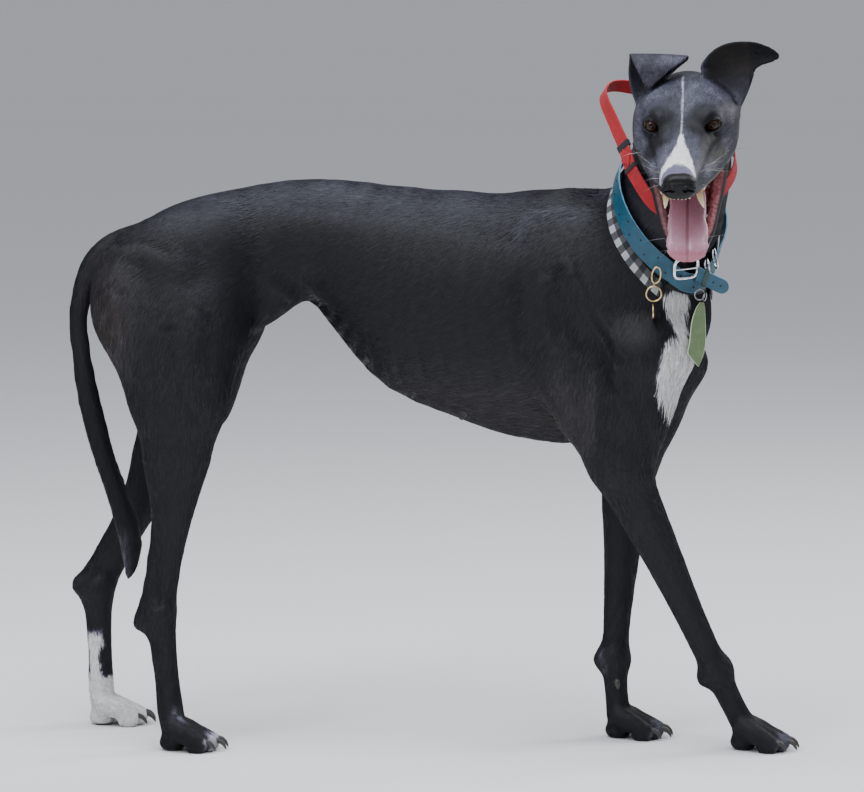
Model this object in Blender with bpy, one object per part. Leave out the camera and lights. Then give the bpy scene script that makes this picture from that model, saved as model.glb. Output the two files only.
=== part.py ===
"""Greyhound bitch standing with the head turned to its right, life size.

Metres, +X towards the front of the animal, +Y to its left, +Z up, floor at z = 0.
The animal is shaped whole, from its bones, muscles and girths, and then parted
with thin cuts. What it wears is fitted round the neck afterwards.
"""
import math

import bmesh
import bpy
import numpy as np
from mathutils import Matrix, Vector
from mathutils.bvhtree import BVHTree

# ---------------------------------------------------------------- driving sizes
GRID = 0.006                    # spacing at which the flesh is shaped
FLESH_FACES = 3300              # triangles kept for all of the flesh
CUT = 0.0003                    # width of the cuts between the nodes
FIT = 0.0004                    # clearance round anything set into the flesh
HEAD_YAW = math.radians(6.6)
HEAD_PITCH = math.radians(19.5)
HEAD_ROLL = math.radians(1.2)
EYE_LINE = (0.298, -0.265, 0.783)      # point midway between the eyes
JAW_OPEN = math.radians(30)
JAW_HINGE = (-0.055, -0.030)           # forward and up from the eye line
EYE_RADIUS = 0.0108
EYE_SEATS = ((0.0050, 0.0335, 0.0017), (0.0050, -0.0365, 0.0015))
CHEST_YAW = math.radians(18)           # the chest is turned to the right
CHECK_SPAN = (110, 432)                 # part of the neck ringed by the check webbing, degrees
BLACK_SPAN = (77, 103)
CENTRE = (-0.009122, -0.132143)            # middle of the outer box before centring

for thing in list(bpy.data.objects):
    bpy.data.objects.remove(thing)


# ---------------------------------------------------------------- shaping tools
def arr(v):
    return np.asarray(v, dtype=float)


def unit(v):
    v = arr(v)
    return v / np.linalg.norm(v)


def blend(a, b, k):
    """Join two distances with a fillet about k wide."""
    h = np.maximum(k - np.abs(a - b), 0) / k
    return np.minimum(a, b) - h * h * k * 0.25


def spline(rows, sub):
    rows = arr(rows)
    last = len(rows) - 1
    out = []
    for i in range(last):
        p0, p1, p2, p3 = rows[max(i - 1, 0)], rows[i], rows[i + 1], rows[min(i + 2, last)]
        for j in range(sub):
            t = j / sub
            out.append(0.5 * (2 * p1 + (p2 - p0) * t + (2 * p0 - 5 * p1 + 4 * p2 - p3) * t * t
                              + (3 * p1 - p0 - 3 * p2 + p3) * t ** 3))
    out.append(rows[last])
    return arr(out)


class Loft:
    """Flesh along a line. Rows: x, y, z, radius up or front, radius down or back, half width."""

    def __init__(self, rows, side=None, sub=3, k=0.02, cap=1.0):
        self.r = spline(rows, sub)
        self.side, self.k, self.cap = side, k, cap
        m = self.r[:, 3:6].max(axis=1)[:, None]
        self.lo = (self.r[:, :3] - m).min(axis=0)
        self.hi = (self.r[:, :3] + m).max(axis=0)

    def __call__(self, pts):
        gap = np.maximum(np.maximum(self.lo - pts, pts - self.hi), 0)
        far = np.sqrt((gap * gap).sum(1))
        out = far + 0.004
        near = np.nonzero(far < 0.05)[0]
        if len(near) == 0:
            return out
        q0 = pts[near]
        best = np.full(len(q0), 1e3)
        for a, b in zip(self.r[:-1], self.r[1:]):
            ab = b[:3] - a[:3]
            length2 = ab @ ab
            if length2 < 1e-12:
                continue
            tangent = ab / math.sqrt(length2)
            side = np.cross((0, 0, 1), tangent) if self.side is None else arr(self.side)
            side = unit(side - tangent * (side @ tangent))
            up = np.cross(tangent, side)
            v = q0 - a[:3]
            t = np.clip((v @ ab) / length2, 0, 1)
            q = v - t[:, None] * ab
            rad = a[3:6] * (1 - t[:, None]) + b[3:6] * t[:, None]
            x, y, z = q @ side, q @ up, q @ tangent
            ru = np.where(y > 0, rad[:, 0], rad[:, 1])
            k = np.sqrt((x / rad[:, 2]) ** 2 + (y / ru) ** 2 + (z / (rad.min(1) * self.cap)) ** 2)
            n = np.sqrt(x * x + y * y + z * z)
            best = np.minimum(best, n - n / np.maximum(k, 1e-6))
        out[near] = best
        return out


class Blob:
    """Ellipsoid of flesh. The rows of axes give its own directions."""

    def __init__(self, centre, radii, axes=None, k=0.02):
        self.c, self.r, self.k = arr(centre), arr(radii), k
        self.axes = np.eye(3) if axes is None else arr(axes)

    def __call__(self, pts):
        q = pts - self.c
        n = np.sqrt((q * q).sum(1))
        out = n - self.r.max()
        near = np.nonzero(out < 0.05)[0]
        if len(near):
            a = (q[near] @ self.axes.T) / self.r
            k = np.sqrt((a * a).sum(1))
            out[near] = n[near] - n[near] / np.maximum(k, 1e-6)
        return out


def along(direction, up=(0, 0, 1)):
    d = unit(direction)
    s = unit(np.cross(up, d))
    return arr([d, s, np.cross(d, s)])


def union(parts):
    def field(pts):
        out = np.empty(len(pts))
        for i in range(0, len(pts), 200000):
            some = pts[i:i + 200000]
            d = parts[0](some)
            for part in parts[1:]:
                d = blend(d, part(some), part.k)
            out[i:i + 200000] = d
        return out
    return field


def skin_net(field, lo, hi, step, coarse=4):
    """Closed net of four-sided faces on the zero surface of a field."""
    lo = arr(lo)
    n = np.ceil((arr(hi) - lo) / step / coarse).astype(int)
    axes = [lo[i] + (np.arange(n[i]) + 0.5 - 0.5 / coarse) * coarse * step for i in range(3)]
    middle = np.stack(np.meshgrid(*axes, indexing='ij'), -1).reshape(-1, 3)
    d = field(middle)
    keep = np.abs(d) < coarse * step * 1.25 + 0.004
    value = np.where(d < 0, -1.0, 1.0).astype(np.float32).reshape(n)
    value = value.repeat(coarse, 0).repeat(coarse, 1).repeat(coarse, 2)
    base = np.stack(np.unravel_index(np.nonzero(keep)[0], n), 1) * coarse
    part = np.stack(np.meshgrid(*[np.arange(coarse)] * 3, indexing='ij'), -1).reshape(-1, 3)
    idx = (base[:, None, :] + part[None]).reshape(-1, 3)
    value[tuple(idx.T)] = field(lo + idx * step)
    value[value == 0] = 1e-7
    inside = value < 0
    count = np.zeros(tuple(np.array(inside.shape) - 1), np.uint8)
    nx, ny, nz = count.shape
    for a in (0, 1):
        for b in (0, 1):
            for c in (0, 1):
                count += inside[a:nx + a, b:ny + b, c:nz + c]
    active = (count > 0) & (count < 8)
    cells = np.stack(np.nonzero(active), 1)
    number = np.full(active.shape, -1, np.int32)
    number[active] = np.arange(len(cells))
    total, hits = np.zeros((len(cells), 3)), np.zeros(len(cells))
    faces = []
    for axis in range(3):
        o1, o2 = ((1, 2), (2, 0), (0, 1))[axis]
        for a in (0, 1):
            for b in (0, 1):
                start = np.zeros(3, int)
                start[o1], start[o2] = a, b
                end = start.copy()
                end[axis] = 1
                va, vb = value[tuple((cells + start).T)], value[tuple((cells + end).T)]
                m = (va < 0) != (vb < 0)
                p = (cells + start)[m].astype(float)
                p[:, axis] += va[m] / (va[m] - vb[m])
                total[m] += p
                hits[m] += 1
        first = inside[:-1, :-1, :-1]
        ahead = [slice(0, -1)] * 3
        ahead[axis] = slice(1, None)
        change = first != inside[tuple(ahead)]
        for o in (o1, o2):
            edge = [slice(None)] * 3
            edge[o] = slice(0, 1)
            change[tuple(edge)] = False
        at = np.stack(np.nonzero(change), 1)
        quad = []
        for da, db in ((0, 0), (-1, 0), (-1, -1), (0, -1)):
            j = at.copy()
            j[:, o1] += da
            j[:, o2] += db
            quad.append(number[tuple(j.T)])
        quad = np.stack(quad, 1)
        flip = ~first[tuple(at.T)]
        quad[flip] = quad[flip][:, ::-1]
        faces.append(quad)
    return lo + total / hits[:, None] * step, np.concatenate(faces)


# ---------------------------------------------------------------- the head's own directions
_forward = arr((-math.sin(HEAD_YAW) * math.cos(HEAD_PITCH),
                -math.cos(HEAD_YAW) * math.cos(HEAD_PITCH), -math.sin(HEAD_PITCH)))
_left = unit(np.cross((0, 0, 1), _forward))
_up = np.cross(_forward, _left)
HEAD = arr([_forward,
            _left * math.cos(HEAD_ROLL) + _up * math.sin(HEAD_ROLL),
            _up * math.cos(HEAD_ROLL) - _left * math.sin(HEAD_ROLL)])


def head_point(p):
    """World place of a point given forward, left and up from the eye line."""
    return arr(EYE_LINE) + arr(p) @ HEAD


def head_loft(rows, k=0.012, sub=3):
    rows = arr(rows)
    out = rows.copy()
    out[:, :3] = rows[:, :3] @ HEAD + arr(EYE_LINE)
    return Loft(out, side=HEAD[1], sub=sub, k=k)


def head_blob(c, r, k=0.012):
    both = [(c[0], s * c[1], c[2]) for s in ((1, -1) if c[1] else (1,))]
    return [Blob(head_point(p), r, HEAD, k) for p in both]


def jaw_point(p):
    """Head place of a point given as if the jaw were shut."""
    f, u = p[0] - JAW_HINGE[0], p[2] - JAW_HINGE[1]
    c, s = math.cos(JAW_OPEN), math.sin(JAW_OPEN)
    return (JAW_HINGE[0] + f * c + u * s, p[1] + max(f, 0) * 0.03, JAW_HINGE[1] - f * s + u * c)


# ---------------------------------------------------------------- trunk, neck and tail
def trunk():
    rows = []
    # forward, sideways, back line, belly line, half width, share of depth above the widest line
    for x, y, back, belly, half, share in (
            (-0.395, 0.000, 0.618, 0.540, 0.028, 0.50),
            (-0.360, 0.000, 0.645, 0.500, 0.046, 0.50),
            (-0.300, 0.000, 0.677, 0.490, 0.058, 0.50),
            (-0.240, 0.000, 0.696, 0.515, 0.062, 0.50),
            (-0.180, 0.000, 0.7055, 0.551, 0.060, 0.50),
            (-0.120, -0.003, 0.7075, 0.546, 0.066, 0.50),
            (-0.060, -0.007, 0.7055, 0.490, 0.077, 0.48),
            (0.000, -0.013, 0.698, 0.432, 0.088, 0.46),
            (0.060, -0.020, 0.691, 0.405, 0.094, 0.45),
            (0.120, -0.032, 0.688, 0.384, 0.091, 0.44),
            (0.180, -0.048, 0.685, 0.378, 0.082, 0.43),
            (0.235, -0.068, 0.660, 0.385, 0.070, 0.43),
            (0.280, -0.086, 0.620, 0.410, 0.062, 0.45),
            (0.305, -0.098, 0.570, 0.450, 0.042, 0.50)):
        up = (back - belly) * share
        rows.append((x, y, back - up, up, (back - belly) - up, half))
    return Loft(rows, k=0.02, cap=0.6)


def neck():
    return Loft(((0.150, -0.030, 0.590, 0.090, 0.110, 0.074),
                 (0.230, -0.055, 0.612, 0.078, 0.095, 0.071),
                 (0.2785, -0.085, 0.652, 0.068, 0.077, 0.0715),
                 (0.296, -0.122, 0.700, 0.063, 0.064, 0.066),
                 (0.3025, -0.163, 0.742, 0.058, 0.057, 0.060),
                 (0.303, -0.205, 0.768, 0.048, 0.052, 0.051)), k=0.045)


def tail():
    line = ((-0.375, 0.622, .026), (-0.402, 0.616, .020), (-0.424, 0.596, .0165),
            (-0.437, 0.566, .0135), (-0.443, 0.530, .0120), (-0.440, 0.485, .0125),
            (-0.433, 0.440, .0138), (-0.424, 0.400, .0142), (-0.412, 0.355, .0132),
            (-0.398, 0.315, .0135), (-0.385, 0.275, .0150), (-0.379, 0.240, .0130),
            (-0.381, 0.214, .0080), (-0.383, 0.203, .0040))
    return Loft([(x, 0.004 if z < 0.5 else 0.0, z, r, r, r * 0.85) for x, z, r in line],
                side=(0, 1, 0), k=0.015)


# ---------------------------------------------------------------- legs
# Girths along a bone: share of its length, front, back, half width.
THIGH = ((0.00, .060, .062, .040), (0.25, .066, .088, .046), (0.5, .062, .092, .046),
         (0.75, .054, .086, .041), (1.0, .044, .086, .036))
SHANK = ((0.00, .044, .082, .034), (0.2, .037, .062, .031), (0.4, .028, .041, .0265),
         (0.6, .021, .026, .0215), (0.8, .018, .019, .017), (1.0, .020, .019, .018))
HIND_CANNON = ((0.0, .019, .022, .0175), (0.3, .0165, .018, .0155), (0.6, .015, .0165, .015),
               (0.85, .016, .018, .018), (1.0, .016, .016, .020))
UPPER_ARM = ((0.0, .045, .045, .034), (0.5, .046, .050, .036), (1.0, .036, .038, .031))
FOREARM = ((0.0, .033, .036, .028), (0.2, .029, .031, .026), (0.45, .024, .024, .0215),
           (0.7, .019, .0195, .018), (0.9, .0175, .0175, .0175), (1.0, .018, .018, .0185))
FORE_CANNON = ((0.0, .018, .018, .019), (0.35, .0155, .016, .0175), (0.7, .0145, .0155, .0175),
               (1.0, .016, .016, .020))

# Joints of each leg, and the heading of its foot in degrees.
HIND_RIGHT = dict(top=(-0.318, -0.048, 0.598), mid=(-0.296, -0.090, 0.432),
                  low=(-0.338, -0.080, 0.172), ball=(-0.322, -0.088, 0.030),
                  heel=(-0.362, -0.080, 0.158), out=-1, foot=-6)
HIND_LEFT = dict(top=(-0.305, 0.048, 0.598), mid=(-0.296, 0.088, 0.424), low=(-0.428, 0.088, 0.178),
                 ball=(-0.424, 0.095, 0.030), heel=(-0.453, 0.088, 0.182), out=1, foot=4)
FORE_RIGHT = dict(top=(0.268, -0.136, 0.500), mid=(0.232, -0.132, 0.358), low=(0.353, -0.092, 0.098),
                  ball=(0.388, -0.085, 0.030), withers=(0.166, -0.070, 0.660), out=-1, foot=-14)
FORE_LEFT = dict(top=(0.290, -0.030, 0.480), mid=(0.248, 0.018, 0.350), low=(0.230, 0.000, 0.098),
                 ball=(0.236, 0.000, 0.030), withers=(0.186, -0.018, 0.660), out=1, foot=-10)


def bone(a, b, girths, side, k):
    a, b = arr(a), arr(b)
    return Loft([tuple(a + (b - a) * t) + (f, r, w) for t, f, r, w in girths], side=side, k=k)


def hind_leg(leg):
    hip, knee, hock, ball, heel = (arr(leg[n]) for n in ('top', 'mid', 'low', 'ball', 'heel'))
    out, side = leg['out'], unit((0.05, 1, 0))
    mid = knee + (hock - knee) * 0.45
    parts = [bone(hip, knee, THIGH, side, 0.03), bone(knee, hock, SHANK, side, 0.025),
             bone(hock, ball, HIND_CANNON, side, 0.012),
             bone(heel, hock + (ball - hock) * 0.15, ((0, .008, .008, .009), (1, .012, .012, .013)),
                  side, 0.012),
             bone(mid + arr((-0.012, 0, 0)), heel,
                  ((0, .014, .014, .012), (0.7, .0075, .0075, .007), (1, .0085, .0085, .0085)), side, 0.010),
             Blob(knee + arr((0.022, 0, 0.006)), (0.024, 0.026, 0.036), k=0.025)]
    for s in (1, -1):
        parts.append(Blob(hock + arr((0.003, s * 0.013, 0.002)), (0.012, 0.008, 0.013), k=0.010))
    # haunch, buttock and front of the thigh
    for base, off, radii, lean in (
            (hip, (-0.048, -0.002, -0.045), (0.058, 0.040, 0.085), 0.05),
            (hip, (0.006, -0.006, 0.012), (0.075, 0.038, 0.058), 0.25),
            (hip, (0.048, -0.002, -0.045), (0.042, 0.030, 0.085), 0.30),
            (hip * 0.45 + knee * 0.55, (0.034, -0.006, 0.0), (0.030, 0.024, 0.080), 0.16),
            (hip * 0.35 + knee * 0.65, (-0.052, 0, 0.012), (0.036, 0.027, 0.095), 0.28)):
        centre = base + arr((off[0], out * off[1], off[2]))
        parts.append(Blob(centre, radii, along((1, 0, lean)), k=0.03))
    return parts


def fore_leg(leg):
    top, elbow, wrist, ball, withers = (arr(leg[n]) for n in ('top', 'mid', 'low', 'ball', 'withers'))
    side = unit((0.1, 1, 0))
    flat = (math.sin(CHEST_YAW), -math.cos(CHEST_YAW), 0)
    back = unit(np.cross(side, wrist - elbow))
    back = back * (-1 if back[0] > 0 else 1)
    return [bone(top, elbow, UPPER_ARM, side, 0.03), bone(elbow, wrist, FOREARM, side, 0.02),
            bone(wrist, ball, FORE_CANNON, side, 0.012),
            Blob(elbow + arr((-0.026, 0, 0.014)), (0.016, 0.014, 0.020), k=0.018),
            Blob(wrist + back * 0.016, (0.0105, 0.0105, 0.0125), k=0.008),
            Blob(wrist + arr((0, 0, 0.004)), (0.019, 0.0205, 0.020), k=0.01),
            # shoulder blade, point of the shoulder, triceps
            Blob((withers + top) / 2, (0.125, 0.052, 0.026), along(top - withers, flat), k=0.03),
            Blob(top, (0.050, 0.040, 0.036), k=0.03),
            Blob(withers * 0.35 + elbow * 0.65 + arr((-0.028, 0, -0.005)), (0.088, 0.048, 0.030),
                 along(elbow - withers + arr((0.02, 0, 0)), flat), k=0.03)]


def foot(leg):
    b = arr(leg['ball'])
    a = math.radians(leg['foot'])
    ahead = arr((math.cos(a), math.sin(a), 0))
    left = arr((-ahead[1], ahead[0], 0))
    parts = []
    for lateral, length in ((-0.0215, 0.038), (-0.0078, 0.049), (0.0078, 0.049), (0.0215, 0.038)):
        root = b + left * lateral * 0.75
        root[2] = max(b[2], 0.024)
        knuckle = b + ahead * length * 0.42 + left * lateral
        knuckle[2] = 0.0235
        tip = b + ahead * length + left * lateral * 1.08
        tip[2] = 0.0112
        parts.append(Loft((tuple(root) + (.0135, .0135, .0105), tuple(knuckle) + (.0125, .0135, .0098),
                           tuple(tip) + (.0105, .0112, .0092)), side=left, sub=2, k=0.006))
        pad = b + ahead * length * 0.86 + left * lateral * 1.06
        pad[2] = 0.0065
        parts.append(Blob(pad, (0.0135, 0.0085, 0.0095), along(ahead), k=0.004))
    pad = b.copy()
    pad[2] = 0.0095
    parts.append(Blob(pad, (0.0175, 0.019, 0.0125), along(ahead), k=0.010))
    return parts


# ---------------------------------------------------------------- head
def skull():
    parts = head_blob((-0.055, 0, -0.001), (0.062, 0.046, 0.037))
    parts += head_blob((-0.092, 0, -0.010), (0.038, 0.041, 0.034), 0.02)
    parts += head_blob((-0.042, 0.038, -0.012), (0.046, 0.0255, 0.031), 0.02)      # cheek bones
    parts += head_blob((-0.022, 0.036, -0.034), (0.044, 0.0215, 0.024), 0.02)      # cheeks
    parts += head_blob((-0.004, 0.026, 0.011), (0.024, 0.016, 0.013), 0.015)       # brows
    parts.append(head_loft(((-0.010, 0, -0.010, .024, .034, .040), (0.030, 0, -0.014, .0195, .029, .0360),
                            (0.065, 0, -0.019, .0160, .024, .0300), (0.100, 0, -0.023, .0145, .020, .0250),
                            (0.122, 0, -0.025, .0135, .0175, .0215)), k=0.02))
    for s in (1, -1):                                                              # upper lips
        parts.append(head_loft(((-0.012, s * 0.043, -0.036, .016, .016, .012),
                                (0.020, s * 0.0405, -0.037, .014, .014, .0115),
                                (0.055, s * 0.0330, -0.037, .012, .0125, .0105),
                                (0.085, s * 0.0235, -0.037, .011, .0115, .0100),
                                (0.112, s * 0.0130, -0.037, .010, .0105, .0090)), k=0.010))
    parts += head_blob((0.1305, 0, -0.0265), (0.0125, 0.0195, 0.0155), 0.006)
    return parts


def jaw():
    parts = [head_loft([jaw_point((f, 0, u)) + (up, down, half) for f, u, up, down, half in (
        (-0.045, -0.050, .012, .022, .034), (-0.005, -0.055, .012, .020, .0335),
        (0.035, -0.057, .012, .0165, .0305), (0.075, -0.058, .011, .014, .0260),
        (0.104, -0.057, .010, .0115, .0205))], k=0.012)]
    for s in (1, -1):                                                              # lower lips
        parts.append(head_loft([jaw_point((f, s * l, u)) + (r, r, r) for f, l, u, r in (
            (-0.02, .0400, -0.038, .011), (0.015, .0365, -0.044, .0095), (0.05, .0305, -0.048, .0085),
            (0.085, .024, -0.050, .0075), (0.110, .012, -0.051, .0070))], k=0.008))
    return parts


# Rows of an ear: forward, left, up of its middle line; direction across; half width; cup depth.
EAR_LEFT = ((-.056, .036, .004, 0, .85, -.52, .024, .010), (-.064, .044, .021, 0, .83, -.55, .0285, .013),
            (-.071, .050, .040, 0, .95, -.30, .030, .014), (-.075, .062, .053, 0, .75, -.66, .0235, .010),
            (-.074, .084, .0580, 0, .30, -.95, .0150, .005), (-.071, .101, .0580, 0, .15, -.98, .0085, .002),
            (-.069, .1105, .0570, 0, .1, -.99, .0020, .000))
EAR_RIGHT = ((-.058, -.036, .000, 0, .80, .60, .0190, .008), (-.064, -.0425, .016, 0, .80, .60, .0215, .010),
             (-.073, -.040, .036, 0, .97, .20, .0280, .010), (-.074, -.0325, .053, 0, 1, -.03, .0335, .006),
             (-.067, -.0315, .0610, 0, 1, -.05, .0340, .002), (-.058, -.0325, .0570, 0, 1, -.03, .0290, .000),
             (-.051, -.0385, .0450, 0, 1, 0, .0160, -.002), (-.0455, -.0440, .0285, 0, 1, 0, .0020, .000))


def ear_grid(rows, sub, across):
    out = []
    for row in spline(rows, sub):
        c, a = row[:3], unit(row[3:6])
        out.append([head_point(c + a * row[6] * t + arr((-row[7] * (1 - t * t), 0, 0)))
                    for t in np.linspace(-1, 1, across)])
    return arr(out)


# ---------------------------------------------------------------- making objects
def material(name, colour, rough, metal=0.0):
    m = bpy.data.materials.new(name)
    m.use_nodes = True
    shader = m.node_tree.nodes["Principled BSDF"]
    shader.inputs["Base Color"].default_value = (*colour, 1)
    shader.inputs["Roughness"].default_value = rough
    shader.inputs["Metallic"].default_value = metal
    m.diffuse_color = (*colour, 1)
    return m


def make(name, verts, faces, mat=None):
    mesh = bpy.data.meshes.new(name)
    mesh.from_pydata([tuple(v) for v in verts], [], [tuple(int(i) for i in f) for f in faces])
    if mat is not None:
        mesh.materials.append(mat)
    obj = bpy.data.objects.new(name, mesh)
    bpy.context.scene.collection.objects.link(obj)
    return obj


def settle(obj):
    """Apply the modifiers and triangulate."""
    graph = bpy.context.evaluated_depsgraph_get()
    graph.update()
    mesh = bpy.data.meshes.new_from_object(obj.evaluated_get(graph))
    obj.modifiers.clear()
    obj.data = mesh
    bm = bmesh.new()
    bm.from_mesh(mesh)
    bmesh.ops.remove_doubles(bm, verts=bm.verts, dist=1e-6)
    bmesh.ops.triangulate(bm, faces=bm.faces)
    bmesh.ops.recalc_face_normals(bm, faces=bm.faces)
    bm.to_mesh(mesh)
    bm.free()
    return obj


def decimated(obj, faces):
    tris = sum(len(p.vertices) - 2 for p in obj.data.polygons)
    mod = obj.modifiers.new("fewer", 'DECIMATE')
    mod.ratio = min(1.0, faces / tris)
    return settle(obj)


def carve(obj, tool):
    mod = obj.modifiers.new("carve", 'BOOLEAN')
    mod.operation = 'DIFFERENCE'
    mod.solver = 'EXACT'
    mod.object = tool
    mod.use_self = False
    graph = bpy.context.evaluated_depsgraph_get()
    graph.update()
    mesh = bpy.data.meshes.new_from_object(obj.evaluated_get(graph))
    obj.modifiers.clear()
    obj.data = mesh


def grown(obj, by):
    """Copy with every vertex moved out, for cutting a seat."""
    copy = obj.copy()
    copy.data = obj.data.copy()
    bpy.context.scene.collection.objects.link(copy)
    bm = bmesh.new()
    bm.from_mesh(copy.data)
    bmesh.ops.recalc_face_normals(bm, faces=bm.faces)
    bm.normal_update()
    moves = [v.normal * by for v in bm.verts]
    for v, move in zip(bm.verts, moves):
        v.co += move
    bm.to_mesh(copy.data)
    bm.free()
    return copy


def sheet(name, grid, thick, mat):
    """Closed thin body on a grid of points."""
    n, m = grid.shape[:2]
    du, dv = np.gradient(grid, axis=0), np.gradient(grid, axis=1)
    normal = np.cross(du, dv)
    normal /= np.maximum(np.linalg.norm(normal, axis=2), 1e-9)[..., None]
    verts = np.concatenate([(grid + normal * thick / 2).reshape(-1, 3),
                            (grid - normal * thick / 2).reshape(-1, 3)])
    k = n * m
    faces = []
    for i in range(n - 1):
        for j in range(m - 1):
            a, b, c, d = i * m + j, i * m + j + 1, (i + 1) * m + j + 1, (i + 1) * m + j
            faces += [(a, b, c, d), (d + k, c + k, b + k, a + k)]
    for i in range(n - 1):
        for j, turn in ((0, 1), (m - 1, -1)):
            a, d = i * m + j, (i + 1) * m + j
            faces.append((a, d, d + k, a + k)[::turn])
    for j in range(m - 1):
        for i, turn in ((0, -1), (n - 1, 1)):
            a, b = i * m + j, i * m + j + 1
            faces.append((a, b, b + k, a + k)[::turn])
    return settle(make(name, verts, faces, mat))


def tube(name, rows, mat, sides=10):
    """Closed body through rows of centre, half width vector and half thickness vector."""
    verts, faces = [], []
    for c, w, t in rows:
        for j in range(sides):
            a = 2 * math.pi * j / sides
            verts.append(arr(c) + arr(w) * math.cos(a) + arr(t) * math.sin(a))
    n = len(rows)
    for i in range(n - 1):
        for j in range(sides):
            k = (j + 1) % sides
            faces.append((i * sides + j, i * sides + k, (i + 1) * sides + k, (i + 1) * sides + j))
    faces.append(tuple(range(sides))[::-1])
    faces.append(tuple((n - 1) * sides + j for j in range(sides)))
    return settle(make(name, verts, faces, mat))


def ball(name, centre, radius, mat, axes=np.eye(3), rings=8, around=14):
    verts, faces = [], []
    for i in range(1, rings):
        t = math.pi * i / rings
        for j in range(around):
            p = 2 * math.pi * j / around
            v = arr((math.cos(t), math.sin(t) * math.cos(p), math.sin(t) * math.sin(p))) * arr(radius)
            verts.append(arr(centre) + v @ arr(axes))
    verts.append(arr(centre) + arr((1, 0, 0)) * arr(radius) @ arr(axes))
    verts.append(arr(centre) - arr((1, 0, 0)) * arr(radius) @ arr(axes))
    top, bottom = len(verts) - 2, len(verts) - 1
    for j in range(around):
        k = (j + 1) % around
        faces.append((top, j, k))
        faces.append((bottom, (rings - 2) * around + k, (rings - 2) * around + j))
        for i in range(rings - 2):
            faces.append((i * around + j, (i + 1) * around + j, (i + 1) * around + k, i * around + k))
    return settle(make(name, verts, faces, mat))


# ---------------------------------------------------------------- materials
COAT = (0.020, 0.020, 0.024)
coat = {}


def coat_material(name):
    coat[name] = material("coat_" + name, COAT, 0.55)
    return coat[name]


EAR_LEFT_MAT = material("ear_skin_left", (0.022, 0.020, 0.023), 0.6)
EAR_RIGHT_MAT = material("ear_skin_right", (0.022, 0.020, 0.023), 0.6)
NOSE_MAT = material("nose_leather", (0.012, 0.012, 0.013), 0.35)
EYE_MATS = {n: material("brown_" + n, (0.060, 0.028, 0.010), 0.12) for n in ("eye_left", "eye_right")}
TONGUE_MAT = material("tongue_pink", (0.50, 0.19, 0.22), 0.35)
GUM_UP_MAT = material("upper_gum_teeth", (0.62, 0.50, 0.38), 0.3)
GUM_LOW_MAT = material("lower_gum_teeth", (0.60, 0.46, 0.36), 0.3)
TEAL_MAT = material("teal_leather", (0.010, 0.130, 0.165), 0.45)
CHECK_MAT = material("check_webbing", (0.22, 0.23, 0.25), 0.8)
RED_MAT = material("red_webbing", (0.62, 0.020, 0.030), 0.6)
BLACK_MAT = material("black_strap", (0.012, 0.012, 0.013), 0.7)
CHROME_MAT = material("buckle_chrome", (0.62, 0.63, 0.64), 0.15, 1.0)
CHROME_RING_MAT = material("ring_chrome", (0.60, 0.61, 0.62), 0.18, 1.0)
CLIP_MAT = material("clip_chrome", (0.56, 0.57, 0.58), 0.2, 1.0)
STEEL_RING_MAT = material("ring_steel", (0.42, 0.43, 0.44), 0.25, 1.0)
BRASS_LINK_MAT = material("link_brass", (0.58, 0.40, 0.18), 0.25, 1.0)
BRASS_MAT = material("ring_brass", (0.62, 0.44, 0.20), 0.25, 1.0)
BRASS_TAG_MAT = material("brass_drop", (0.55, 0.38, 0.17), 0.3, 1.0)
TAG_MAT = material("tag_olive", (0.17, 0.22, 0.055), 0.4)
END_MAT = material("teal_end", (0.010, 0.125, 0.160), 0.45)

# ---------------------------------------------------------------- flesh, whole
parts = [trunk(), neck()]
for leg in (FORE_RIGHT, FORE_LEFT):
    parts += fore_leg(leg)
for leg in (HIND_RIGHT, HIND_LEFT):
    parts += hind_leg(leg)
for leg in (HIND_RIGHT, HIND_LEFT, FORE_RIGHT, FORE_LEFT):
    parts += foot(leg)
parts.append(tail())
parts += skull() + jaw()
flesh_field = union(parts)

points, quads = skin_net(flesh_field, (-0.50, -0.46, -0.02), (0.46, 0.20, 0.90), GRID)
flesh = decimated(make("flesh", points, quads), FLESH_FACES)

bm = bmesh.new()
bm.from_mesh(flesh.data)
bmesh.ops.bisect_plane(bm, geom=bm.verts[:] + bm.edges[:] + bm.faces[:], dist=1e-6,
                       plane_co=(0, 0, 0), plane_no=(0, 0, 1), clear_inner=True)
bmesh.ops.holes_fill(bm, edges=[e for e in bm.edges if e.is_boundary])
bmesh.ops.triangulate(bm, faces=bm.faces)
bmesh.ops.recalc_face_normals(bm, faces=bm.faces)
bm.to_mesh(flesh.data)
bm.free()

flesh_tree = BVHTree.FromPolygons([v.co for v in flesh.data.vertices],
                                  [tuple(f.vertices) for f in flesh.data.polygons])

# ---------------------------------------------------------------- things set into the flesh
eyes = []
for label, seat in (("eye_left", EYE_SEATS[0]), ("eye_right", EYE_SEATS[1])):
    s = 1 if seat[1] > 0 else -1
    look = arr((0.975, s * 0.14, 0.03))
    bowl = ball("bowl", head_point(arr(seat) + look * 0.0130), (0.0090, 0.0128, 0.0106), EYE_MATS[label],
                along(look @ HEAD, HEAD[2]), 7, 12)
    carve(flesh, bowl)
    bpy.data.objects.remove(bowl)
    eyes.append(ball(label, head_point(seat), [EYE_RADIUS] * 3, EYE_MATS[label],
                     along(look @ HEAD, HEAD[2]), 8, 12))
nose = ball("nose", head_point((0.1330, 0.0010, -0.0265)), (0.0125, 0.0200, 0.0150), NOSE_MAT, HEAD, 7, 14)
ears = [sheet("ear_left", ear_grid(EAR_LEFT, 2, 6), 0.0034, EAR_LEFT_MAT),
        sheet("ear_right", ear_grid(EAR_RIGHT, 2, 6), 0.0034, EAR_RIGHT_MAT)]

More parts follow.
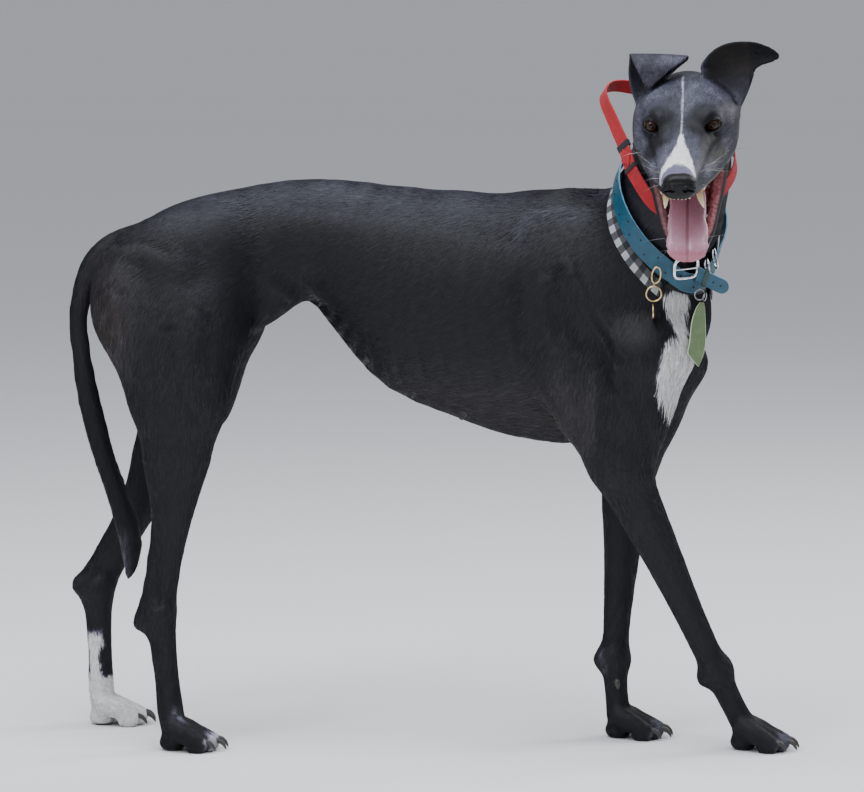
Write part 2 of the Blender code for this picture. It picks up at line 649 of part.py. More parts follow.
tongue_rows = []
for f, u, half, thick in ((0.004, -0.040, .019, .0060), (0.035, -0.038, .0215, .0060),
                          (0.065, -0.036, .0220, .0055), (0.092, -0.034, .0235, .0050),
                          (0.110, -0.0335, .0245, .0045)):
    p = jaw_point((f, 0, u))
    q = jaw_point((f, 0, u + thick))
    tongue_rows.append((p, half, arr(q) - arr(p)))
tip = arr(tongue_rows[-1][0])
for f, u, half, lean in ((0.0070, -0.0065, .0240, 35), (0.0100, -0.0125, .0215, 12),
                         (0.0104, -0.0175, .0165, 0), (0.0098, -0.0208, .0080, -5)):
    a = math.radians(lean)
    tongue_rows.append((tip + arr((f, 0, u)), half, arr((math.cos(a), 0, math.sin(a))) * 0.0036))
tongue = tube("tongue", [(head_point(p), arr((0, half, 0)) @ HEAD, arr(t) @ HEAD)
                         for p, half, t in tongue_rows], TONGUE_MAT)


def gum(name, place, arch, teeth, mat, faces):
    """Ridge of gum with its teeth, as one body."""
    ridge = [tuple(head_point(place(p[:3]))) + (p[3],) * 3 for p in arch]
    made = [Loft(ridge, side=HEAD[2], sub=3, k=0.003)]
    for root, end, r in teeth:
        a, b = head_point(place(root)), head_point(place(end))
        rows = (tuple(a) + (r,) * 3, tuple((a + b) / 2) + (r * 0.8,) * 3, tuple(b) + (r * 0.3,) * 3)
        made.append(Loft(rows, side=HEAD[1], sub=1, k=0.0015))
    field = union(made)
    box = arr([m.lo for m in made]), arr([m.hi for m in made])
    v, q = skin_net(field, box[0].min(0) - 0.004, box[1].max(0) + 0.004, 0.0020)
    return decimated(make(name, v, q, mat), faces)


def mirrored(rows):
    """Left half from back to front, then the right half back again."""
    return list(rows) + [(r[0], -r[1]) + tuple(r[2:]) for r in reversed(rows[:-1])]


upper_teeth, lower_teeth = [], []
for s in (1, -1):
    upper_teeth.append(((0.101, s * 0.0185 + 0.002, -0.044), (0.104, s * 0.0225 + 0.004, -0.065), 0.0045))
    lower_teeth.append(((0.096, s * 0.0150, -0.048), (0.099, s * 0.0172, -0.0395), 0.0036))
    for i, (f, l) in enumerate(((0.1165, 0.0030), (0.1150, 0.0085))):
        upper_teeth.append(((f, s * l, -0.044), (f + 0.001, s * l, -0.0495), 0.0030))
        lower_teeth.append(((f - 0.010, s * l, -0.050), (f - 0.009, s * l, -0.0435), 0.0026))
    for f, l in ((0.088, 0.0225), (0.074, 0.0255), (0.058, 0.0285)):
        upper_teeth.append(((f, s * l, -0.046), (f, s * l, -0.0540), 0.0040))
    for f, l in ((0.080, 0.0195), (0.064, 0.0225), (0.048, 0.0255)):
        lower_teeth.append(((f, s * l, -0.049), (f, s * l, -0.0425), 0.0034))
upper_arch = mirrored(((0.050, .0290, -.0455, .0040), (0.080, .0240, -.0455, .0042),
                       (0.101, .0190, -.0440, .0046), (0.1150, .0080, -.0430, .0036),
                       (0.1170, .0000, -.0430, .0034)))
lower_arch = mirrored(((0.042, .0265, -.0500, .0036), (0.070, .0215, -.0505, .0036),
                       (0.094, .0150, -.0505, .0038), (0.1050, .0070, -.0510, .0034),
                       (0.1070, .0000, -.0510, .0034)))
upper = gum("upper_teeth", lambda p: p, upper_arch, upper_teeth, GUM_UP_MAT, 220)
lower = gum("lower_teeth", jaw_point, lower_arch, lower_teeth, GUM_LOW_MAT, 200)

for piece in eyes + [nose, tongue, upper, lower] + ears:
    tool = grown(piece, FIT * 5 if piece in (upper, lower) else FIT)
    carve(flesh, tool)
    bpy.data.objects.remove(tool)


# ---------------------------------------------------------------- parting cuts
def slab(centre, normal, along_, half_a, half_b):
    """Thin plate that parts the flesh."""
    n = unit(normal)
    a = unit(arr(along_) - n * (arr(along_) @ n))
    b = np.cross(n, a)
    verts = [arr(centre) + a * sa * half_a + b * sb * half_b + n * sn * CUT / 2
             for sn in (-1, 1) for sa, sb in ((-1, -1), (1, -1), (1, 1), (-1, 1))]
    faces = ((3, 2, 1, 0), (4, 5, 6, 7), (0, 1, 5, 4), (1, 2, 6, 5), (2, 3, 7, 6), (3, 0, 4, 7))
    return make("cut", verts, faces)


def across_bone(a, b, share, half_a, half_b):
    a, b = arr(a), arr(b)
    return slab(a + (b - a) * share, b - a, (1, 0, 0.2), half_a, half_b)


def v_cut(inner, outer, x_mid, half, yaw):
    """Plate from the groin or the armpit up and outward; inner and outer give y and z."""
    lo, hi = arr((0, inner[0], inner[1])), arr((0, outer[0], outer[1]))
    rise = unit(hi - lo)
    ahead = arr((math.cos(yaw), -math.sin(yaw), 0))
    centre = (lo + hi) / 2 + arr((x_mid, 0, 0))
    return slab(centre, np.cross(ahead, rise), ahead, half, np.linalg.norm(hi - lo) / 2)


base_line = arr((0.322, -0.128, 0.548)) - arr((0.196, -0.042, 0.700))
base_side = arr((0.6, 0.8, 0))
cuts = [
    slab(arr((0.259, -0.085, 0.624)), np.cross(base_side, base_line), base_line, 0.135, 0.125),
    slab(head_point((-0.092, 0, -0.060)), arr((0.85, 0, 0.52)) @ HEAD, HEAD[1], 0.080, 0.112),
    slab(head_point(jaw_point((0.012, 0, -0.062))),
         head_point(jaw_point((0.1, 0, -0.062))) - head_point(jaw_point((0, 0, -0.062))),
         HEAD[1], 0.062, 0.032),
    slab((-0.4400, 0.000, 0.553), (-0.15, 0, -0.99), (0, 1, 0), 0.0180, 0.0190),
    v_cut((0.000, 0.438), (-0.125, 0.575), -0.310, 0.150, 0),
    v_cut((0.000, 0.432), (0.125, 0.575), -0.310, 0.150, 0),
    v_cut((-0.058, 0.330), (-0.205, 0.480), 0.252, 0.110, 0.1),
    v_cut((-0.030, 0.342), (0.090, 0.462), 0.268, 0.085, CHEST_YAW)]
for leg in (HIND_RIGHT, HIND_LEFT):
    cuts.append(across_bone(leg['low'], leg['mid'], 0.13, 0.050, 0.030))
for leg in (FORE_RIGHT, FORE_LEFT):
    cuts.append(across_bone(leg['low'], leg['mid'], 0.12, 0.034, 0.032))
for tool in cuts:
    carve(flesh, tool)
    bpy.data.objects.remove(tool)

LABELS = {
    "head": tuple(head_point((-0.03, 0, -0.01))),
    "lower_jaw": tuple(head_point(jaw_point((0.06, 0, -0.06)))),
    "neck": (0.290, -0.13, 0.69), "trunk": (-0.03, -0.02, 0.56),
    "tail": (-0.42, 0, 0.42),
    "foreleg_right": (0.26, -0.12, 0.28), "forepaw_right": (0.38, -0.09, 0.05),
    "foreleg_left": (0.25, 0.01, 0.28), "forepaw_left": (0.25, 0, 0.05),
    "hindleg_right": (-0.31, -0.08, 0.38), "hindpaw_right": (-0.33, -0.085, 0.09),
    "hindleg_left": (-0.34, 0.08, 0.38), "hindpaw_left": (-0.42, 0.09, 0.09)}


def islands(mesh):
    bm = bmesh.new()
    bm.from_mesh(mesh)
    bmesh.ops.remove_doubles(bm, verts=bm.verts, dist=1e-6)
    bmesh.ops.dissolve_degenerate(bm, edges=bm.edges, dist=1e-6)
    bmesh.ops.dissolve_limit(bm, angle_limit=math.radians(0.5), verts=bm.verts, edges=bm.edges)
    bmesh.ops.triangulate(bm, faces=bm.faces)
    seen, out = set(), []
    for start in bm.faces:
        if start.index in seen:
            continue
        stack, group = [start], []
        seen.add(start.index)
        while stack:
            f = stack.pop()
            group.append(f)
            for e in f.edges:
                for g in e.link_faces:
                    if g.index not in seen:
                        seen.add(g.index)
                        stack.append(g)
        keep = {}
        faces = []
        for f in group:
            faces.append([keep.setdefault(v.index, len(keep)) for v in f.verts])
        coords = [None] * len(keep)
        for f in group:
            for v in f.verts:
                coords[keep[v.index]] = tuple(v.co)
        out.append((coords, faces))
    bm.free()
    return out


found = {}
for coords, faces in islands(flesh.data):
    if len(faces) < 24:
        continue
    lo, hi = arr(coords).min(0), arr(coords).max(0)
    middle = (lo + hi) / 2
    label = min(LABELS, key=lambda n: np.linalg.norm(arr(LABELS[n]) - middle))
    if label in found and len(found[label][1]) > len(faces):
        continue
    found[label] = (coords, faces)
for label, (coords, faces) in found.items():
    settle(make(label, coords, faces, coat_material(label)))
bpy.data.objects.remove(flesh)

# ---------------------------------------------------------------- what it wears
COLLAR_AXIS = unit((0.485, -0.745, 0.460))       # square to the plane of both collars
COLLAR_CENTRE = arr((0.2873, -0.1035, 0.6760))   # where that plane meets the middle of the neck
SIDE_A = unit(np.cross(COLLAR_AXIS, (0, 0, 1)))
SIDE_B = np.cross(COLLAR_AXIS, SIDE_A)


def reach(centre, direction):
    """Distance from the middle of the neck to its surface."""
    hit = flesh_tree.ray_cast(Vector(centre), Vector(direction))
    return hit[3] if hit[0] is not None else 0.08


def height(p):
    """How far a point stands off the flesh."""
    place, normal, _, distance = flesh_tree.find_nearest(Vector(p))
    return math.copysign(distance, (Vector(p) - place).dot(normal))


def cleared(low, high, ways, gap, closed):
    """Move a strap's two edges out until it stands off the flesh by the gap."""
    n = len(low)
    for _ in range(8):
        lift = np.zeros(n)
        for i in range(n):
            k = (i + 1) % n if closed else min(i + 1, n - 1)
            for a in (0, 0.25, 0.5, 0.75, 1):
                here, there = low[i] * (1 - a) + high[i] * a, low[k] * (1 - a) + high[k] * a
                short = gap - min(height(here), height((here + there) / 2))
                if short > 0:
                    lift[i] = max(lift[i], short)
                    lift[k] = max(lift[k], short * 0.6)
        low, high = low + ways * lift[:, None], high + ways * lift[:, None]
    return low, high


def strap(name, path, wide, out, width, thick, mat, closed=True):
    """Strap whose inner face follows the path."""
    verts, faces = [], []
    n = len(path)
    for p, w, o in zip(path, wide, out):
        for sw, so in ((-1, 0), (1, 0), (1, 1), (-1, 1)):
            verts.append(arr(p) + arr(w) * sw * width / 2 + arr(o) * so * thick)
    for i in range(n if closed else n - 1):
        k = (i + 1) % n
        for j in range(4):
            m = (j + 1) % 4
            faces.append((i * 4 + j, k * 4 + j, k * 4 + m, i * 4 + m))
    if not closed:
        faces += [(3, 2, 1, 0), tuple(range(n * 4 - 4, n * 4))]
    return settle(make(name, verts, faces, mat))


def collar(name, shift, width, thick, gap, mat, span=(0, 360), count=36):
    """Strap lying flat round the neck; the span is in degrees, 90 at the throat."""
    closed = span[1] - span[0] >= 360
    turns = np.linspace(span[0], span[1], count + (0 if closed else 1), endpoint=not closed)
    ways = arr([SIDE_A * math.cos(t) + SIDE_B * math.sin(t) for t in np.radians(turns)])
    edges = []
    for o in (-1, 1):
        c = COLLAR_CENTRE + COLLAR_AXIS * (shift + o * width / 2)
        edges.append(arr([c + d * (reach(c, d) + gap) for d in ways]))
    if closed:
        edges = [(np.roll(v, 1, 0) + np.roll(v, -1, 0) + v * 2) / 4 for v in edges]
    low, high = cleared(edges[0], edges[1], ways, gap, closed)
    wide = [unit(h - l) for l, h in zip(low, high)]
    out = [unit(o - w * (o @ w)) for o, w in zip(ways, wide)]
    return strap(name, (low + high) / 2, wide, out, width, thick, mat, closed)


def wire(name, path, r, mat, closed=True, sides=5):
    """Round bar along a path."""
    path = arr(path)
    n = len(path)
    verts, faces, a = [], [], None
    for i in range(n):
        before = (i - 1) % n if closed else max(i - 1, 0)
        after = (i + 1) % n if closed else min(i + 1, n - 1)
        t = unit(path[after] - path[before])
        a = unit(np.cross(t, (0.31, 0.2, 0.93))) if a is None else unit(a - t * (a @ t))
        b = np.cross(t, a)
        for s in np.arange(sides) * 2 * math.pi / sides:
            verts.append(path[i] + (a * math.cos(s) + b * math.sin(s)) * r)
    for i in range(n if closed else n - 1):
        k = (i + 1) % n
        for j in range(sides):
            m = (j + 1) % sides
            faces.append((i * sides + j, k * sides + j, k * sides + m, i * sides + m))
    if not closed:
        faces += [tuple(range(sides))[::-1], tuple(range((n - 1) * sides, n * sides))]
    return settle(make(name, verts, faces, mat))


def oval(centre, a, b, count=12, square=1.0):
    """Points round an oval; square below 1 fills out its corners."""
    out = []
    for t in np.arange(count) * 2 * math.pi / count:
        c, s = math.cos(t), math.sin(t)
        out.append(arr(centre) + arr(a) * math.copysign(abs(c) ** square, c)
                   + arr(b) * math.copysign(abs(s) ** square, s))
    return out


collar("collar_check", -0.0165, 0.0175, 0.0018, 0.0015, CHECK_MAT, CHECK_SPAN)
# The black length lies on the breast, half under the leather, between the two ends of the check.
path, out = [], []
for t in np.radians(np.linspace(BLACK_SPAN[0], BLACK_SPAN[1], 8)):
    way = SIDE_A * math.cos(t) + SIDE_B * math.sin(t)
    c = COLLAR_CENTRE - COLLAR_AXIS * 0.0060
    found_at = flesh_tree.find_nearest(Vector(c + way * (reach(c, way) + 0.0015) - COLLAR_AXIS * 0.0065))
    path.append(arr(found_at[0]) + arr(found_at[1]) * 0.0015)
    out.append(arr(found_at[1]))
wide = arr([unit(COLLAR_AXIS - o * (o @ COLLAR_AXIS)) for o in out])
low, high = cleared(arr(path) - wide * 0.00825, arr(path) + wide * 0.00825, arr(out), 0.0012, False)
strap("collar_black", (low + high) / 2, wide, out, 0.0165, 0.0018, BLACK_MAT, False)
collar("collar_teal", 0.0040, 0.0240, 0.0022, 0.0042, TEAL_MAT, count=34)

end_line = ((0.3235, -0.1530, 0.5965), (0.3360, -0.1490, 0.5900), (0.3490, -0.1430, 0.5835),
            (0.3610, -0.1370, 0.5785))
end_wide = [unit((0.22, -0.50, 0.83))] * 4
end_out = [unit(np.cross(unit((0.92, 0.32, -0.35)), w)) for w in end_wide]
strap("collar_end", end_line, end_wide, end_out, 0.0210, 0.0022, END_MAT, False)

across, upward = unit((0.92, 0.28, 0.10)), unit((0.02, -0.38, 0.92))
for name, middle, half_a, half_b, count, square, bar, mat in (
        ("buckle", (0.3080, -0.1600, 0.6040), across * 0.0150, upward * 0.0130, 16, 0.55, 0.0016,
         CHROME_MAT),
        ("d_ring", (0.3340, -0.1500, 0.6065), (-0.0010, 0.0005, 0.0085), (0.0022, -0.0055, 0), 12, 1, 0.0011,
         CHROME_RING_MAT),
        ("clip", (0.3450, -0.1330, 0.6145), (-0.0020, 0.0010, 0.0120), (0.0020, -0.0050, 0), 12, 1, 0.0011,
         CLIP_MAT),
        ("brass_link", (0.2716, -0.1650, 0.5960), (0.0015, -0.0020, 0.0100), (0.0052, 0, -0.0010), 12, 1,
         0.0011, BRASS_LINK_MAT),
        ("brass_ring", (0.2687, -0.1655, 0.5735), (0.0092, 0, 0), (0, -0.0012, 0.0091), 16, 1, 0.0010,
         BRASS_MAT),
        ("steel_ring", (0.3253, -0.1520, 0.5715), (0.0060, 0.0020, 0.0015), (-0.0010, 0.0010, 0.0060), 12, 1,
         0.0008, STEEL_RING_MAT)):
    wire(name, oval(middle, half_a, half_b, count, square), bar, mat)
disc = [((0.2676 + x, -0.1670, 0.5515), (0, 0.0098, 0), (0, 0, 0.0098)) for x in (-0.0006, 0.0006)]
tube("brass_disc", disc, BRASS_TAG_MAT, 16)

tag_shape = ((0.0010, -0.0020, 0.0030), (0.0085, -0.0075, 0.0048), (0.0245, -0.0135, 0.0056),
             (0.0480, -0.0165, 0.0060), (0.0620, -0.0190, 0.0035), (0.0710, -0.0120, 0.0000),
             (0.0790, -0.0045, -0.0035))
tag_top, tag_down, tag_side = arr((0.3270, -0.1565, 0.5635)), unit((0, -0.13, -1)), unit((1, 0.45, 0))
tag_face = np.cross(tag_side, tag_down)
verts, faces = [], []
for side in (0.0008, -0.0008):
    for down, a, b in tag_shape:
        verts += [tag_top + tag_down * down + tag_side * x + tag_face * side for x in (a, b)]
n = len(tag_shape)
for i in range(n - 1):
    a, b, c, d = 2 * i, 2 * i + 1, 2 * i + 3, 2 * i + 2
    faces += [(a, b, c, d), tuple(x + 2 * n for x in (d, c, b, a)), (a, d, d + 2 * n, a + 2 * n),
              (c, b, b + 2 * n, c + 2 * n)]
faces += [(1, 0, 2 * n, 2 * n + 1), (2 * n - 2, 2 * n - 1, 4 * n - 1, 4 * n - 2)]
settle(make("tag_olive", verts, faces, TAG_MAT))

# Rows: place of the strap's middle, way its flat side faces.
slip_line = ((0.209, -0.128, 0.812, -0.90, -0.30, 0.30), (0.221, -0.142, 0.780, -0.70, -0.70, -0.10),
             (0.237, -0.165, 0.742, -0.60, -0.80, -0.10), (0.248, -0.188, 0.712, -0.50, -0.80, -0.30),
             (0.270, -0.202, 0.682, -0.20, -0.80, -0.50), (0.302, -0.200, 0.671, 0.00, -0.80, -0.60),
             (0.331, -0.186, 0.688, 0.50, -0.70, -0.50), (0.350, -0.162, 0.725, 0.85, -0.45, -0.20),
             (0.355, -0.136, 0.765, 0.90, 0.30, 0.10), (0.338, -0.108, 0.797, 0.70, 0.60, 0.40),
             (0.300, -0.100, 0.815, 0.00, 0.80, 0.60), (0.255, -0.104, 0.820, -0.20, 0.85, 0.45),
             (0.222, -0.112, 0.823, -0.60, 0.50, 0.60))
closed = slip_line + slip_line[:3]
smooth = spline(closed, 3)[3:3 + 3 * len(slip_line)]
middle = smooth[:, :3]
wide, out = [], []
for i, row in enumerate(smooth):
    tangent = unit(middle[(i + 1) % len(middle)] - middle[i - 1])
    o = unit(row[3:] - tangent * (row[3:] @ tangent))
    out.append(o)
    wide.append(np.cross(tangent, o))
wide, out = arr(wide), arr(out)
low, high = cleared(middle - wide * 0.0090, middle + wide * 0.0090, out, 0.0012, True)
strap("collar_red", (low + high) / 2, wide, out, 0.0180, 0.0020, RED_MAT)

for thing in bpy.data.objects:
    thing.data.transform(Matrix.Translation((-CENTRE[0], -CENTRE[1], 0)))
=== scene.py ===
import math

import bmesh
import bpy
import numpy as np
from mathutils import Matrix, Vector
from mathutils.bvhtree import BVHTree


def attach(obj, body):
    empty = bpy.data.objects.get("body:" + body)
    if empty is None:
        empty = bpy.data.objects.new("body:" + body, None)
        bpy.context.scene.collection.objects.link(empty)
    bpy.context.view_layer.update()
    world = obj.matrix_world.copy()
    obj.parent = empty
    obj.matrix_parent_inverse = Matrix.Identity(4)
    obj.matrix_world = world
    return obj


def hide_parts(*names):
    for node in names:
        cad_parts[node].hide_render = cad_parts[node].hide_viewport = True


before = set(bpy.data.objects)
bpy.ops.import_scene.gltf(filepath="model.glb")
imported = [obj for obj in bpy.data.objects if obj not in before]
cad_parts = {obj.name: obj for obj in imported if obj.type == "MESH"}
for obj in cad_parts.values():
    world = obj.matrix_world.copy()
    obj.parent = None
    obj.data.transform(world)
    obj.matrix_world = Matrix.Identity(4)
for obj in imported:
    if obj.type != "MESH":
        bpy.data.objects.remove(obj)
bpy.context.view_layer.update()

# ---------------------------------------------------------------- camera, floor and light
# The animal stands in the middle of a plain pale studio floor. It is seen from its right side,
# from the height of a standing person's chest, through a long lens.
MIDDLE = np.array((0.009122, 0.132143, 0.0))      # from the shaping frame to the model's own frame
LENS_DISTANCE = 5.16
LENS_HEIGHT = 0.93
LENS_TILT = math.radians(5.5)

camera = bpy.data.objects.new("camera", bpy.data.cameras.new("camera"))
bpy.context.scene.collection.objects.link(camera)
camera.location = (MIDDLE[0], MIDDLE[1] - LENS_DISTANCE, LENS_HEIGHT)
camera.rotation_euler = (math.pi / 2 - LENS_TILT, 0, 0)
camera.data.sensor_width = 36
camera.data.lens = 172.1
bpy.context.scene.camera = camera

world = bpy.data.worlds.new("studio")
bpy.context.scene.world = world
world.use_nodes = True
sky = world.node_tree.nodes["Background"].inputs
sky["Color"].default_value = (0.86, 0.90, 1.0, 1)
sky["Strength"].default_value = 0.52

for name, place, size, power, tint in (
        ("overhead", (-0.2, -0.9, 3.4), 3.0, 165, (0.86, 0.92, 1.0)),
        ("key", (-2.6, -3.4, 3.0), 1.6, 62, (1.0, 0.98, 0.95)),
        ("rim", (2.8, 1.6, 2.6), 1.6, 60, (1.0, 0.98, 0.95))):
    lamp = bpy.data.lights.new(name, 'AREA')
    lamp.size = size
    lamp.energy = power
    lamp.color = tint
    light = bpy.data.objects.new(name, lamp)
    bpy.context.scene.collection.objects.link(light)
    light.location = place
    aim = Vector((0, 0, 0.5)) - Vector(place)
    light.rotation_euler = aim.to_track_quat('-Z', 'Y').to_euler()


def tube_faces(rings, sides, closed=False, capped=True):
    """Faces of a tube whose points are laid ring by ring."""
    faces = []
    for i in range(rings if closed else rings - 1):
        k = (i + 1) % rings
        faces += [(i * sides + j, i * sides + (j + 1) % sides, k * sides + (j + 1) % sides, k * sides + j)
                  for j in range(sides)]
    if capped and not closed:
        faces += [tuple(range(sides))[::-1], tuple(range((rings - 1) * sides, rings * sides))]
    return faces


FLOOR_RADIUS, COVE_RADIUS, FLOOR_SIDES = 24, 6, 96
cove = [(FLOOR_RADIUS + COVE_RADIUS * math.sin(a), COVE_RADIUS - COVE_RADIUS * math.cos(a))
        for a in np.linspace(0, math.pi / 2, 12)]
floor_points = [(r * math.cos(a), r * math.sin(a), z) for r, z in cove
                for a in np.linspace(0, 2 * math.pi, FLOOR_SIDES, endpoint=False)]
floor_mesh = bpy.data.meshes.new("floor")
floor_mesh.from_pydata(floor_points, [], [tuple(range(FLOOR_SIDES))]
                       + tube_faces(len(cove), FLOOR_SIDES, capped=False))
floor = bpy.data.objects.new("floor", floor_mesh)
bpy.context.scene.collection.objects.link(floor)
floor_paint = bpy.data.materials.new("floor_pale")
floor_paint.use_nodes = True
floor_shader = floor_paint.node_tree.nodes["Principled BSDF"]
floor_shader.inputs["Base Color"].default_value = (0.86, 0.86, 0.85, 1)
floor_shader.inputs["Roughness"].default_value = 0.85
floor_mesh.materials.append(floor_paint)


# ---------------------------------------------------------------- skin
# One hide over the whole animal, from nose to tail and down to the toes. It is shaped from the
# bones, muscles and girths under it, finest on the head, and lies a coat's depth inside the outline.
COAT_DEPTH = 0.0010
HEAD_YAW = math.radians(6.6)
HEAD_PITCH = math.radians(19.5)
HEAD_ROLL = math.radians(1.2)
EYE_LINE = np.array((0.298, -0.265, 0.783))       # point midway between the eyes
JAW_OPEN = math.radians(30)
JAW_HINGE = (-0.055, -0.030)                      # forward and up from the eye line
EYE_RADIUS = 0.0113
EYE_SEATS = {"left": (0.0050, 0.0335, 0.0017), "right": (0.0050, -0.0365, 0.0015)}
CHEST_YAW = math.radians(18)
COLLAR_AXIS = np.array((0.485, -0.745, 0.460)) / np.linalg.norm((0.485, -0.745, 0.460))
COLLAR_CENTRE = np.array((0.2873, -0.1035, 0.6760))


def arr(v):
    return np.asarray(v, dtype=float)


def unit(v):
    v = arr(v)
    return v / np.linalg.norm(v)


def blend(a, b, k):
    """Join two distances with a fillet about k wide."""
    h = np.maximum(k - np.abs(a - b), 0) / k
    return np.minimum(a, b) - h * h * k * 0.25


def spline(rows, sub):
    """Smooth run through the rows, with so many steps from each to the next."""
    rows = arr(rows)
    last = len(rows) - 1
    out = []
    for i in range(last):
        p0, p1, p2, p3 = rows[max(i - 1, 0)], rows[i], rows[i + 1], rows[min(i + 2, last)]
        for j in range(sub):
            t = j / sub
            out.append(0.5 * (2 * p1 + (p2 - p0) * t + (2 * p0 - 5 * p1 + 4 * p2 - p3) * t * t
                              + (3 * p1 - p0 - 3 * p2 + p3) * t ** 3))
    out.append(rows[last])
    return arr(out)


class Loft:
    """Flesh along a line. Rows: x, y, z, radius up or front, radius down or back, half width."""

    def __init__(self, rows, side=None, sub=3, k=0.02, cap=1.0):
        r = spline(rows, sub)
        r = r[np.concatenate([[True], np.linalg.norm(np.diff(r[:, :3], axis=0), axis=1) > 1e-6])]
        self.k, self.cap = k, cap
        m = r[:, 3:6].max(axis=1)[:, None]
        self.lo = (r[:, :3] - m).min(axis=0)
        self.hi = (r[:, :3] + m).max(axis=0)
        self.a, self.ab = r[:-1, :3], np.diff(r[:, :3], axis=0)
        self.ra, self.rb = r[:-1, 3:6], r[1:, 3:6]
        self.length2 = (self.ab ** 2).sum(1)
        self.tries = int(np.clip(2.0 * m.max() / np.sqrt(self.length2).mean(), 2, len(self.a)))
        self.tangent = self.ab / np.sqrt(self.length2)[:, None]
        side = np.cross((0, 0, 1), self.tangent) if side is None else np.tile(arr(side), (len(self.a), 1))
        side = side - self.tangent * (side * self.tangent).sum(1)[:, None]
        self.side = side / np.linalg.norm(side, axis=1)[:, None]
        self.up = np.cross(self.tangent, self.side)

    def __call__(self, pts):
        gap = np.maximum(np.maximum(self.lo - pts, pts - self.hi), 0)
        far = np.sqrt((gap * gap).sum(1))
        out = far + 0.004
        near = np.nonzero(far < self.k + 0.004)[0]
        if len(near) == 0:
            return out
        p = pts[near]
        # the few stretches of the line that are nearest, less their mean radius
        reach = p @ self.ab.T - (self.a * self.ab).sum(1)
        t = np.clip(reach / self.length2, 0, 1)
        axis2 = (p * p).sum(1)[:, None] - 2 * (p @ self.a.T) + (self.a ** 2).sum(1)
        axis2 += t * (t * self.length2 - 2 * reach)
        mean_a, mean_b = self.ra.mean(1), self.rb.mean(1)
        score = np.sqrt(np.maximum(axis2, 0)) - mean_a - t * (mean_b - mean_a)
        rows = np.arange(len(p))
        best = np.full(len(p), 1e3)
        for _ in range(min(self.tries, len(self.a))):
            i = score.argmin(1)
            score[rows, i] = np.inf
            u = t[rows, i][:, None]
            q = p - self.a[i] - u * self.ab[i]
            rad = self.ra[i] * (1 - u) + self.rb[i] * u
            x, y, z = (q * self.side[i]).sum(1), (q * self.up[i]).sum(1), (q * self.tangent[i]).sum(1)
            ru = np.where(y > 0, rad[:, 0], rad[:, 1])
            k = np.sqrt((x / rad[:, 2]) ** 2 + (y / ru) ** 2 + (z / (rad.min(1) * self.cap)) ** 2)
            n = np.sqrt(x * x + y * y + z * z)
            best = np.minimum(best, n - n / np.maximum(k, 1e-6))
        out[near] = best
        return out


class Blob:
    """Ellipsoid of flesh. The rows of axes give its own directions."""

    def __init__(self, centre, radii, axes=None, k=0.02):
        self.c, self.r, self.k = arr(centre), arr(radii), k
        self.axes = np.eye(3) if axes is None else arr(axes)
        self.lo, self.hi = self.c - self.r.max(), self.c + self.r.max()

    def __call__(self, pts):
        q = pts - self.c
        n = np.sqrt((q * q).sum(1))
        out = n - self.r.max()
        near = np.nonzero(out < 0.05)[0]
        if len(near):
            a = (q[near] @ self.axes.T) / self.r
            k = np.sqrt((a * a).sum(1))
            out[near] = n[near] - n[near] / np.maximum(k, 1e-6)
        return out


def along(direction, up=(0, 0, 1)):
    """Own directions of a body that lies along a way: ahead, sideways and up."""
    d = unit(direction)
    s = unit(np.cross(up, d))
    return arr([d, s, np.cross(d, s)])


BATCH = 40000               # points that a field works out at a time


def union(parts):
    """Field of all the parts, each joined to the ones before it with its own fillet."""
    def field(pts):
        out = np.empty(len(pts))
        for i in range(0, len(pts), BATCH):
            some = pts[i:i + BATCH]
            d = parts[0](some)
            for part in parts[1:]:
                lo, hi = some.min(0) - 0.06, some.max(0) + 0.06
                if (part.hi < lo).any() or (part.lo > hi).any():
                    continue
                other = part(some)          # sets the part's own fillet, so it comes first
                d = blend(d, other, part.k)
            out[i:i + BATCH] = d
        return out
    return field


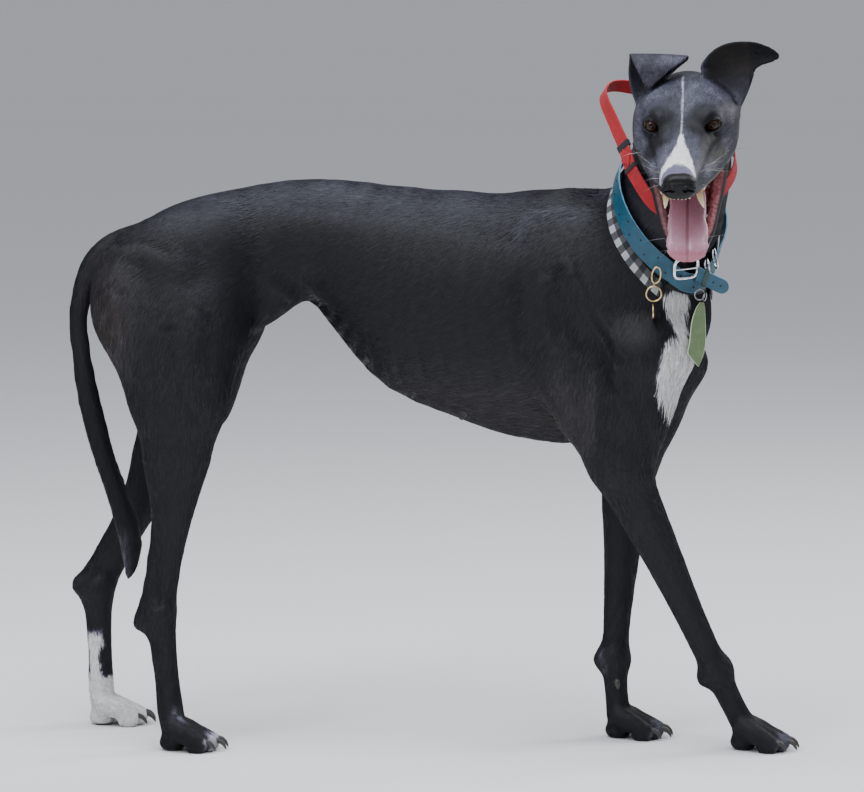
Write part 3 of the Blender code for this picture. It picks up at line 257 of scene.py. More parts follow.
def skin_net(field, lo, hi, step, coarse=4):
    """Net of four-sided faces on the zero surface of a field."""
    lo = arr(lo)
    n = np.ceil((arr(hi) - lo) / step / coarse).astype(int)
    axes = [lo[i] + (np.arange(n[i]) + 0.5 - 0.5 / coarse) * coarse * step for i in range(3)]
    middle = np.stack(np.meshgrid(*axes, indexing='ij'), -1).reshape(-1, 3)
    d = field(middle)
    keep = np.abs(d) < coarse * step * 1.25 + 0.004
    value = np.where(d < 0, -1.0, 1.0).astype(np.float32).reshape(n)
    value = value.repeat(coarse, 0).repeat(coarse, 1).repeat(coarse, 2)
    base = np.stack(np.unravel_index(np.nonzero(keep)[0], n), 1) * coarse
    part = np.stack(np.meshgrid(*[np.arange(coarse)] * 3, indexing='ij'), -1).reshape(-1, 3)
    idx = (base[:, None, :] + part[None]).reshape(-1, 3)
    value[tuple(idx.T)] = field(lo + idx * step)
    value[value == 0] = 1e-7
    inside = value < 0
    count = np.zeros(tuple(np.array(inside.shape) - 1), np.uint8)
    nx, ny, nz = count.shape
    for a in (0, 1):
        for b in (0, 1):
            for c in (0, 1):
                count += inside[a:nx + a, b:ny + b, c:nz + c]
    active = (count > 0) & (count < 8)
    cells = np.stack(np.nonzero(active), 1)
    number = np.full(active.shape, -1, np.int32)
    number[active] = np.arange(len(cells))
    total, hits = np.zeros((len(cells), 3)), np.zeros(len(cells))
    faces = []
    for axis in range(3):
        o1, o2 = ((1, 2), (2, 0), (0, 1))[axis]
        for a in (0, 1):
            for b in (0, 1):
                start = np.zeros(3, int)
                start[o1], start[o2] = a, b
                end = start.copy()
                end[axis] = 1
                va, vb = value[tuple((cells + start).T)], value[tuple((cells + end).T)]
                m = (va < 0) != (vb < 0)
                p = (cells + start)[m].astype(float)
                p[:, axis] += va[m] / (va[m] - vb[m])
                total[m] += p
                hits[m] += 1
        first = inside[:-1, :-1, :-1]
        ahead = [slice(0, -1)] * 3
        ahead[axis] = slice(1, None)
        change = first != inside[tuple(ahead)]
        for o in (o1, o2):
            edge = [slice(None)] * 3
            edge[o] = slice(0, 1)
            change[tuple(edge)] = False
        at = np.stack(np.nonzero(change), 1)
        quad = []
        for da, db in ((0, 0), (-1, 0), (-1, -1), (0, -1)):
            j = at.copy()
            j[:, o1] += da
            j[:, o2] += db
            quad.append(number[tuple(j.T)])
        quad = np.stack(quad, 1)
        flip = ~first[tuple(at.T)]
        quad[flip] = quad[flip][:, ::-1]
        faces.append(quad)
    return lo + total / hits[:, None] * step, np.concatenate(faces)


def mesh_object(name, verts, faces, material=None):
    """Smooth-shaded mesh in the scene."""
    mesh = bpy.data.meshes.new(name)
    if isinstance(faces, np.ndarray):
        verts, faces = np.asarray(verts, np.float32), np.asarray(faces, np.int32)
        count, corners = faces.shape
        mesh.vertices.add(len(verts))
        mesh.vertices.foreach_set("co", verts.ravel())
        mesh.loops.add(count * corners)
        mesh.loops.foreach_set("vertex_index", faces.ravel())
        mesh.polygons.add(count)
        mesh.polygons.foreach_set("loop_start", np.arange(count, dtype=np.int32) * corners)
        mesh.update(calc_edges=True)
    else:
        mesh.from_pydata([tuple(v) for v in verts], [], [tuple(int(i) for i in f) for f in faces])
        mesh.update()
    mesh.polygons.foreach_set("use_smooth", np.ones(len(mesh.polygons), bool))
    if material is not None:
        mesh.materials.append(material)
    obj = bpy.data.objects.new(name, mesh)
    bpy.context.scene.collection.objects.link(obj)
    return obj


def mesh_points(mesh):
    out = np.empty(len(mesh.vertices) * 3, np.float32)
    mesh.vertices.foreach_get("co", out)
    return out.reshape(-1, 3).astype(float)


def mesh_faces(mesh):
    """Corners of each triangle."""
    out = np.empty(len(mesh.polygons) * 3, np.int32)
    mesh.polygons.foreach_get("vertices", out)
    return out.reshape(-1, 3)


def mesh_normals(mesh):
    out = np.empty(len(mesh.vertices) * 3, np.float32)
    mesh.vertices.foreach_get("normal", out)
    return out.reshape(-1, 3).astype(float)


def set_points(mesh, points):
    mesh.vertices.foreach_set("co", np.asarray(points, np.float32).ravel())
    mesh.update()


def with_modifiers(obj):
    """The object, with what its modifiers make as its own mesh."""
    graph = bpy.context.evaluated_depsgraph_get()
    mesh = bpy.data.meshes.new_from_object(obj.evaluated_get(graph))
    obj.modifiers.clear()
    obj.data = mesh
    return obj


def drawn_in(points, faces, field, most):
    """Points of a net moved onto the zero surface of a field, by so much at the most."""
    rough = mesh_object("rough", points, faces)
    ways = mesh_normals(rough.data)
    bpy.data.objects.remove(rough)
    return points - ways * np.clip(field(points), -most, most)[:, None]


def note(mesh, name, values):
    """Store one number at each vertex under a name."""
    layer = mesh.attributes.new(name, 'FLOAT', 'POINT')
    layer.data.foreach_set("value", np.asarray(values, np.float32))


# The head's own directions: forward, left and up.
_forward = arr((-math.sin(HEAD_YAW) * math.cos(HEAD_PITCH),
                -math.cos(HEAD_YAW) * math.cos(HEAD_PITCH), -math.sin(HEAD_PITCH)))
_left = unit(np.cross((0, 0, 1), _forward))
_up = np.cross(_forward, _left)
HEAD = arr([_forward,
            _left * math.cos(HEAD_ROLL) + _up * math.sin(HEAD_ROLL),
            _up * math.cos(HEAD_ROLL) - _left * math.sin(HEAD_ROLL)])


def head_point(p):
    """Place of a point given forward, left and up from the eye line."""
    return EYE_LINE + arr(p) @ HEAD


def in_head(points):
    return (arr(points) - EYE_LINE) @ HEAD.T


def head_loft(rows, k=0.012):
    rows = arr(rows)
    rows[:, :3] = rows[:, :3] @ HEAD + EYE_LINE
    return Loft(rows, side=HEAD[1], k=k)


def head_blob(c, r, k=0.012):
    """Ellipsoid in the head's directions, or one on each side."""
    both = [(c[0], s * c[1], c[2]) for s in ((1, -1) if c[1] else (1,))]
    return [Blob(head_point(p), r, HEAD, k) for p in both]


def jaw_point(p):
    """Head place of a point given as if the jaw were shut."""
    f, u = p[0] - JAW_HINGE[0], p[2] - JAW_HINGE[1]
    c, s = math.cos(JAW_OPEN), math.sin(JAW_OPEN)
    return (JAW_HINGE[0] + f * c + u * s, p[1] + max(f, 0) * 0.03, JAW_HINGE[1] - f * s + u * c)


def in_jaw(h):
    """The other way: from the head's directions to the shut jaw's, for many points."""
    f, u = h[:, 0] - JAW_HINGE[0], h[:, 2] - JAW_HINGE[1]
    c, s = math.cos(JAW_OPEN), math.sin(JAW_OPEN)
    g = f * c - u * s
    return np.stack([JAW_HINGE[0] + g, h[:, 1] - np.maximum(g, 0) * 0.03, JAW_HINGE[1] + f * s + u * c], 1)


def trunk():
    rows = []
    # forward, sideways, back line, belly line, half width, share of the depth over the widest line
    for x, y, back, belly, half, share in (
            (-0.395, 0.000, 0.618, 0.540, 0.028, 0.50),
            (-0.360, 0.000, 0.645, 0.500, 0.046, 0.50),
            (-0.300, 0.000, 0.677, 0.490, 0.058, 0.50),
            (-0.240, 0.000, 0.696, 0.515, 0.062, 0.50),
            (-0.180, 0.000, 0.7055, 0.551, 0.060, 0.50),
            (-0.120, -0.003, 0.7075, 0.546, 0.066, 0.50),
            (-0.060, -0.007, 0.7055, 0.490, 0.077, 0.48),
            (0.000, -0.013, 0.698, 0.432, 0.088, 0.46),
            (0.060, -0.020, 0.691, 0.405, 0.094, 0.45),
            (0.120, -0.032, 0.688, 0.384, 0.091, 0.44),
            (0.180, -0.048, 0.685, 0.378, 0.082, 0.43),
            (0.235, -0.068, 0.660, 0.385, 0.070, 0.43),
            (0.280, -0.086, 0.620, 0.410, 0.062, 0.45),
            (0.305, -0.098, 0.570, 0.450, 0.042, 0.50)):
        up = (back - belly) * share
        rows.append((x, y, back - up, up, (back - belly) - up, half))
    return Loft(rows, k=0.02, cap=0.6)


def neck():
    return Loft(((0.150, -0.030, 0.590, 0.090, 0.110, 0.074),
                 (0.230, -0.055, 0.612, 0.078, 0.095, 0.071),
                 (0.2785, -0.085, 0.652, 0.068, 0.077, 0.0715),
                 (0.296, -0.122, 0.700, 0.063, 0.064, 0.066),
                 (0.3025, -0.163, 0.742, 0.058, 0.057, 0.060),
                 (0.303, -0.205, 0.768, 0.048, 0.052, 0.051)), k=0.045)


TAIL_LINE = ((-0.375, 0.622, .026), (-0.402, 0.616, .020), (-0.424, 0.596, .0165),
             (-0.437, 0.566, .0135), (-0.443, 0.530, .0120), (-0.440, 0.485, .0125),
             (-0.433, 0.440, .0138), (-0.424, 0.400, .0142), (-0.412, 0.355, .0132),
             (-0.398, 0.315, .0135), (-0.385, 0.275, .0150), (-0.379, 0.240, .0130),
             (-0.381, 0.214, .0080), (-0.383, 0.203, .0040))


def tail():
    return Loft([(x, 0.004 if z < 0.5 else 0.0, z, r, r, r * 0.85) for x, z, r in TAIL_LINE],
                side=(0, 1, 0), k=0.015)


# Girths along a bone: share of its length, front, back, half width.
THIGH = ((0.00, .060, .062, .040), (0.25, .066, .088, .046), (0.5, .062, .092, .046),
         (0.75, .054, .086, .041), (1.0, .044, .086, .036))
SHANK = ((0.00, .044, .082, .034), (0.2, .037, .062, .031), (0.4, .028, .041, .0265),
         (0.6, .021, .026, .0215), (0.8, .018, .019, .017), (1.0, .020, .019, .018))
HIND_CANNON = ((0.0, .019, .022, .0175), (0.3, .0165, .018, .0155), (0.6, .015, .0165, .015),
               (0.85, .016, .018, .018), (1.0, .016, .016, .020))
UPPER_ARM = ((0.0, .045, .045, .034), (0.5, .046, .050, .036), (1.0, .036, .038, .031))
FOREARM = ((0.0, .033, .036, .028), (0.2, .029, .031, .026), (0.45, .024, .024, .0215),
           (0.7, .019, .0195, .018), (0.9, .0175, .0175, .0175), (1.0, .018, .018, .0185))
FORE_CANNON = ((0.0, .018, .018, .019), (0.35, .0155, .016, .0175), (0.7, .0145, .0155, .0175),
               (1.0, .016, .016, .020))

# Joints of each leg, and the heading of its foot in degrees.
HIND_RIGHT = dict(top=(-0.318, -0.048, 0.598), mid=(-0.296, -0.090, 0.432),
                  low=(-0.338, -0.080, 0.172), ball=(-0.322, -0.088, 0.030),
                  heel=(-0.362, -0.080, 0.158), out=-1, foot=-6)
HIND_LEFT = dict(top=(-0.305, 0.048, 0.598), mid=(-0.296, 0.088, 0.424), low=(-0.428, 0.088, 0.178),
                 ball=(-0.424, 0.095, 0.030), heel=(-0.453, 0.088, 0.182), out=1, foot=4)
FORE_RIGHT = dict(top=(0.268, -0.136, 0.500), mid=(0.232, -0.132, 0.358), low=(0.353, -0.092, 0.098),
                  ball=(0.388, -0.085, 0.030), withers=(0.166, -0.070, 0.660), out=-1, foot=-14)
FORE_LEFT = dict(top=(0.290, -0.030, 0.480), mid=(0.248, 0.018, 0.350), low=(0.230, 0.000, 0.098),
                 ball=(0.236, 0.000, 0.030), withers=(0.186, -0.018, 0.660), out=1, foot=-10)


def bone(a, b, girths, side, k):
    a, b = arr(a), arr(b)
    return Loft([tuple(a + (b - a) * t) + (f, r, w) for t, f, r, w in girths], side=side, k=k)


def hind_leg(leg):
    hip, knee, hock, ball, heel = (arr(leg[n]) for n in ('top', 'mid', 'low', 'ball', 'heel'))
    out, side = leg['out'], unit((0.05, 1, 0))
    mid = knee + (hock - knee) * 0.45
    parts = [bone(hip, knee, THIGH, side, 0.03), bone(knee, hock, SHANK, side, 0.025),
             bone(hock, ball, HIND_CANNON, side, 0.012),
             bone(heel, hock + (ball - hock) * 0.15, ((0, .008, .008, .009), (1, .012, .012, .013)),
                  side, 0.012),
             bone(mid + arr((-0.012, 0, 0)), heel,
                  ((0, .014, .014, .012), (0.7, .0075, .0075, .007), (1, .0085, .0085, .0085)), side, 0.010),
             Blob(knee + arr((0.022, 0, 0.006)), (0.024, 0.026, 0.036), k=0.025)]
    for s in (1, -1):
        parts.append(Blob(hock + arr((0.003, s * 0.013, 0.002)), (0.012, 0.008, 0.013), k=0.010))
    # haunch, buttock and front of the thigh
    for base, off, radii, lean in (
            (hip, (-0.048, -0.002, -0.045), (0.058, 0.040, 0.085), 0.05),
            (hip, (0.006, -0.006, 0.012), (0.075, 0.038, 0.058), 0.25),
            (hip, (0.048, -0.002, -0.045), (0.042, 0.030, 0.085), 0.30),
            (hip * 0.45 + knee * 0.55, (0.034, -0.006, 0.0), (0.030, 0.024, 0.080), 0.16),
            (hip * 0.35 + knee * 0.65, (-0.052, 0, 0.012), (0.036, 0.027, 0.095), 0.28)):
        centre = base + arr((off[0], out * off[1], off[2]))
        parts.append(Blob(centre, radii, along((1, 0, lean)), k=0.03))
    return parts


def fore_leg(leg):
    top, elbow, wrist, ball, withers = (arr(leg[n]) for n in ('top', 'mid', 'low', 'ball', 'withers'))
    side = unit((0.1, 1, 0))
    flat = (math.sin(CHEST_YAW), -math.cos(CHEST_YAW), 0)
    back = unit(np.cross(side, wrist - elbow))
    back = back * (-1 if back[0] > 0 else 1)
    return [bone(top, elbow, UPPER_ARM, side, 0.03), bone(elbow, wrist, FOREARM, side, 0.02),
            bone(wrist, ball, FORE_CANNON, side, 0.012),
            Blob(elbow + arr((-0.026, 0, 0.014)), (0.016, 0.014, 0.020), k=0.018),
            Blob(wrist + back * 0.016, (0.0105, 0.0105, 0.0125), k=0.008),
            Blob(wrist + arr((0, 0, 0.004)), (0.019, 0.0205, 0.020), k=0.01),
            # shoulder blade, point of the shoulder, triceps
            Blob((withers + top) / 2, (0.125, 0.052, 0.026), along(top - withers, flat), k=0.03),
            Blob(top, (0.050, 0.040, 0.036), k=0.03),
            Blob(withers * 0.35 + elbow * 0.65 + arr((-0.028, 0, -0.005)), (0.088, 0.048, 0.030),
                 along(elbow - withers + arr((0.02, 0, 0)), flat), k=0.03)]


TOES = ((-0.0215, 0.038), (-0.0078, 0.049), (0.0078, 0.049), (0.0215, 0.038))   # sideways, length


def foot_ways(leg):
    """Ball of a foot, and the ways ahead and to its left."""
    a = math.radians(leg['foot'])
    ahead = arr((math.cos(a), math.sin(a), 0))
    return arr(leg['ball']), ahead, arr((-ahead[1], ahead[0], 0))


def foot(leg):
    b, ahead, left = foot_ways(leg)
    parts = []
    for lateral, length in TOES:
        root = b + left * lateral * 0.75
        root[2] = max(b[2], 0.024)
        knuckle = b + ahead * length * 0.42 + left * lateral
        knuckle[2] = 0.0235
        tip = b + ahead * length + left * lateral * 1.08
        tip[2] = 0.0112
        toe = (tuple(root) + (.0135, .0135, .0105), tuple(knuckle) + (.0125, .0135, .0098),
               tuple(tip) + (.0105, .0112, .0092))
        parts.append(Loft(toe, side=left, sub=2, k=0.006))
        pad = b + ahead * length * 0.86 + left * lateral * 1.06
        pad[2] = 0.0065
        parts.append(Blob(pad, (0.0135, 0.0085, 0.0095), along(ahead), k=0.004))
    pad = b.copy()
    pad[2] = 0.0095
    parts.append(Blob(pad, (0.0175, 0.019, 0.0125), along(ahead), k=0.010))
    return parts


def skull():
    parts = head_blob((-0.055, 0, -0.001), (0.062, 0.046, 0.037))
    parts += head_blob((-0.092, 0, -0.010), (0.038, 0.041, 0.034), 0.02)
    parts += head_blob((-0.042, 0.038, -0.012), (0.046, 0.0255, 0.031), 0.02)      # cheek bones
    parts += head_blob((-0.022, 0.036, -0.034), (0.044, 0.0215, 0.024), 0.02)      # cheeks
    parts += head_blob((-0.004, 0.026, 0.011), (0.024, 0.016, 0.013), 0.015)       # brows
    parts.append(head_loft(((-0.010, 0, -0.010, .024, .034, .040), (0.030, 0, -0.014, .0195, .029, .0360),
                            (0.065, 0, -0.019, .0160, .024, .0300), (0.100, 0, -0.023, .0145, .020, .0250),
                            (0.122, 0, -0.025, .0135, .0175, .0215)), k=0.02))
    for s in (1, -1):                                                              # upper lips
        parts.append(head_loft(((-0.012, s * 0.043, -0.036, .016, .016, .012),
                                (0.020, s * 0.0405, -0.037, .014, .014, .0115),
                                (0.055, s * 0.0330, -0.037, .012, .0125, .0105),
                                (0.085, s * 0.0235, -0.037, .011, .0115, .0100),
                                (0.112, s * 0.0130, -0.037, .010, .0105, .0090)), k=0.010))
    parts += head_blob((0.1305, 0, -0.0265), (0.0125, 0.0195, 0.0155), 0.006)
    parts += head_blob((0.0315, 0.0105, 0.0030), (0.0022, 0.0022, 0.0022), 0.002)   # whisker moles
    return parts


def jaw():
    parts = [head_loft([jaw_point((f, 0, u)) + (up, down, half) for f, u, up, down, half in (
        (-0.045, -0.050, .012, .022, .034), (-0.005, -0.055, .012, .020, .0335),
        (0.035, -0.057, .012, .0165, .0305), (0.075, -0.058, .011, .014, .0260),
        (0.104, -0.057, .010, .0115, .0205))], k=0.012)]
    for s in (1, -1):                                                              # lower lips
        parts.append(head_loft([jaw_point((f, s * l, u)) + (r, r, r) for f, l, u, r in (
            (-0.02, .0400, -0.038, .011), (0.015, .0365, -0.044, .0095), (0.05, .0305, -0.048, .0085),
            (0.085, .024, -0.050, .0075), (0.110, .012, -0.051, .0070))], k=0.008))
    return parts


# Rows of an ear: forward, left, up of its middle line; direction across; half width; cup depth.
EAR_LEFT = ((-.056, .036, .004, 0, .85, -.52, .024, .010), (-.064, .044, .021, 0, .83, -.55, .0285, .013),
            (-.071, .050, .040, 0, .95, -.30, .030, .014), (-.075, .062, .053, 0, .75, -.66, .0235, .010),
            (-.074, .084, .0580, 0, .30, -.95, .0150, .005), (-.071, .101, .0580, 0, .15, -.98, .0085, .002),
            (-.069, .1105, .0570, 0, .1, -.99, .0020, .000))
EAR_RIGHT = ((-.058, -.036, .000, 0, .80, .60, .0190, .008), (-.064, -.0425, .016, 0, .80, .60, .0215, .010),
             (-.073, -.040, .036, 0, .97, .20, .0280, .010), (-.074, -.0325, .053, 0, 1, -.03, .0335, .006),
             (-.067, -.0315, .0610, 0, 1, -.05, .0340, .002), (-.058, -.0325, .0570, 0, 1, -.03, .0290, .000),
             (-.051, -.0385, .0450, 0, 1, 0, .0160, -.002), (-.0455, -.0440, .0285, 0, 1, 0, .0020, .000))


def ear_grid(rows, sub, across):
    """Points of an ear's middle layer, row by row from root to tip."""
    out = []
    for row in spline(rows, sub):
        c, a = row[:3], unit(row[3:6])
        out.append([head_point(c + a * row[6] * t + arr((-row[7] * (1 - t * t), 0, 0)))
                    for t in np.linspace(-1, 1, across)])
    return arr(out)


class Ear:
    """Thin flap of cartilage and skin, thick at its root, where it grows out of the head."""

    def __init__(self, rows, sub=8, across=17):
        grid = ear_grid(rows, sub, across)
        self.n, self.m = grid.shape[:2]
        self.points = grid.reshape(-1, 3)
        quads = [(i * self.m + j, i * self.m + j + 1, (i + 1) * self.m + j + 1, (i + 1) * self.m + j)
                 for i in range(self.n - 1) for j in range(self.m - 1)]
        self.tree = BVHTree.FromPolygons([tuple(p) for p in self.points], quads)
        self.lo, self.hi = self.points.min(0) - 0.003, self.points.max(0) + 0.003
        self.k = 0.002

    def look(self, pts):
        """Distance, share of the way to the tip, side and share across, for each point."""
        out = np.empty((len(pts), 4))
        for i, p in enumerate(pts):
            place, normal, index, distance = self.tree.find_nearest(Vector(p))
            row, col = divmod(index, self.m - 1)
            side = normal.dot(Vector(p) - place)
            out[i] = distance, row / (self.n - 2), math.copysign(1, side), (col + 0.5) / (self.m - 1) * 2 - 1
        return out

    def __call__(self, pts):
        gap = np.maximum(np.maximum(self.lo - pts, pts - self.hi), 0)
        far = np.sqrt((gap * gap).sum(1))
        out = far + 0.004
        self.k = np.full(len(pts), 0.0015)
        near = np.nonzero(far < 0.009)[0]
        if len(near):
            seen = self.look(pts[near])
            t = seen[:, 1]
            half = 0.0021 - 0.0012 * np.clip(t * 1.6, 0, 1) + 0.0020 * np.clip(1 - t * 6, 0, 1)
            out[near] = seen[:, 0] - half
            self.k[near] = 0.0015 + 0.0120 * np.clip(1 - t * 5, 0, 1)
        return out


def eye_ways(side):
    """Middle of an eye, and the way it looks, out and up."""
    seat = arr(EYE_SEATS[side])
    s = 1 if seat[1] > 0 else -1
    look = unit((0.975, s * 0.14, 0.03))
    out = unit(arr((0, s, 0.10)) - look * (look @ arr((0, s, 0.10))))
    up = np.cross(look, out) * s
    return seat, look, out, up


LID_HALF = 0.0107           # half the length of the slit
LID_UP, LID_DOWN = 0.0073, 0.0063


def lid_line(side):
    """Points of the lids' edge, on the ball, in the head's directions."""
    seat, look, out, up = eye_ways(side)
    line = []
    for t in np.linspace(0, 2 * math.pi, 40, endpoint=False):
        b, h = math.cos(t) * LID_HALF, math.sin(t)
        h = h * (LID_UP if h > 0 else LID_DOWN)
        deep = math.sqrt(max((EYE_RADIUS + 0.0004) ** 2 - b * b - h * h, 1e-9))
        line.append(seat + look * deep + out * b + up * h)
    return arr(line)


def eye_room(h):
    """Distance into the open slit in front of each eye, for points in the head's directions."""
    best = np.full(len(h), -1.0)
    for side in EYE_SEATS:
        seat, look, out, up = eye_ways(side)
        q = h - seat
        a, b, c = q @ look, q @ out, q @ up
        k = np.sqrt((b / LID_HALF) ** 2 + (c / np.where(c > 0, LID_UP, LID_DOWN)) ** 2)
        n = np.sqrt(b * b + c * c)
        depth = np.minimum(n / np.maximum(k, 1e-6) - n, a - 0.001)
        best = np.maximum(best, depth)
    return best


class Lids:
    """Lids: a shell over each ball with a rolled edge round the slit."""

    def __init__(self, side):
        self.seat = head_point(EYE_SEATS[side])
        self.line = arr([head_point(p) for p in lid_line(side)])
        self.lo, self.hi = self.seat - 0.016, self.seat + 0.016
        self.k = 0.005

    def __call__(self, pts):
        q = np.linalg.norm(pts - self.seat, axis=1)
        out = q - EYE_RADIUS - 0.0016
        near = np.nonzero(np.abs(out) < 0.006)[0]
        if len(near):
            rim = np.full(len(near), 1.0)
            for p in self.line:
                rim = np.minimum(rim, np.linalg.norm(pts[near] - p, axis=1))
            out[near] = blend(out[near], rim - 0.00165, 0.001)
        return out


LEGS = (HIND_RIGHT, HIND_LEFT, FORE_RIGHT, FORE_LEFT)
body_parts = [trunk(), neck()]
for leg in (FORE_RIGHT, FORE_LEFT):
    body_parts += fore_leg(leg)
for leg in (HIND_RIGHT, HIND_LEFT):
    body_parts += hind_leg(leg)
for leg in LEGS:
    body_parts += foot(leg)
body_parts.append(tail())
head_parts = skull() + jaw()
ears = {"left": Ear(EAR_LEFT), "right": Ear(EAR_RIGHT)}
lids = [Lids("left"), Lids("right")]
whole = union(body_parts + head_parts)
whole_head = union(body_parts[:2] + head_parts + lids)


def body_field(pts):
    return whole(pts) + COAT_DEPTH


def head_field(pts):
    d = whole_head(pts) + COAT_DEPTH * 0.6
    h = in_head(pts)
    near = np.nonzero(np.abs(h[:, 0] - 0.012) < 0.03)[0]
    if len(near):
        d[near] = np.maximum(d[near], eye_room(h[near]))
    for ear in ears.values():
        other = ear(pts)
        d = blend(d, other, ear.k)
    return d


# The hide is netted in two finenesses that meet under the collar, and sewn into one there.
SEW_PLACE = COLLAR_CENTRE + COLLAR_AXIS * 0.004


def netted(field, lo, hi, step, keep_head, faces=None):
    """The net on one side of the sewing place, thinned to so many faces where a number is given."""
    points, quads = skin_net(field, lo, hi, step)
    obj = mesh_object("net", drawn_in(points, quads, field, step * 0.7), quads)
    if faces:
        modifier = obj.modifiers.new("fewer", 'DECIMATE')
        modifier.ratio = faces / (2 * len(quads))
        with_modifiers(obj)
    bm = bmesh.new()
    bm.from_mesh(obj.data)
    way = COLLAR_AXIS if keep_head else -COLLAR_AXIS
    cuts = [(SEW_PLACE + way * 0.0008, way)] + ([] if keep_head else [((0, 0, 0), (0, 0, 1))])
    for place, facing in cuts:
        bmesh.ops.bisect_plane(bm, geom=bm.verts[:] + bm.edges[:] + bm.faces[:], dist=1e-6,
                               plane_co=place, plane_no=facing, clear_inner=True)
    if not keep_head:
        soles = [e for e in bm.edges if e.is_boundary and max(v.co.z for v in e.verts) < 1e-4]
        bmesh.ops.holes_fill(bm, edges=soles)
    bmesh.ops.triangulate(bm, faces=bm.faces)
    mesh = bpy.data.meshes.new("net")
    bm.to_mesh(mesh)
    bm.free()
    bpy.data.objects.remove(obj)
    return mesh_points(mesh), mesh_faces(mesh)


def open_rim(points, faces):
    """The net's open edge as one loop, in order round the neck."""
    edges = np.concatenate([faces[:, (0, 1)], faces[:, (1, 2)], faces[:, (2, 0)]])
    key = np.sort(edges, 1).astype(np.int64)
    key = key[:, 0] * len(points) + key[:, 1]
    _, first, count = np.unique(key, return_index=True, return_counts=True)
    rim = edges[first[count == 1]]
    rim = rim[np.abs((points[rim[:, 0]] - SEW_PLACE) @ COLLAR_AXIS) < 0.002]
    ahead = dict((int(a), int(b)) for a, b in rim)
    best = []
    left = set(ahead)
    while left:
        start = next(iter(left))
        loop, here = [], start
        while here in left:
            left.discard(here)
            loop.append(here)
            here = ahead[here]
        if len(loop) > len(best):
            best = loop
    return best


def sewn(a_points, a_faces, b_points, b_faces):
    """Join two nets with a strip of faces between their open rims."""
    side_a = unit(np.cross(COLLAR_AXIS, (0, 0, 1)))
    side_b = np.cross(COLLAR_AXIS, side_a)
    points = np.concatenate([a_points, b_points])
    rims = [open_rim(a_points, a_faces), open_rim(b_points, b_faces)]
    rims[1] = [i + len(a_points) for i in rims[1]][::-1]

    def turn(i):
        q = points[i] - SEW_PLACE
        return math.atan2(q @ side_b, q @ side_a)

    loops = []
    for rim in rims:
        angles = np.unwrap([turn(i) for i in rim])
        if angles[-1] < angles[0]:
            rim, angles = rim, -angles
        start = int(np.argmin((angles - angles[0]) % (2 * math.pi)))
        loops.append(rim[start:] + rim[:start])
    first, second = loops
    nearest = int(np.argmin([np.linalg.norm(points[i] - points[first[0]]) for i in second]))
    second = second[nearest:] + second[:nearest]
    i = j = 0
    strip = []
    n, m = len(first), len(second)
    while i < n or j < m:
        a, b = points[first[i % n]], points[second[j % m]]
        next_a, next_b = points[first[(i + 1) % n]], points[second[(j + 1) % m]]
        if j >= m or (i < n and np.linalg.norm(next_a - b) < np.linalg.norm(next_b - a)):
            strip.append((first[(i + 1) % n], first[i % n], second[j % m]))
            i += 1
        else:
            strip.append((first[i % n], second[j % m], second[(j + 1) % m]))
            j += 1
    return points, np.concatenate([a_faces, b_faces + len(a_points), arr(strip).astype(np.int32)])


HEAD_NET, HEAD_FACES, BODY_NET = 0.0013, 80000, 0.0053      # steps of the two nets in metres
head_net = netted(head_field, (0.17, -0.43, 0.56), (0.46, -0.03, 0.90), HEAD_NET, True, HEAD_FACES)
body_net = netted(body_field, (-0.50, -0.27, -0.02), (0.46, 0.20, 0.78), BODY_NET, False)
skin_points, skin_faces = sewn(*head_net, *body_net)
PAW_TOP = 0.078
skin = mesh_object("skin", skin_points, skin_faces)
bm = bmesh.new()
bm.from_mesh(skin.data)
paw_edges = [e for e in bm.edges if max(v.co.z for v in e.verts) < PAW_TOP]
bmesh.ops.subdivide_edges(bm, edges=paw_edges, cuts=1, use_grid_fill=True)
bmesh.ops.triangulate(bm, faces=bm.faces)
bm.to_mesh(skin.data)
bm.free()
skin_points, skin_faces = mesh_points(skin.data), mesh_faces(skin.data)
ties = np.concatenate([skin_faces[:, :2], skin_faces[:, 1:], skin_faces[:, ::2]])
tied = np.bincount(ties.ravel(), minlength=len(skin_points))


def eased(points, share):
    """Each point moved by its share towards the mean of its neighbours."""
    mean = np.stack([np.bincount(ties.ravel(), points[ties[:, ::-1].ravel(), k], len(points))
                     for k in range(3)], 1) / tied[:, None]
    return points + (mean - points) * share[:, None]


# Ease the body's net, but not the head or the paws: each pass in is followed by one back out.
ease = np.clip((-0.012 - (skin_points - SEW_PLACE) @ COLLAR_AXIS) / 0.02, 0, 1)
ease *= np.clip((skin_points[:, 2] - 0.09) / 0.03, 0, 1)
for step in (0.55, -0.57) * 24:
    skin_points = eased(skin_points, ease * step)
# The backs of the thighs swell less where the hamstrings run into the shank.
thigh = np.clip(1 - (np.abs(skin_points[:, 2] - 0.440) - 0.035) / 0.045, 0, 1) * (skin_points[:, 0] < -0.18)
thigh *= np.clip((np.abs(skin_points[:, 1]) - 0.019) / 0.012, 0, 1)
for _ in range(90):
    skin_points = eased(skin_points, thigh * 0.5)
set_points(skin.data, skin_points)
paw = np.nonzero((skin_points[:, 2] < PAW_TOP) & (skin_points[:, 2] > 1e-4))[0]
drop = np.clip(body_field(skin_points[paw]), -0.0025, 0.0025)
skin_points[paw] -= mesh_normals(skin.data)[paw] * drop[:, None]
skin_points[:, 2] = np.maximum(skin_points[:, 2], 0)
set_points(skin.data, skin_points)
skin_normals = mesh_normals(skin.data)
FACE_LIST = skin_faces.tolist()
hide_tree = BVHTree.FromPolygons(skin_points.tolist(), FACE_LIST)


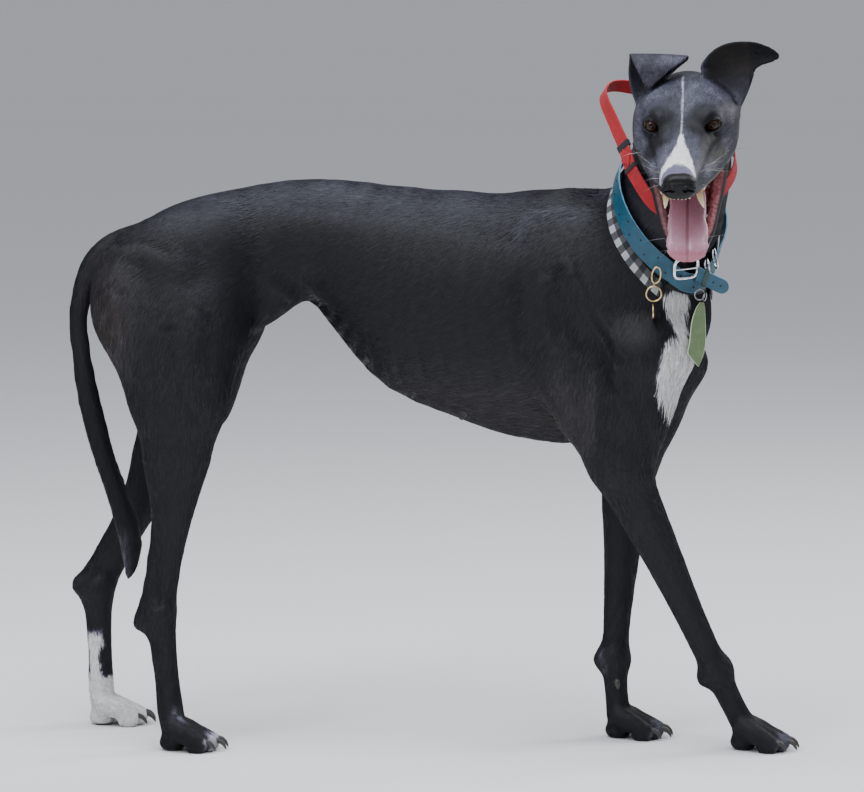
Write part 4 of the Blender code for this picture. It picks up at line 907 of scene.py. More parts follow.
def band(points, rows, reach=0.05):
    """How far each point lies inside a stripe: its rows hold x, y, z and half width."""
    rows = arr(rows)
    lo, hi = rows[:, :3].min(0) - reach, rows[:, :3].max(0) + reach
    at = np.nonzero(((points > lo) & (points < hi)).all(1))[0]
    out = np.full(len(points), -reach)
    p = points[at]
    best = np.full(len(at), -reach)
    for a, b in zip(rows[:-1], rows[1:]):
        ab = b[:3] - a[:3]
        t = np.clip((p - a[:3]) @ ab / max(ab @ ab, 1e-12), 0, 1)
        gap = np.linalg.norm(p - a[:3] - t[:, None] * ab, axis=1)
        best = np.maximum(best, a[3] + t * (b[3] - a[3]) - gap)
    out[at] = best
    return out


def near_line(points, line):
    """Distance of each point from a line."""
    return -band(points, [tuple(p) + (0.0,) for p in line], 0.13)


def dropped(line, side):
    """A line laid on the hide: given as seen from the right, the left or above."""
    out = []
    for a, b in spline(line, 4):
        start, way = {"right": ((a, -0.45, b), (0, 1, 0)), "left": ((a, 0.45, b), (0, -1, 0)),
                      "top": ((a, b, 1.0), (0, 0, -1))}[side]
        hit = hide_tree.ray_cast(Vector(start), Vector(way))
        if hit[0] is not None:
            out.append(tuple(hit[0]))
    return out


def snapped(line, sub=4):
    """A line in the head's directions, laid on the nearest skin."""
    return [tuple(hide_tree.find_nearest(Vector(head_point(p)))[0]) for p in spline(line, sub)]


# Hollows of the hide over its muscles and bones: outline, half width and depth; less than nothing
# is a ridge. The first list lies on the flanks, which are alike.
FLANK_LINES = (
    (((-.385, .632), (-.350, .634), (-.318, .622)), .008, .0022),        # over the haunch
    (((-.402, .583), (-.377, .620), (-.357, .621), (-.332, .608), (-.300, .597)), .009, -.0018),
    (((-.226, .667), (-.222, .624), (-.208, .581)), .016, .0016),        # before the hip
    (((-.286, .618), (-.285, .596)), .022, .0026),
    (((-.267, .667), (-.262, .664)), .016, -.0018),                      # point of the hip
    (((-.189, .583), (-.153, .559), (-.116, .534)), .009, .0026),        # fold of the flank
    (((-.205, .577), (-.170, .548), (-.150, .520)), .008, -.0014),
    (((-.321, .526), (-.315, .464), (-.291, .415)), .009, .0022),        # furrows of the thigh
    (((-.292, .545), (-.293, .480)), .007, -.0016),
    (((-.272, .540), (-.274, .470)), .007, .0014),
    (((-.165, .673), (-.080, .668), (.020, .655), (.090, .640)), .012, .0014),   # along the loin
    (((.165, .611), (.201, .547), (.221, .511), (.222, .470)), .006, -.0020),    # shoulder blade
    (((.178, .594), (.204, .536), (.226, .492)), .006, .0026),
    (((.140, .588), (.136, .560), (.148, .503)), .007, -.0016),
    (((.155, .600), (.158, .560), (.178, .510)), .007, .0020),
    (((.111, .645), (.122, .665), (.156, .673), (.189, .669)), .007, -.0014),
    (((.108, .575), (.112, .514), (.136, .452), (.180, .405)), .014, .0042),     # behind the triceps
    (((.245, .440), (.262, .400), (.262, .360)), .008, .0016))
RIGHT_LINES = (
    (((-.394, .571), (-.394, .530), (-.382, .480)), .005, -.0014),       # folds of the buttock
    (((-.381, .575), (-.379, .530), (-.367, .470)), .005, .0018),
    (((-.347, .290), (-.343, .230), (-.339, .185)), .006, .0034),        # before the tendon of the hock
    (((-.330, .300), (-.330, .230), (-.332, .190)), .005, -.0012),
    (((.289, .258), (.309, .208), (.343, .161)), .005, .0018),           # forearm
    (((.268, .290), (.300, .225), (.332, .150)), .005, -.0012),
    (((.248, .192), (.228, .155), (.210, .128)), .004, .0016))
LEFT_LINES = (
    (((-.394, .571), (-.394, .530), (-.382, .480)), .005, -.0014),
    (((-.379, .290), (-.398, .250), (-.424, .205)), .006, .0030),
    (((.262, .260), (.252, .208), (.244, .150)), .005, .0018))
TOP_LINES = ((((-.330, 0), (-.200, 0), (-.060, -.007), (.080, -.024), (.150, -.045)), .010, .0016),
             (((.165, -.046), (.195, -.050)), .010, -.0012))
# The same on the head, forward, left and up; one that lies to a side is made on both.
HEAD_LINES = (
    (((-.060, 0, .036), (-.020, 0, .029), (.012, 0, .0145)), .0045, .0014),      # furrow of the brow
    (((.020, .028, -.003), (.034, .0265, -.013), (.052, .026, -.019)), .0024, .0011),   # tear trough
    (((.020, .033, -.010), (.006, .043, -.013), (-.010, .047, -.008)), .0020, .0007),
    (((.010, .046, -.021), (.030, .041, -.021), (.046, .036, -.022)), .0030, -.0008),
    (((.034, .0150, .0000), (.070, .0135, -.006), (.108, .0110, -.012)), .0030, .0009),
    (((.034, .0210, -.006), (.070, .0185, -.011), (.104, .0150, -.016)), .0026, -.0006),
    (((.040, .044, -.033), (.018, .049, -.027), (-.006, .051, -.022)), .0017, .0010),   # smile folds
    (((.034, .045, -.040), (.010, .050, -.035), (-.012, .051, -.033)), .0016, .0010),
    (((.020, .046, -.050), (.002, .050, -.046), (-.016, .049, -.045)), .0018, .0009),
    (((.016, .030, .017), (.002, .037, .0165), (-.012, .041, .010)), .0022, -.0007),    # brow
    (((.024, .019, .010), (.012, .022, .018), (-.006, .021, .026)), .0030, .0008),
    (((-.030, .048, .004), (-.050, .047, .000), (-.066, .043, -.010)), .0050, .0012))
shift = np.zeros(len(skin_points))


def pressed(laid, half, depth):
    """Share of the hide's shift that a hollow along a laid line takes."""
    return depth * np.exp(-(near_line(skin_points, laid) / half) ** 2)


for side, lines in (("right", FLANK_LINES + RIGHT_LINES), ("left", FLANK_LINES + LEFT_LINES),
                    ("top", TOP_LINES)):
    for line, half, depth in lines:
        laid = dropped(line, side)
        if len(laid) > 1:
            shift -= pressed(laid, half, depth)
for i in range(7):                                                       # ribs
    x = -0.080 + i * 0.029
    for side in ("right", "left"):
        laid = dropped(((x + .014, .645), (x, .575), (x + .002, .500), (x + .012, .455)), side)
        shift += pressed(laid, 0.006, 0.0005)
for line, half, depth in HEAD_LINES:
    for s in ((1, -1) if line[0][1] else (1,)):
        shift -= pressed(snapped([(f, s * l, u) for f, l, u in line]), half, depth)
for side in EYE_SEATS:                                                   # folds above and below the lids
    seat, look, out, up = eye_ways(side)
    for spread, first, last, depth in ((1.55, 20, 160, .0009), (1.62, 205, 335, .0006)):
        line = []
        for t in np.radians(np.linspace(first, last, 14)):
            h = math.sin(t)
            line.append(seat + look * 0.006 + out * math.cos(t) * LID_HALF * 1.28
                        + up * h * (LID_UP if h > 0 else LID_DOWN) * spread)
        shift -= pressed(snapped(line, 1), 0.0011, depth)
whisker_roots = []
for s in (1, -1):                                                        # whisker beds
    for row, up in enumerate((-.0215, -.0262, -.0310, -.0355)):
        for k in range(6):
            f = 0.112 - k * 0.0085 - row * 0.0025
            l = np.interp(f, (.05, .085, .112), (.034, .0265, .0185))
            root, normal, _, _ = hide_tree.find_nearest(Vector(head_point((f, s * l, up))))
            whisker_roots.append((arr(root), arr(normal), s, k, row))
            gap = np.linalg.norm(skin_points - arr(root), axis=1)
            shift += 0.0004 * np.exp(-(gap / 0.0011) ** 2)
skin_points += skin_normals * shift[:, None]
skin_points[:, 2] = np.maximum(skin_points[:, 2], 0)
set_points(skin.data, skin_points)
skin_normals = mesh_normals(skin.data)
hide_tree = BVHTree.FromPolygons(skin_points.tolist(), FACE_LIST)

# Which named part each point of the hide belongs to.
FLESH = ("head", "lower_jaw", "neck", "trunk", "tail", "foreleg_right", "forepaw_right", "foreleg_left",
         "forepaw_left", "hindleg_right", "hindpaw_right", "hindleg_left", "hindpaw_left", "ear_left",
         "ear_right")


def node_tree(names):
    """Search tree over the solids with the given names, and the name's number for each face."""
    verts, faces, owner = [], [], []
    for number, name in enumerate(names):
        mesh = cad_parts[name].data
        base = len(verts)
        verts += (mesh_points(mesh) - MIDDLE).tolist()
        for p in mesh.polygons:
            faces.append([base + i for i in p.vertices])
            owner.append(number)
    return BVHTree.FromPolygons(verts, faces), np.array(owner)


flesh_tree, flesh_owner = node_tree(FLESH)
member = np.array([flesh_owner[flesh_tree.find_nearest(Vector(p))[2]] for p in skin_points.tolist()])
worn_tree, _ = node_tree(("collar_teal", "collar_check", "collar_black", "collar_red"))

# Lie of the coat: places on the animal and the way the hair points there. The second list is given
# on the head, in its own directions.
LIE = [((-.30, 0, .68), (-1, 0, -.10)), ((-.10, 0, .70), (-1, 0, -.03)), ((.10, -.03, .69), (-1, 0, -.02)),
       ((-.10, 0, .53), (-1, 0, .1)), ((.05, -.02, .41), (-1, 0, .1)), ((.16, -.04, .38), (-1, 0, 0)),
       ((.30, -.14, .53), (0, -.1, -1)), ((.29, -.16, .46), (-.1, 0, -1)), ((.26, -.085, .40), (-.5, 0, -1)),
       ((.22, -.08, .705), (-.62, .55, -.5)), ((.27, -.17, .66), (-.55, .50, -.75)),
       ((.33, -.16, .64), (-.15, .25, -1)), ((.33, -.06, .68), (-.2, .75, -.8)),
       ((.28, -.10, .75), (-.5, .7, -.5))]
for s, y in ((-1, -.04), (1, -.03)):
    LIE += [((-.20, s * .06, .64), (-.9, 0, -.40)), ((-.06, s * .075 + .2 * y, .60), (-.85, 0, -.5)),
            ((.05, s * .088 + .5 * y, .56), (-.8, 0, -.55)), ((.03, s * .06 + .5 * y, .46), (-.95, 0, -.3)),
            ((.13, s * .088 + y, .62), (-.7, 0, -.7)), ((.19, s * .080 + y, .56), (-.35, 0, -1)),
            ((.25, s * .070 + 2 * y, .47), (-.1, 0, -1)), ((-.30, s * .085, .62), (-.8, 0, -.5)),
            ((-.33, s * .105, .54), (-.4, 0, -1)), ((-.31, s * .115, .45), (-.1, 0, -1)),
            ((-.39, s * .045, .53), (-.15, 0, -1)), ((-.17, s * .05, .57), (-.7, 0, -.7))]
for leg in LEGS:
    mid, low, ball = arr(leg['mid']), arr(leg['low']), arr(leg['ball'])
    for share in (0.25, 0.6, 0.95):
        LIE.append((tuple(mid + (low - mid) * share), tuple(low - mid)))
    LIE.append((tuple(low * 0.5 + ball * 0.5), tuple(ball - low)))
    ahead = foot_ways(leg)[1]
    LIE += [(tuple(ball + ahead * 0.01), tuple(ahead - arr((0, 0, 0.5)))),
            (tuple(ball + ahead * 0.05), tuple(ahead - arr((0, 0, 0.9))))]
for a, b in zip(TAIL_LINE[1:-1], TAIL_LINE[2:]):
    LIE.append(((a[0], 0, a[1]), (b[0] - a[0], 0, b[1] - a[1])))
HEAD_LIE = (((.10, 0, -.008), (-1, 0, .15)), ((.05, 0, 0), (-1, 0, .2)), ((0, 0, .018), (-1, 0, .5)),
            ((-.06, 0, .036), (-1, 0, 0)), ((-.11, 0, .02), (-1, 0, -.5)),
            ((.10, .022, -.03), (-1, .1, -.45)), ((.05, .035, -.025), (-1, .2, -.35)),
            ((.01, .048, -.02), (-1, .2, -.25)), ((-.03, .058, -.02), (-1, .1, -.4)),
            ((-.02, .035, .02), (-1, .45, .35)), ((-.08, .045, -.02), (-1, 0, -.5)),
            ((.085, .028, -.11), (-1, .1, .15)), ((.04, .036, -.095), (-1, 0, 0)),
            ((.06, 0, -.145), (-1, 0, .5)), ((-.02, .03, -.09), (-1, 0, -.2)))
for (f, l, u), way in HEAD_LIE:
    for s in ((1, -1) if l else (1,)):
        LIE.append((tuple(head_point((f, s * l, u))), tuple(arr((way[0], s * way[1], way[2])) @ HEAD)))
EAR_LIE = {}
for side, rows in (("ear_left", EAR_LEFT), ("ear_right", EAR_RIGHT)):
    line = spline([r[:3] for r in rows], 2)
    EAR_LIE[side] = [(tuple(head_point((a + b) / 2)), tuple((b - a) @ HEAD))
                     for a, b in zip(line[:-1], line[1:])]


def lie_at(points, normals, anchors):
    """Way of the hair at each point: the nearest places count most."""
    places = arr([a for a, _ in anchors])
    ways = arr([unit(w) for _, w in anchors])
    d2 = ((points ** 2).sum(1)[:, None] - 2 * points @ places.T + (places ** 2).sum(1)) + 1e-5
    way = (1 / d2 ** 2.5) @ ways
    way -= normals * (way * normals).sum(1)[:, None]
    return way / np.maximum(np.linalg.norm(way, axis=1), 1e-9)[:, None]


lie = lie_at(skin_points, skin_normals, LIE)
for side in ("ear_left", "ear_right"):
    at = member == FLESH.index(side)
    lie[at] = lie_at(skin_points[at], skin_normals[at], EAR_LIE[side])


def ripple(points, size):
    """Smooth irregular value between about -1 and 1."""
    p = points / size
    out = np.sin(p @ (1.7, 0.9, -1.1) + 1.3 * np.sin(p @ (-0.8, 1.9, 0.7)))
    out += np.sin(p @ (0.6, -1.6, 1.5) + 1.1 * np.sin(p @ (1.3, 0.4, -1.9) + 2.0))
    return out / 2


def smooth_step(x, lo, hi):
    """Smooth rise from 0 to 1 between two values."""
    t = np.clip((x - lo) / (hi - lo), 0, 1)
    return t * t * (3 - 2 * t)


# White hair on the breast; the shoulder's grey, partly a painted sheen, and the nape's grey; white on the
# toes.
BREAST = ((.2980, -.1416, .5642, .0175), (.3020, -.1550, .5400, .0110), (.3046, -.1640, .5172, .0055),
          (.2995, -.1650, .5000, .0270), (.2990, -.1625, .4810, .0310), (.2975, -.1600, .4630, .0270),
          (.2925, -.1570, .4438, .0150), (.2925, -.1520, .4250, .0040))
BREAST_LAID = [tuple(hide_tree.find_nearest(Vector(r[:3]))[0]) + (r[3],) for r in BREAST]
SHOULDER_GREY, SHOULDER_GREY_LEFT = (
    dropped(((.108, .632), (.118, .660), (.150, .672), (.189, .667)), side) for side in ("right", "left"))
HIND_WHITE = ((-.432, .083, .112, .013), (-.436, .080, .095, .008), (-.434, .078, .070, .010))


def marks(points):
    """Share of pale hair and of painted sheen, of brown hair and of bare lavender skin at each point."""
    h = in_head(points)
    f, l, u = h.T
    on_head = smooth_step(f, -.125, -.085) * (np.abs(l) < .075) * (np.abs(u + .03) < .14)
    rough = ripple(points, 0.0022)
    pale = np.zeros(len(points))
    # grizzle of the face, darker round the eyes
    grizzle = 0.36 + 0.09 * ripple(points, 0.009) + 0.10 * smooth_step(f, .04, .10)
    for place, size, gain in (((.004, -.053, -.021), .020, .16), ((.012, .049, -.018), .017, .08),
                              ((.043, .044, -.027), .014, .14), ((-.035, .022, .030), .020, .10),
                              ((-.035, -.024, .030), .020, .10), ((.02, .040, .018), .006, .2),
                              ((.083, -.030, -.026), .014, .10), ((.083, .030, -.026), .014, .10),
                              ((.045, -.035, -.034), .014, .16)):
        grizzle += gain * np.exp(-((h - place) ** 2).sum(1) / size ** 2)
    for place, size, loss in (((.020, -.041, .003), .0145, .66), ((.026, .036, .004), .0145, .66),
                              ((.040, -.036, -.014), .0135, .88), ((.036, .038, -.016), .0145, .95),
                              ((.022, -.026, .013), .0130, .98), ((.026, .020, .013), .0140, 1.0),
                              ((.008, .020, .020), .0080, .25), ((.060, .026, -.016), .010, .15),
                              ((.052, -.0215, -.004), .0060, .25)):
        grizzle -= loss * np.exp(-((h - place) ** 2).sum(1) / size ** 2)
    jaw = in_jaw(h)
    below = smooth_step(-jaw[:, 2], .044, .052) * smooth_step(-u, .046, .058)
    chin = smooth_step(jaw[:, 0], .052, .080) * smooth_step(np.abs(l), .002, .014)
    grizzle = grizzle * (1 - below) + below * (0.10 + 0.62 * chin)
    grizzle *= 1 - 0.92 * smooth_step(-f, .055, .100)
    pale = np.maximum(pale, on_head * np.clip(grizzle, 0.02, 1))
    middle = np.interp(f, (-.068, -.018, .011, .044), (-.0035, -.0017, -.0012, -.0010))
    stripe = 0.0012 - np.abs(l - middle) + 0.0005 * rough
    stripe = smooth_step(stripe, -.0008, .0006) * smooth_step(f, -.078, -.060) * (f < .05)
    stripe = stripe * (u > -.01) * (u < .046)
    right = np.interp(f, (.040, .0636, .083, .100, .111, .120),
                      (-.0022, -.0060, -.0121, -.0183, -.0235, -.026))
    left = np.interp(f, (.040, .0636, .083, .100, .112, .120),
                     (.0004, .0057, .0113, .0156, .0180, .019))
    blaze = np.minimum(l - right, left - l) + 0.0009 * rough
    blaze = smooth_step(blaze, -.0012, .0010) * smooth_step(f, .038, .046) * (u > -.032)
    pale = np.maximum(pale, on_head * np.maximum(stripe * 0.80, blaze))
    lavender = smooth_step(f - .1035 - 45 * (l + .002) ** 2, -.001, .003) * (u > -.024) * on_head
    # the rest of the coat
    white = band(points, BREAST_LAID)
    white = np.maximum(white, band(points, HIND_WHITE))
    white = white + 0.0022 * ripple(points, 0.0035) + 0.0015 * rough
    left_hind = np.linalg.norm(points[:, :2] - (-.410, .095), axis=1) < .075
    white = np.where(left_hind, np.maximum(white, .066 - points[:, 2] + .003 * rough), white)
    pale = np.maximum(pale, smooth_step(white, -.0020, .0020) * 0.97)
    for leg, share in ((HIND_RIGHT, .8), (FORE_RIGHT, .45), (FORE_LEFT, .40)):
        ball, ahead, _ = foot_ways(leg)
        tip = (points - ball) @ ahead - 0.043 + 0.004 * ripple(points, 0.006)
        near = np.linalg.norm((points - ball)[:, :2], axis=1) < 0.075
        pale = np.maximum(pale, near * share * smooth_step(tip, -.004, .006) * (points[:, 2] < .035))
    # pale streaks of grey and white hair; over the shoulders and on the back of a foreleg above the wrist
    # they are partly a painted sheen
    for line, half, gain in ((SHOULDER_GREY, .012, .24), (SHOULDER_GREY_LEFT, .012, .20),
                             (((.221, -.087, .700), (.235, -.110, .745)), .022, .34),
                             (((.2090, -.010, .150), (.2116, -.0125, .1067), (.2166, -.0154, .088)),
                              .007, .40),
                             (((-.3900, 0, .260), (-.3866, -.0016, .2195), (-.3831, 0, .204)), .010, .50),
                             (((.06, -.02, .402), (.14, -.04, .380)), .020, .20),
                             (((-.320, -.100, .048), (-.313, -.102, .040)), .007, .80)):
        streak = gain * np.exp(-(near_line(points, line) / half) ** 2)
        pale = np.maximum(pale, streak * (0.75 + 0.5 * ripple(points, 0.004)))
    brown = np.exp(-((points[:, 0] + .400) / .030) ** 2 - ((points[:, 2] - .530) / .075) ** 2)
    brown = np.maximum(brown, 0.5 * np.exp(-((points[:, 2] - .42) / .05) ** 2) * (points[:, 0] > -.05)
                       * (points[:, 0] < .2))
    # painted sheen: pale is raised over the brown-tinted hair of the buttock and low on the body
    pale = np.maximum(pale, 0.44 * brown * (0.7 + 0.4 * ripple(points, 0.010)))
    # painted sheen: the hair along the top of the back is made paler, where light from above gleams on it
    back = smooth_step(points[:, 2], .635, .690) * smooth_step(-points[:, 0], -.16, -.06)
    pale = np.maximum(pale, 0.22 * back * (0.8 + 0.3 * ripple(points, 0.020)))
    # the bare inside of the left ear
    inside = on_head * smooth_step(l, .020, .032) * smooth_step(u, .022, .034)
    at = np.nonzero(inside)[0]
    inside[at] *= ears["left"].look(points[at])[:, 0] < .004
    pale = pale * (1 - 0.88 * inside)
    brown = np.maximum(brown, 0.6 * inside)
    return np.clip(pale, 0, 1), np.clip(brown, 0, 1), lavender


pale, brown, lavender = marks(skin_points)
# Bare places: lips, lids, nose, the mouth's inside and the soles.
head_h = in_head(skin_points)
jaw_h = in_jaw(head_h)
head_n = skin_normals @ HEAD.T
rim = np.full(len(skin_points), 1.0)
for side in EYE_SEATS:
    edge = arr([head_point(p) for p in lid_line(side)])
    at = np.nonzero(np.abs(skin_points - head_point(EYE_SEATS[side])).max(1) < 0.03)[0]
    gaps = np.linalg.norm(skin_points[at][:, None, :] - edge[None], axis=2).min(1)
    rim[at] = np.minimum(rim[at], gaps)
bare = smooth_step(-rim, -.0030, -.0021)
pale *= 0.12 + 0.88 * smooth_step(rim, .0020, .0065)
nose_gap = np.linalg.norm((head_h - (.1330, .0010, -.0265)) / (.0125, .0200, .0150), axis=1)
bare = np.maximum(bare, smooth_step(-nose_gap, -1.28, -1.10) * (member == 0))
jaw_side = (member == FLESH.index("lower_jaw")) | ((member == 0) & (head_h[:, 2] < -.055))
front = (head_h[:, 0] > -.035) & (np.abs(head_h[:, 1]) < .06) & (member <= 1)
inward = -head_n[:, 1] * np.sign(head_h[:, 1]) * smooth_step(np.abs(head_h[:, 1]), .004, .010)
jaw_up = arr(head_point(jaw_point((0, 0, 1)))) - head_point(jaw_point((0, 0, 0)))
upper_face = np.maximum(-head_n[:, 2], inward) * (~jaw_side) * (head_h[:, 2] < -.036) * front
lower_face = np.maximum(skin_normals @ jaw_up, inward) * jaw_side * (jaw_h[:, 2] > -.060) * front
lips = smooth_step(np.maximum(upper_face, lower_face), .15, .50)
for _ in range(3):                                            # a black margin outside the lips
    wider = lips.copy()
    np.maximum.at(wider, ties[:, 0], lips[ties[:, 1]] * 0.97)
    np.maximum.at(wider, ties[:, 1], lips[ties[:, 0]] * 0.97)
    lips = wider
mouth = smooth_step(np.maximum(upper_face, lower_face), .66, .88)
mouth *= np.where(head_h[:, 1] < 0, 0.36, 0.85)
sole = smooth_step(-skin_normals[:, 2], .55, .85) * (skin_points[:, 2] < .012)
for share in (lips, sole, lavender):
    bare = np.maximum(bare, share)


class Sock:
    """A socket that takes part in sums: each step adds its Math node."""

    def __init__(self, paint, out):
        self.paint, self.out = paint, out

    def math(self, how, a, b):
        return self.paint.node('ShaderNodeMath', {"operation": how}, (a, b))

    def __add__(self, other):
        return self.math('ADD', self, other)

    def __sub__(self, other):
        return self.math('SUBTRACT', self, other)

    def __rsub__(self, other):
        return self.math('SUBTRACT', other, self)

    def __mul__(self, other):
        return self.math('MULTIPLY', self, other)

    def __truediv__(self, other):
        return self.math('DIVIDE', self, other)

    def __gt__(self, other):
        return self.math('GREATER_THAN', self, other)

    def __mod__(self, other):
        return self.math('FLOORED_MODULO', self, other)

    __radd__ = __add__
    __rmul__ = __mul__


class Paint:
    """One finish: a Principled shader and the nodes that drive it."""

    def __init__(self, name, **fixed):
        self.material = bpy.data.materials.new(name)
        self.material.use_nodes = True
        self.tree = self.material.node_tree
        self.shader = self.tree.nodes["Principled BSDF"]
        for key, value in fixed.items():
            self.shader.inputs[key.replace("_", " ")].default_value = value

    def node(self, kind, settings=None, inputs=(), out=0):
        """A node with its settings, and the values or links of its sockets."""
        made = self.tree.nodes.new(kind)
        for key, value in (settings or {}).items():
            if key == "stops":
                ramp = made.color_ramp.elements
                while len(ramp) < len(value):
                    ramp.new(1)
                for stop, (place, colour) in zip(ramp, value):
                    stop.position = place
                    stop.color = (*colour, 1)
            else:
                setattr(made, key, value)
        for key, value in (inputs.items() if isinstance(inputs, dict) else enumerate(inputs)):
            if isinstance(value, Sock):
                self.tree.links.new(value.out, made.inputs[key])
            else:
                made.inputs[key].default_value = value
        return Sock(self, made.outputs[out])

    def mix(self, share, a, b):
        """From colour a to colour b."""
        a, b = ((*c, 1) if isinstance(c, tuple) else c for c in (a, b))
        settings = {"data_type": 'RGBA', "clamp_factor": True}
        return self.node('ShaderNodeMix', settings, {0: share, 6: a, 7: b}, 2)

    def ramp(self, value, *stops):
        return self.node('ShaderNodeValToRGB', {"stops": stops}, (value,))

    def step(self, value, lo, hi):
        """Smooth rise from 0 to 1 between two values."""
        return self.node('ShaderNodeMapRange', {"interpolation_type": 'SMOOTHSTEP'},
                         {"Value": value, "From Min": lo, "From Max": hi})

    def noted(self, name):
        return self.node('ShaderNodeAttribute', {"attribute_name": name}, out=2)

    def place(self):
        return self.node('ShaderNodeTexCoord', out=3)

    def scaled(self, vector, by):
        return self.node('ShaderNodeVectorMath', {"operation": 'MULTIPLY'}, (vector, by))

    def noise(self, vector, scale, detail=2.0, rough=0.5):
        inputs = {"Vector": vector, "Scale": scale, "Detail": detail, "Roughness": rough}
        return self.node('ShaderNodeTexNoise', {}, inputs)

    def cells(self, vector, scale, feature='F1'):
        return self.node('ShaderNodeTexVoronoi', {"feature": feature}, {"Vector": vector, "Scale": scale})

    def bump(self, *layers):
        """Bumps laid over each other: height from 0 to 1, and its depth in metres."""
        normal = None
        for height, depth in layers:
            inputs = {"Height": height, "Distance": depth}
            if normal is not None:
                inputs["Normal"] = normal
            normal = self.node('ShaderNodeBump', {}, inputs)
        return normal

    def wear(self, **links):
        """Drive the shader's own sockets."""
        for key, value in links.items():
            self.tree.links.new(value.out, self.shader.inputs[key.replace("_", " ")])
        return self.material


HAIR_STOPS = ((0.0, (.0050, .0051, .0072)), (0.30, (.029, .029, .040)), (0.60, (.122, .120, .162)),
              (0.85, (.42, .41, .44)), (1.0, (.80, .78, .76)))
BROWN_HAIR = (.030, .022, .019)

hide_paint = Paint("hide", Roughness=0.55, Specular_IOR_Level=0.30)
place = hide_paint.place()
mottle = hide_paint.noise(place, 260, 3)
grain = hide_paint.cells(place, 900)
under = hide_paint.ramp(hide_paint.noted("pale") + (mottle - 0.5) * 0.35, *HAIR_STOPS)
under = hide_paint.mix(hide_paint.noted("brown") * 0.8, under, BROWN_HAIR)
leather = hide_paint.mix(mottle, (.007, .006, .007), (.020, .017, .018))
lavender_skin = hide_paint.mix(mottle, (.075, .068, .115), (.175, .165, .245))
leather = hide_paint.mix(hide_paint.noted("lavender"), leather, lavender_skin)
flesh_pink = hide_paint.mix(hide_paint.step(mottle, .35, .65), (.30, .075, .085), (.52, .20, .21))
hide_colour = hide_paint.mix(hide_paint.noted("bare"), under, leather)
hide_colour = hide_paint.mix(hide_paint.noted("mouth"), hide_colour, flesh_pink)
hide_shine = 0.62 - hide_paint.noted("bare") * 0.16 - hide_paint.noted("mouth") * 0.26
hide_material = hide_paint.wear(
    Base_Color=hide_colour, Roughness=hide_shine,
    Normal=hide_paint.bump((grain, 0.00012), (hide_paint.noise(place, 1500, 2), 0.00008)))

skin.data.transform(Matrix.Translation(MIDDLE))
skin.data.materials.append(hide_material)
for name, values in (("pale", pale), ("brown", brown), ("lavender", lavender), ("bare", bare),
                     ("mouth", mouth)):
    note(skin.data, name, values)
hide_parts(*FLESH)
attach(skin, "root")

# ---------------------------------------------------------------- coat
# Short, sleek hair that lies flat from nose to tail: one overlapping layer of fine pointed tufts,
# finest on the face and the feet, longer down the back of the thighs and under the tail.
TUFT_SHARE = 0.085          # width of a tuft for its length


def hair_at(points, member):
    """Length of the hair and how far its tips stand off, at each point."""
    length = np.full(len(points), .0170)
    lift = np.full(len(points), .00030)
    head = (member == 0) | (member == 1)
    length[head] = np.interp(in_head(points)[head, 0], (-.12, -.02, .06, .125),
                             (.0095, .0070, .0052, .0030))
    lift[head] = .00022
    length[member == 2] = .0130
    leg = (member >= 5) & (member <= 12)
    length[leg] = np.interp(points[leg, 2], (.02, .10, .30, .48), (.0050, .0085, .0125, .0165))
    ear = member >= 13
    length[ear], lift[ear] = .0055, .00018
    tail_hair = (member == 4) * smooth_step(-points[:, 2], -.52, -.30)
    length[member == 4] = .0095
    lift += .0011 * tail_hair
    length += .005 * tail_hair
    for line, half, rise in ((((.205, -.080, .700), (.222, -.092, .715), (.232, -.105, .740)), .022, .0020),
                             (((-.400, -.050, .56), (-.390, -.055, .46)), .030, .0012),
                             (((-.400, .050, .56), (-.390, .055, .46)), .030, .0012),
                             (((.300, -.150, .550), (.298, -.160, .440)), .030, .0009),
                             (((.150, -.080, .655), (.120, -.090, .640)), .020, .0008),
                             (((-.05, -.01, .47), (.16, -.04, .380)), .020, .0008)):
        lift += rise * np.exp(-(near_line(points, line) / half) ** 2)
    return length, lift


def unwrap(points, line, ref):
    """Place on an unwrap round a line: share of its length, and turn about it."""
    line = arr(line)
    best = np.full(len(points), 1e9)
    along_line, turn, total = np.zeros(len(points)), np.zeros(len(points)), 0.0
    for a, b in zip(line[:-1], line[1:]):
        ab = b - a
        size = np.linalg.norm(ab)
        t = np.clip((points - a) @ ab / size ** 2, 0, 1)
        off = points - a - t[:, None] * ab
        gap = np.linalg.norm(off, axis=1)
        side = unit(np.cross(ab, ref))
        up = np.cross(side, ab / size)
        near = gap < best
        best[near] = gap[near]
        along_line[near] = (total + t[near] * size)
        turn[near] = np.arctan2(off[near] @ side, off[near] @ up)
        total += size
    return np.stack([0.02 + 0.96 * along_line / total, 0.5 + turn / (2 * math.pi) * 0.96], 1)


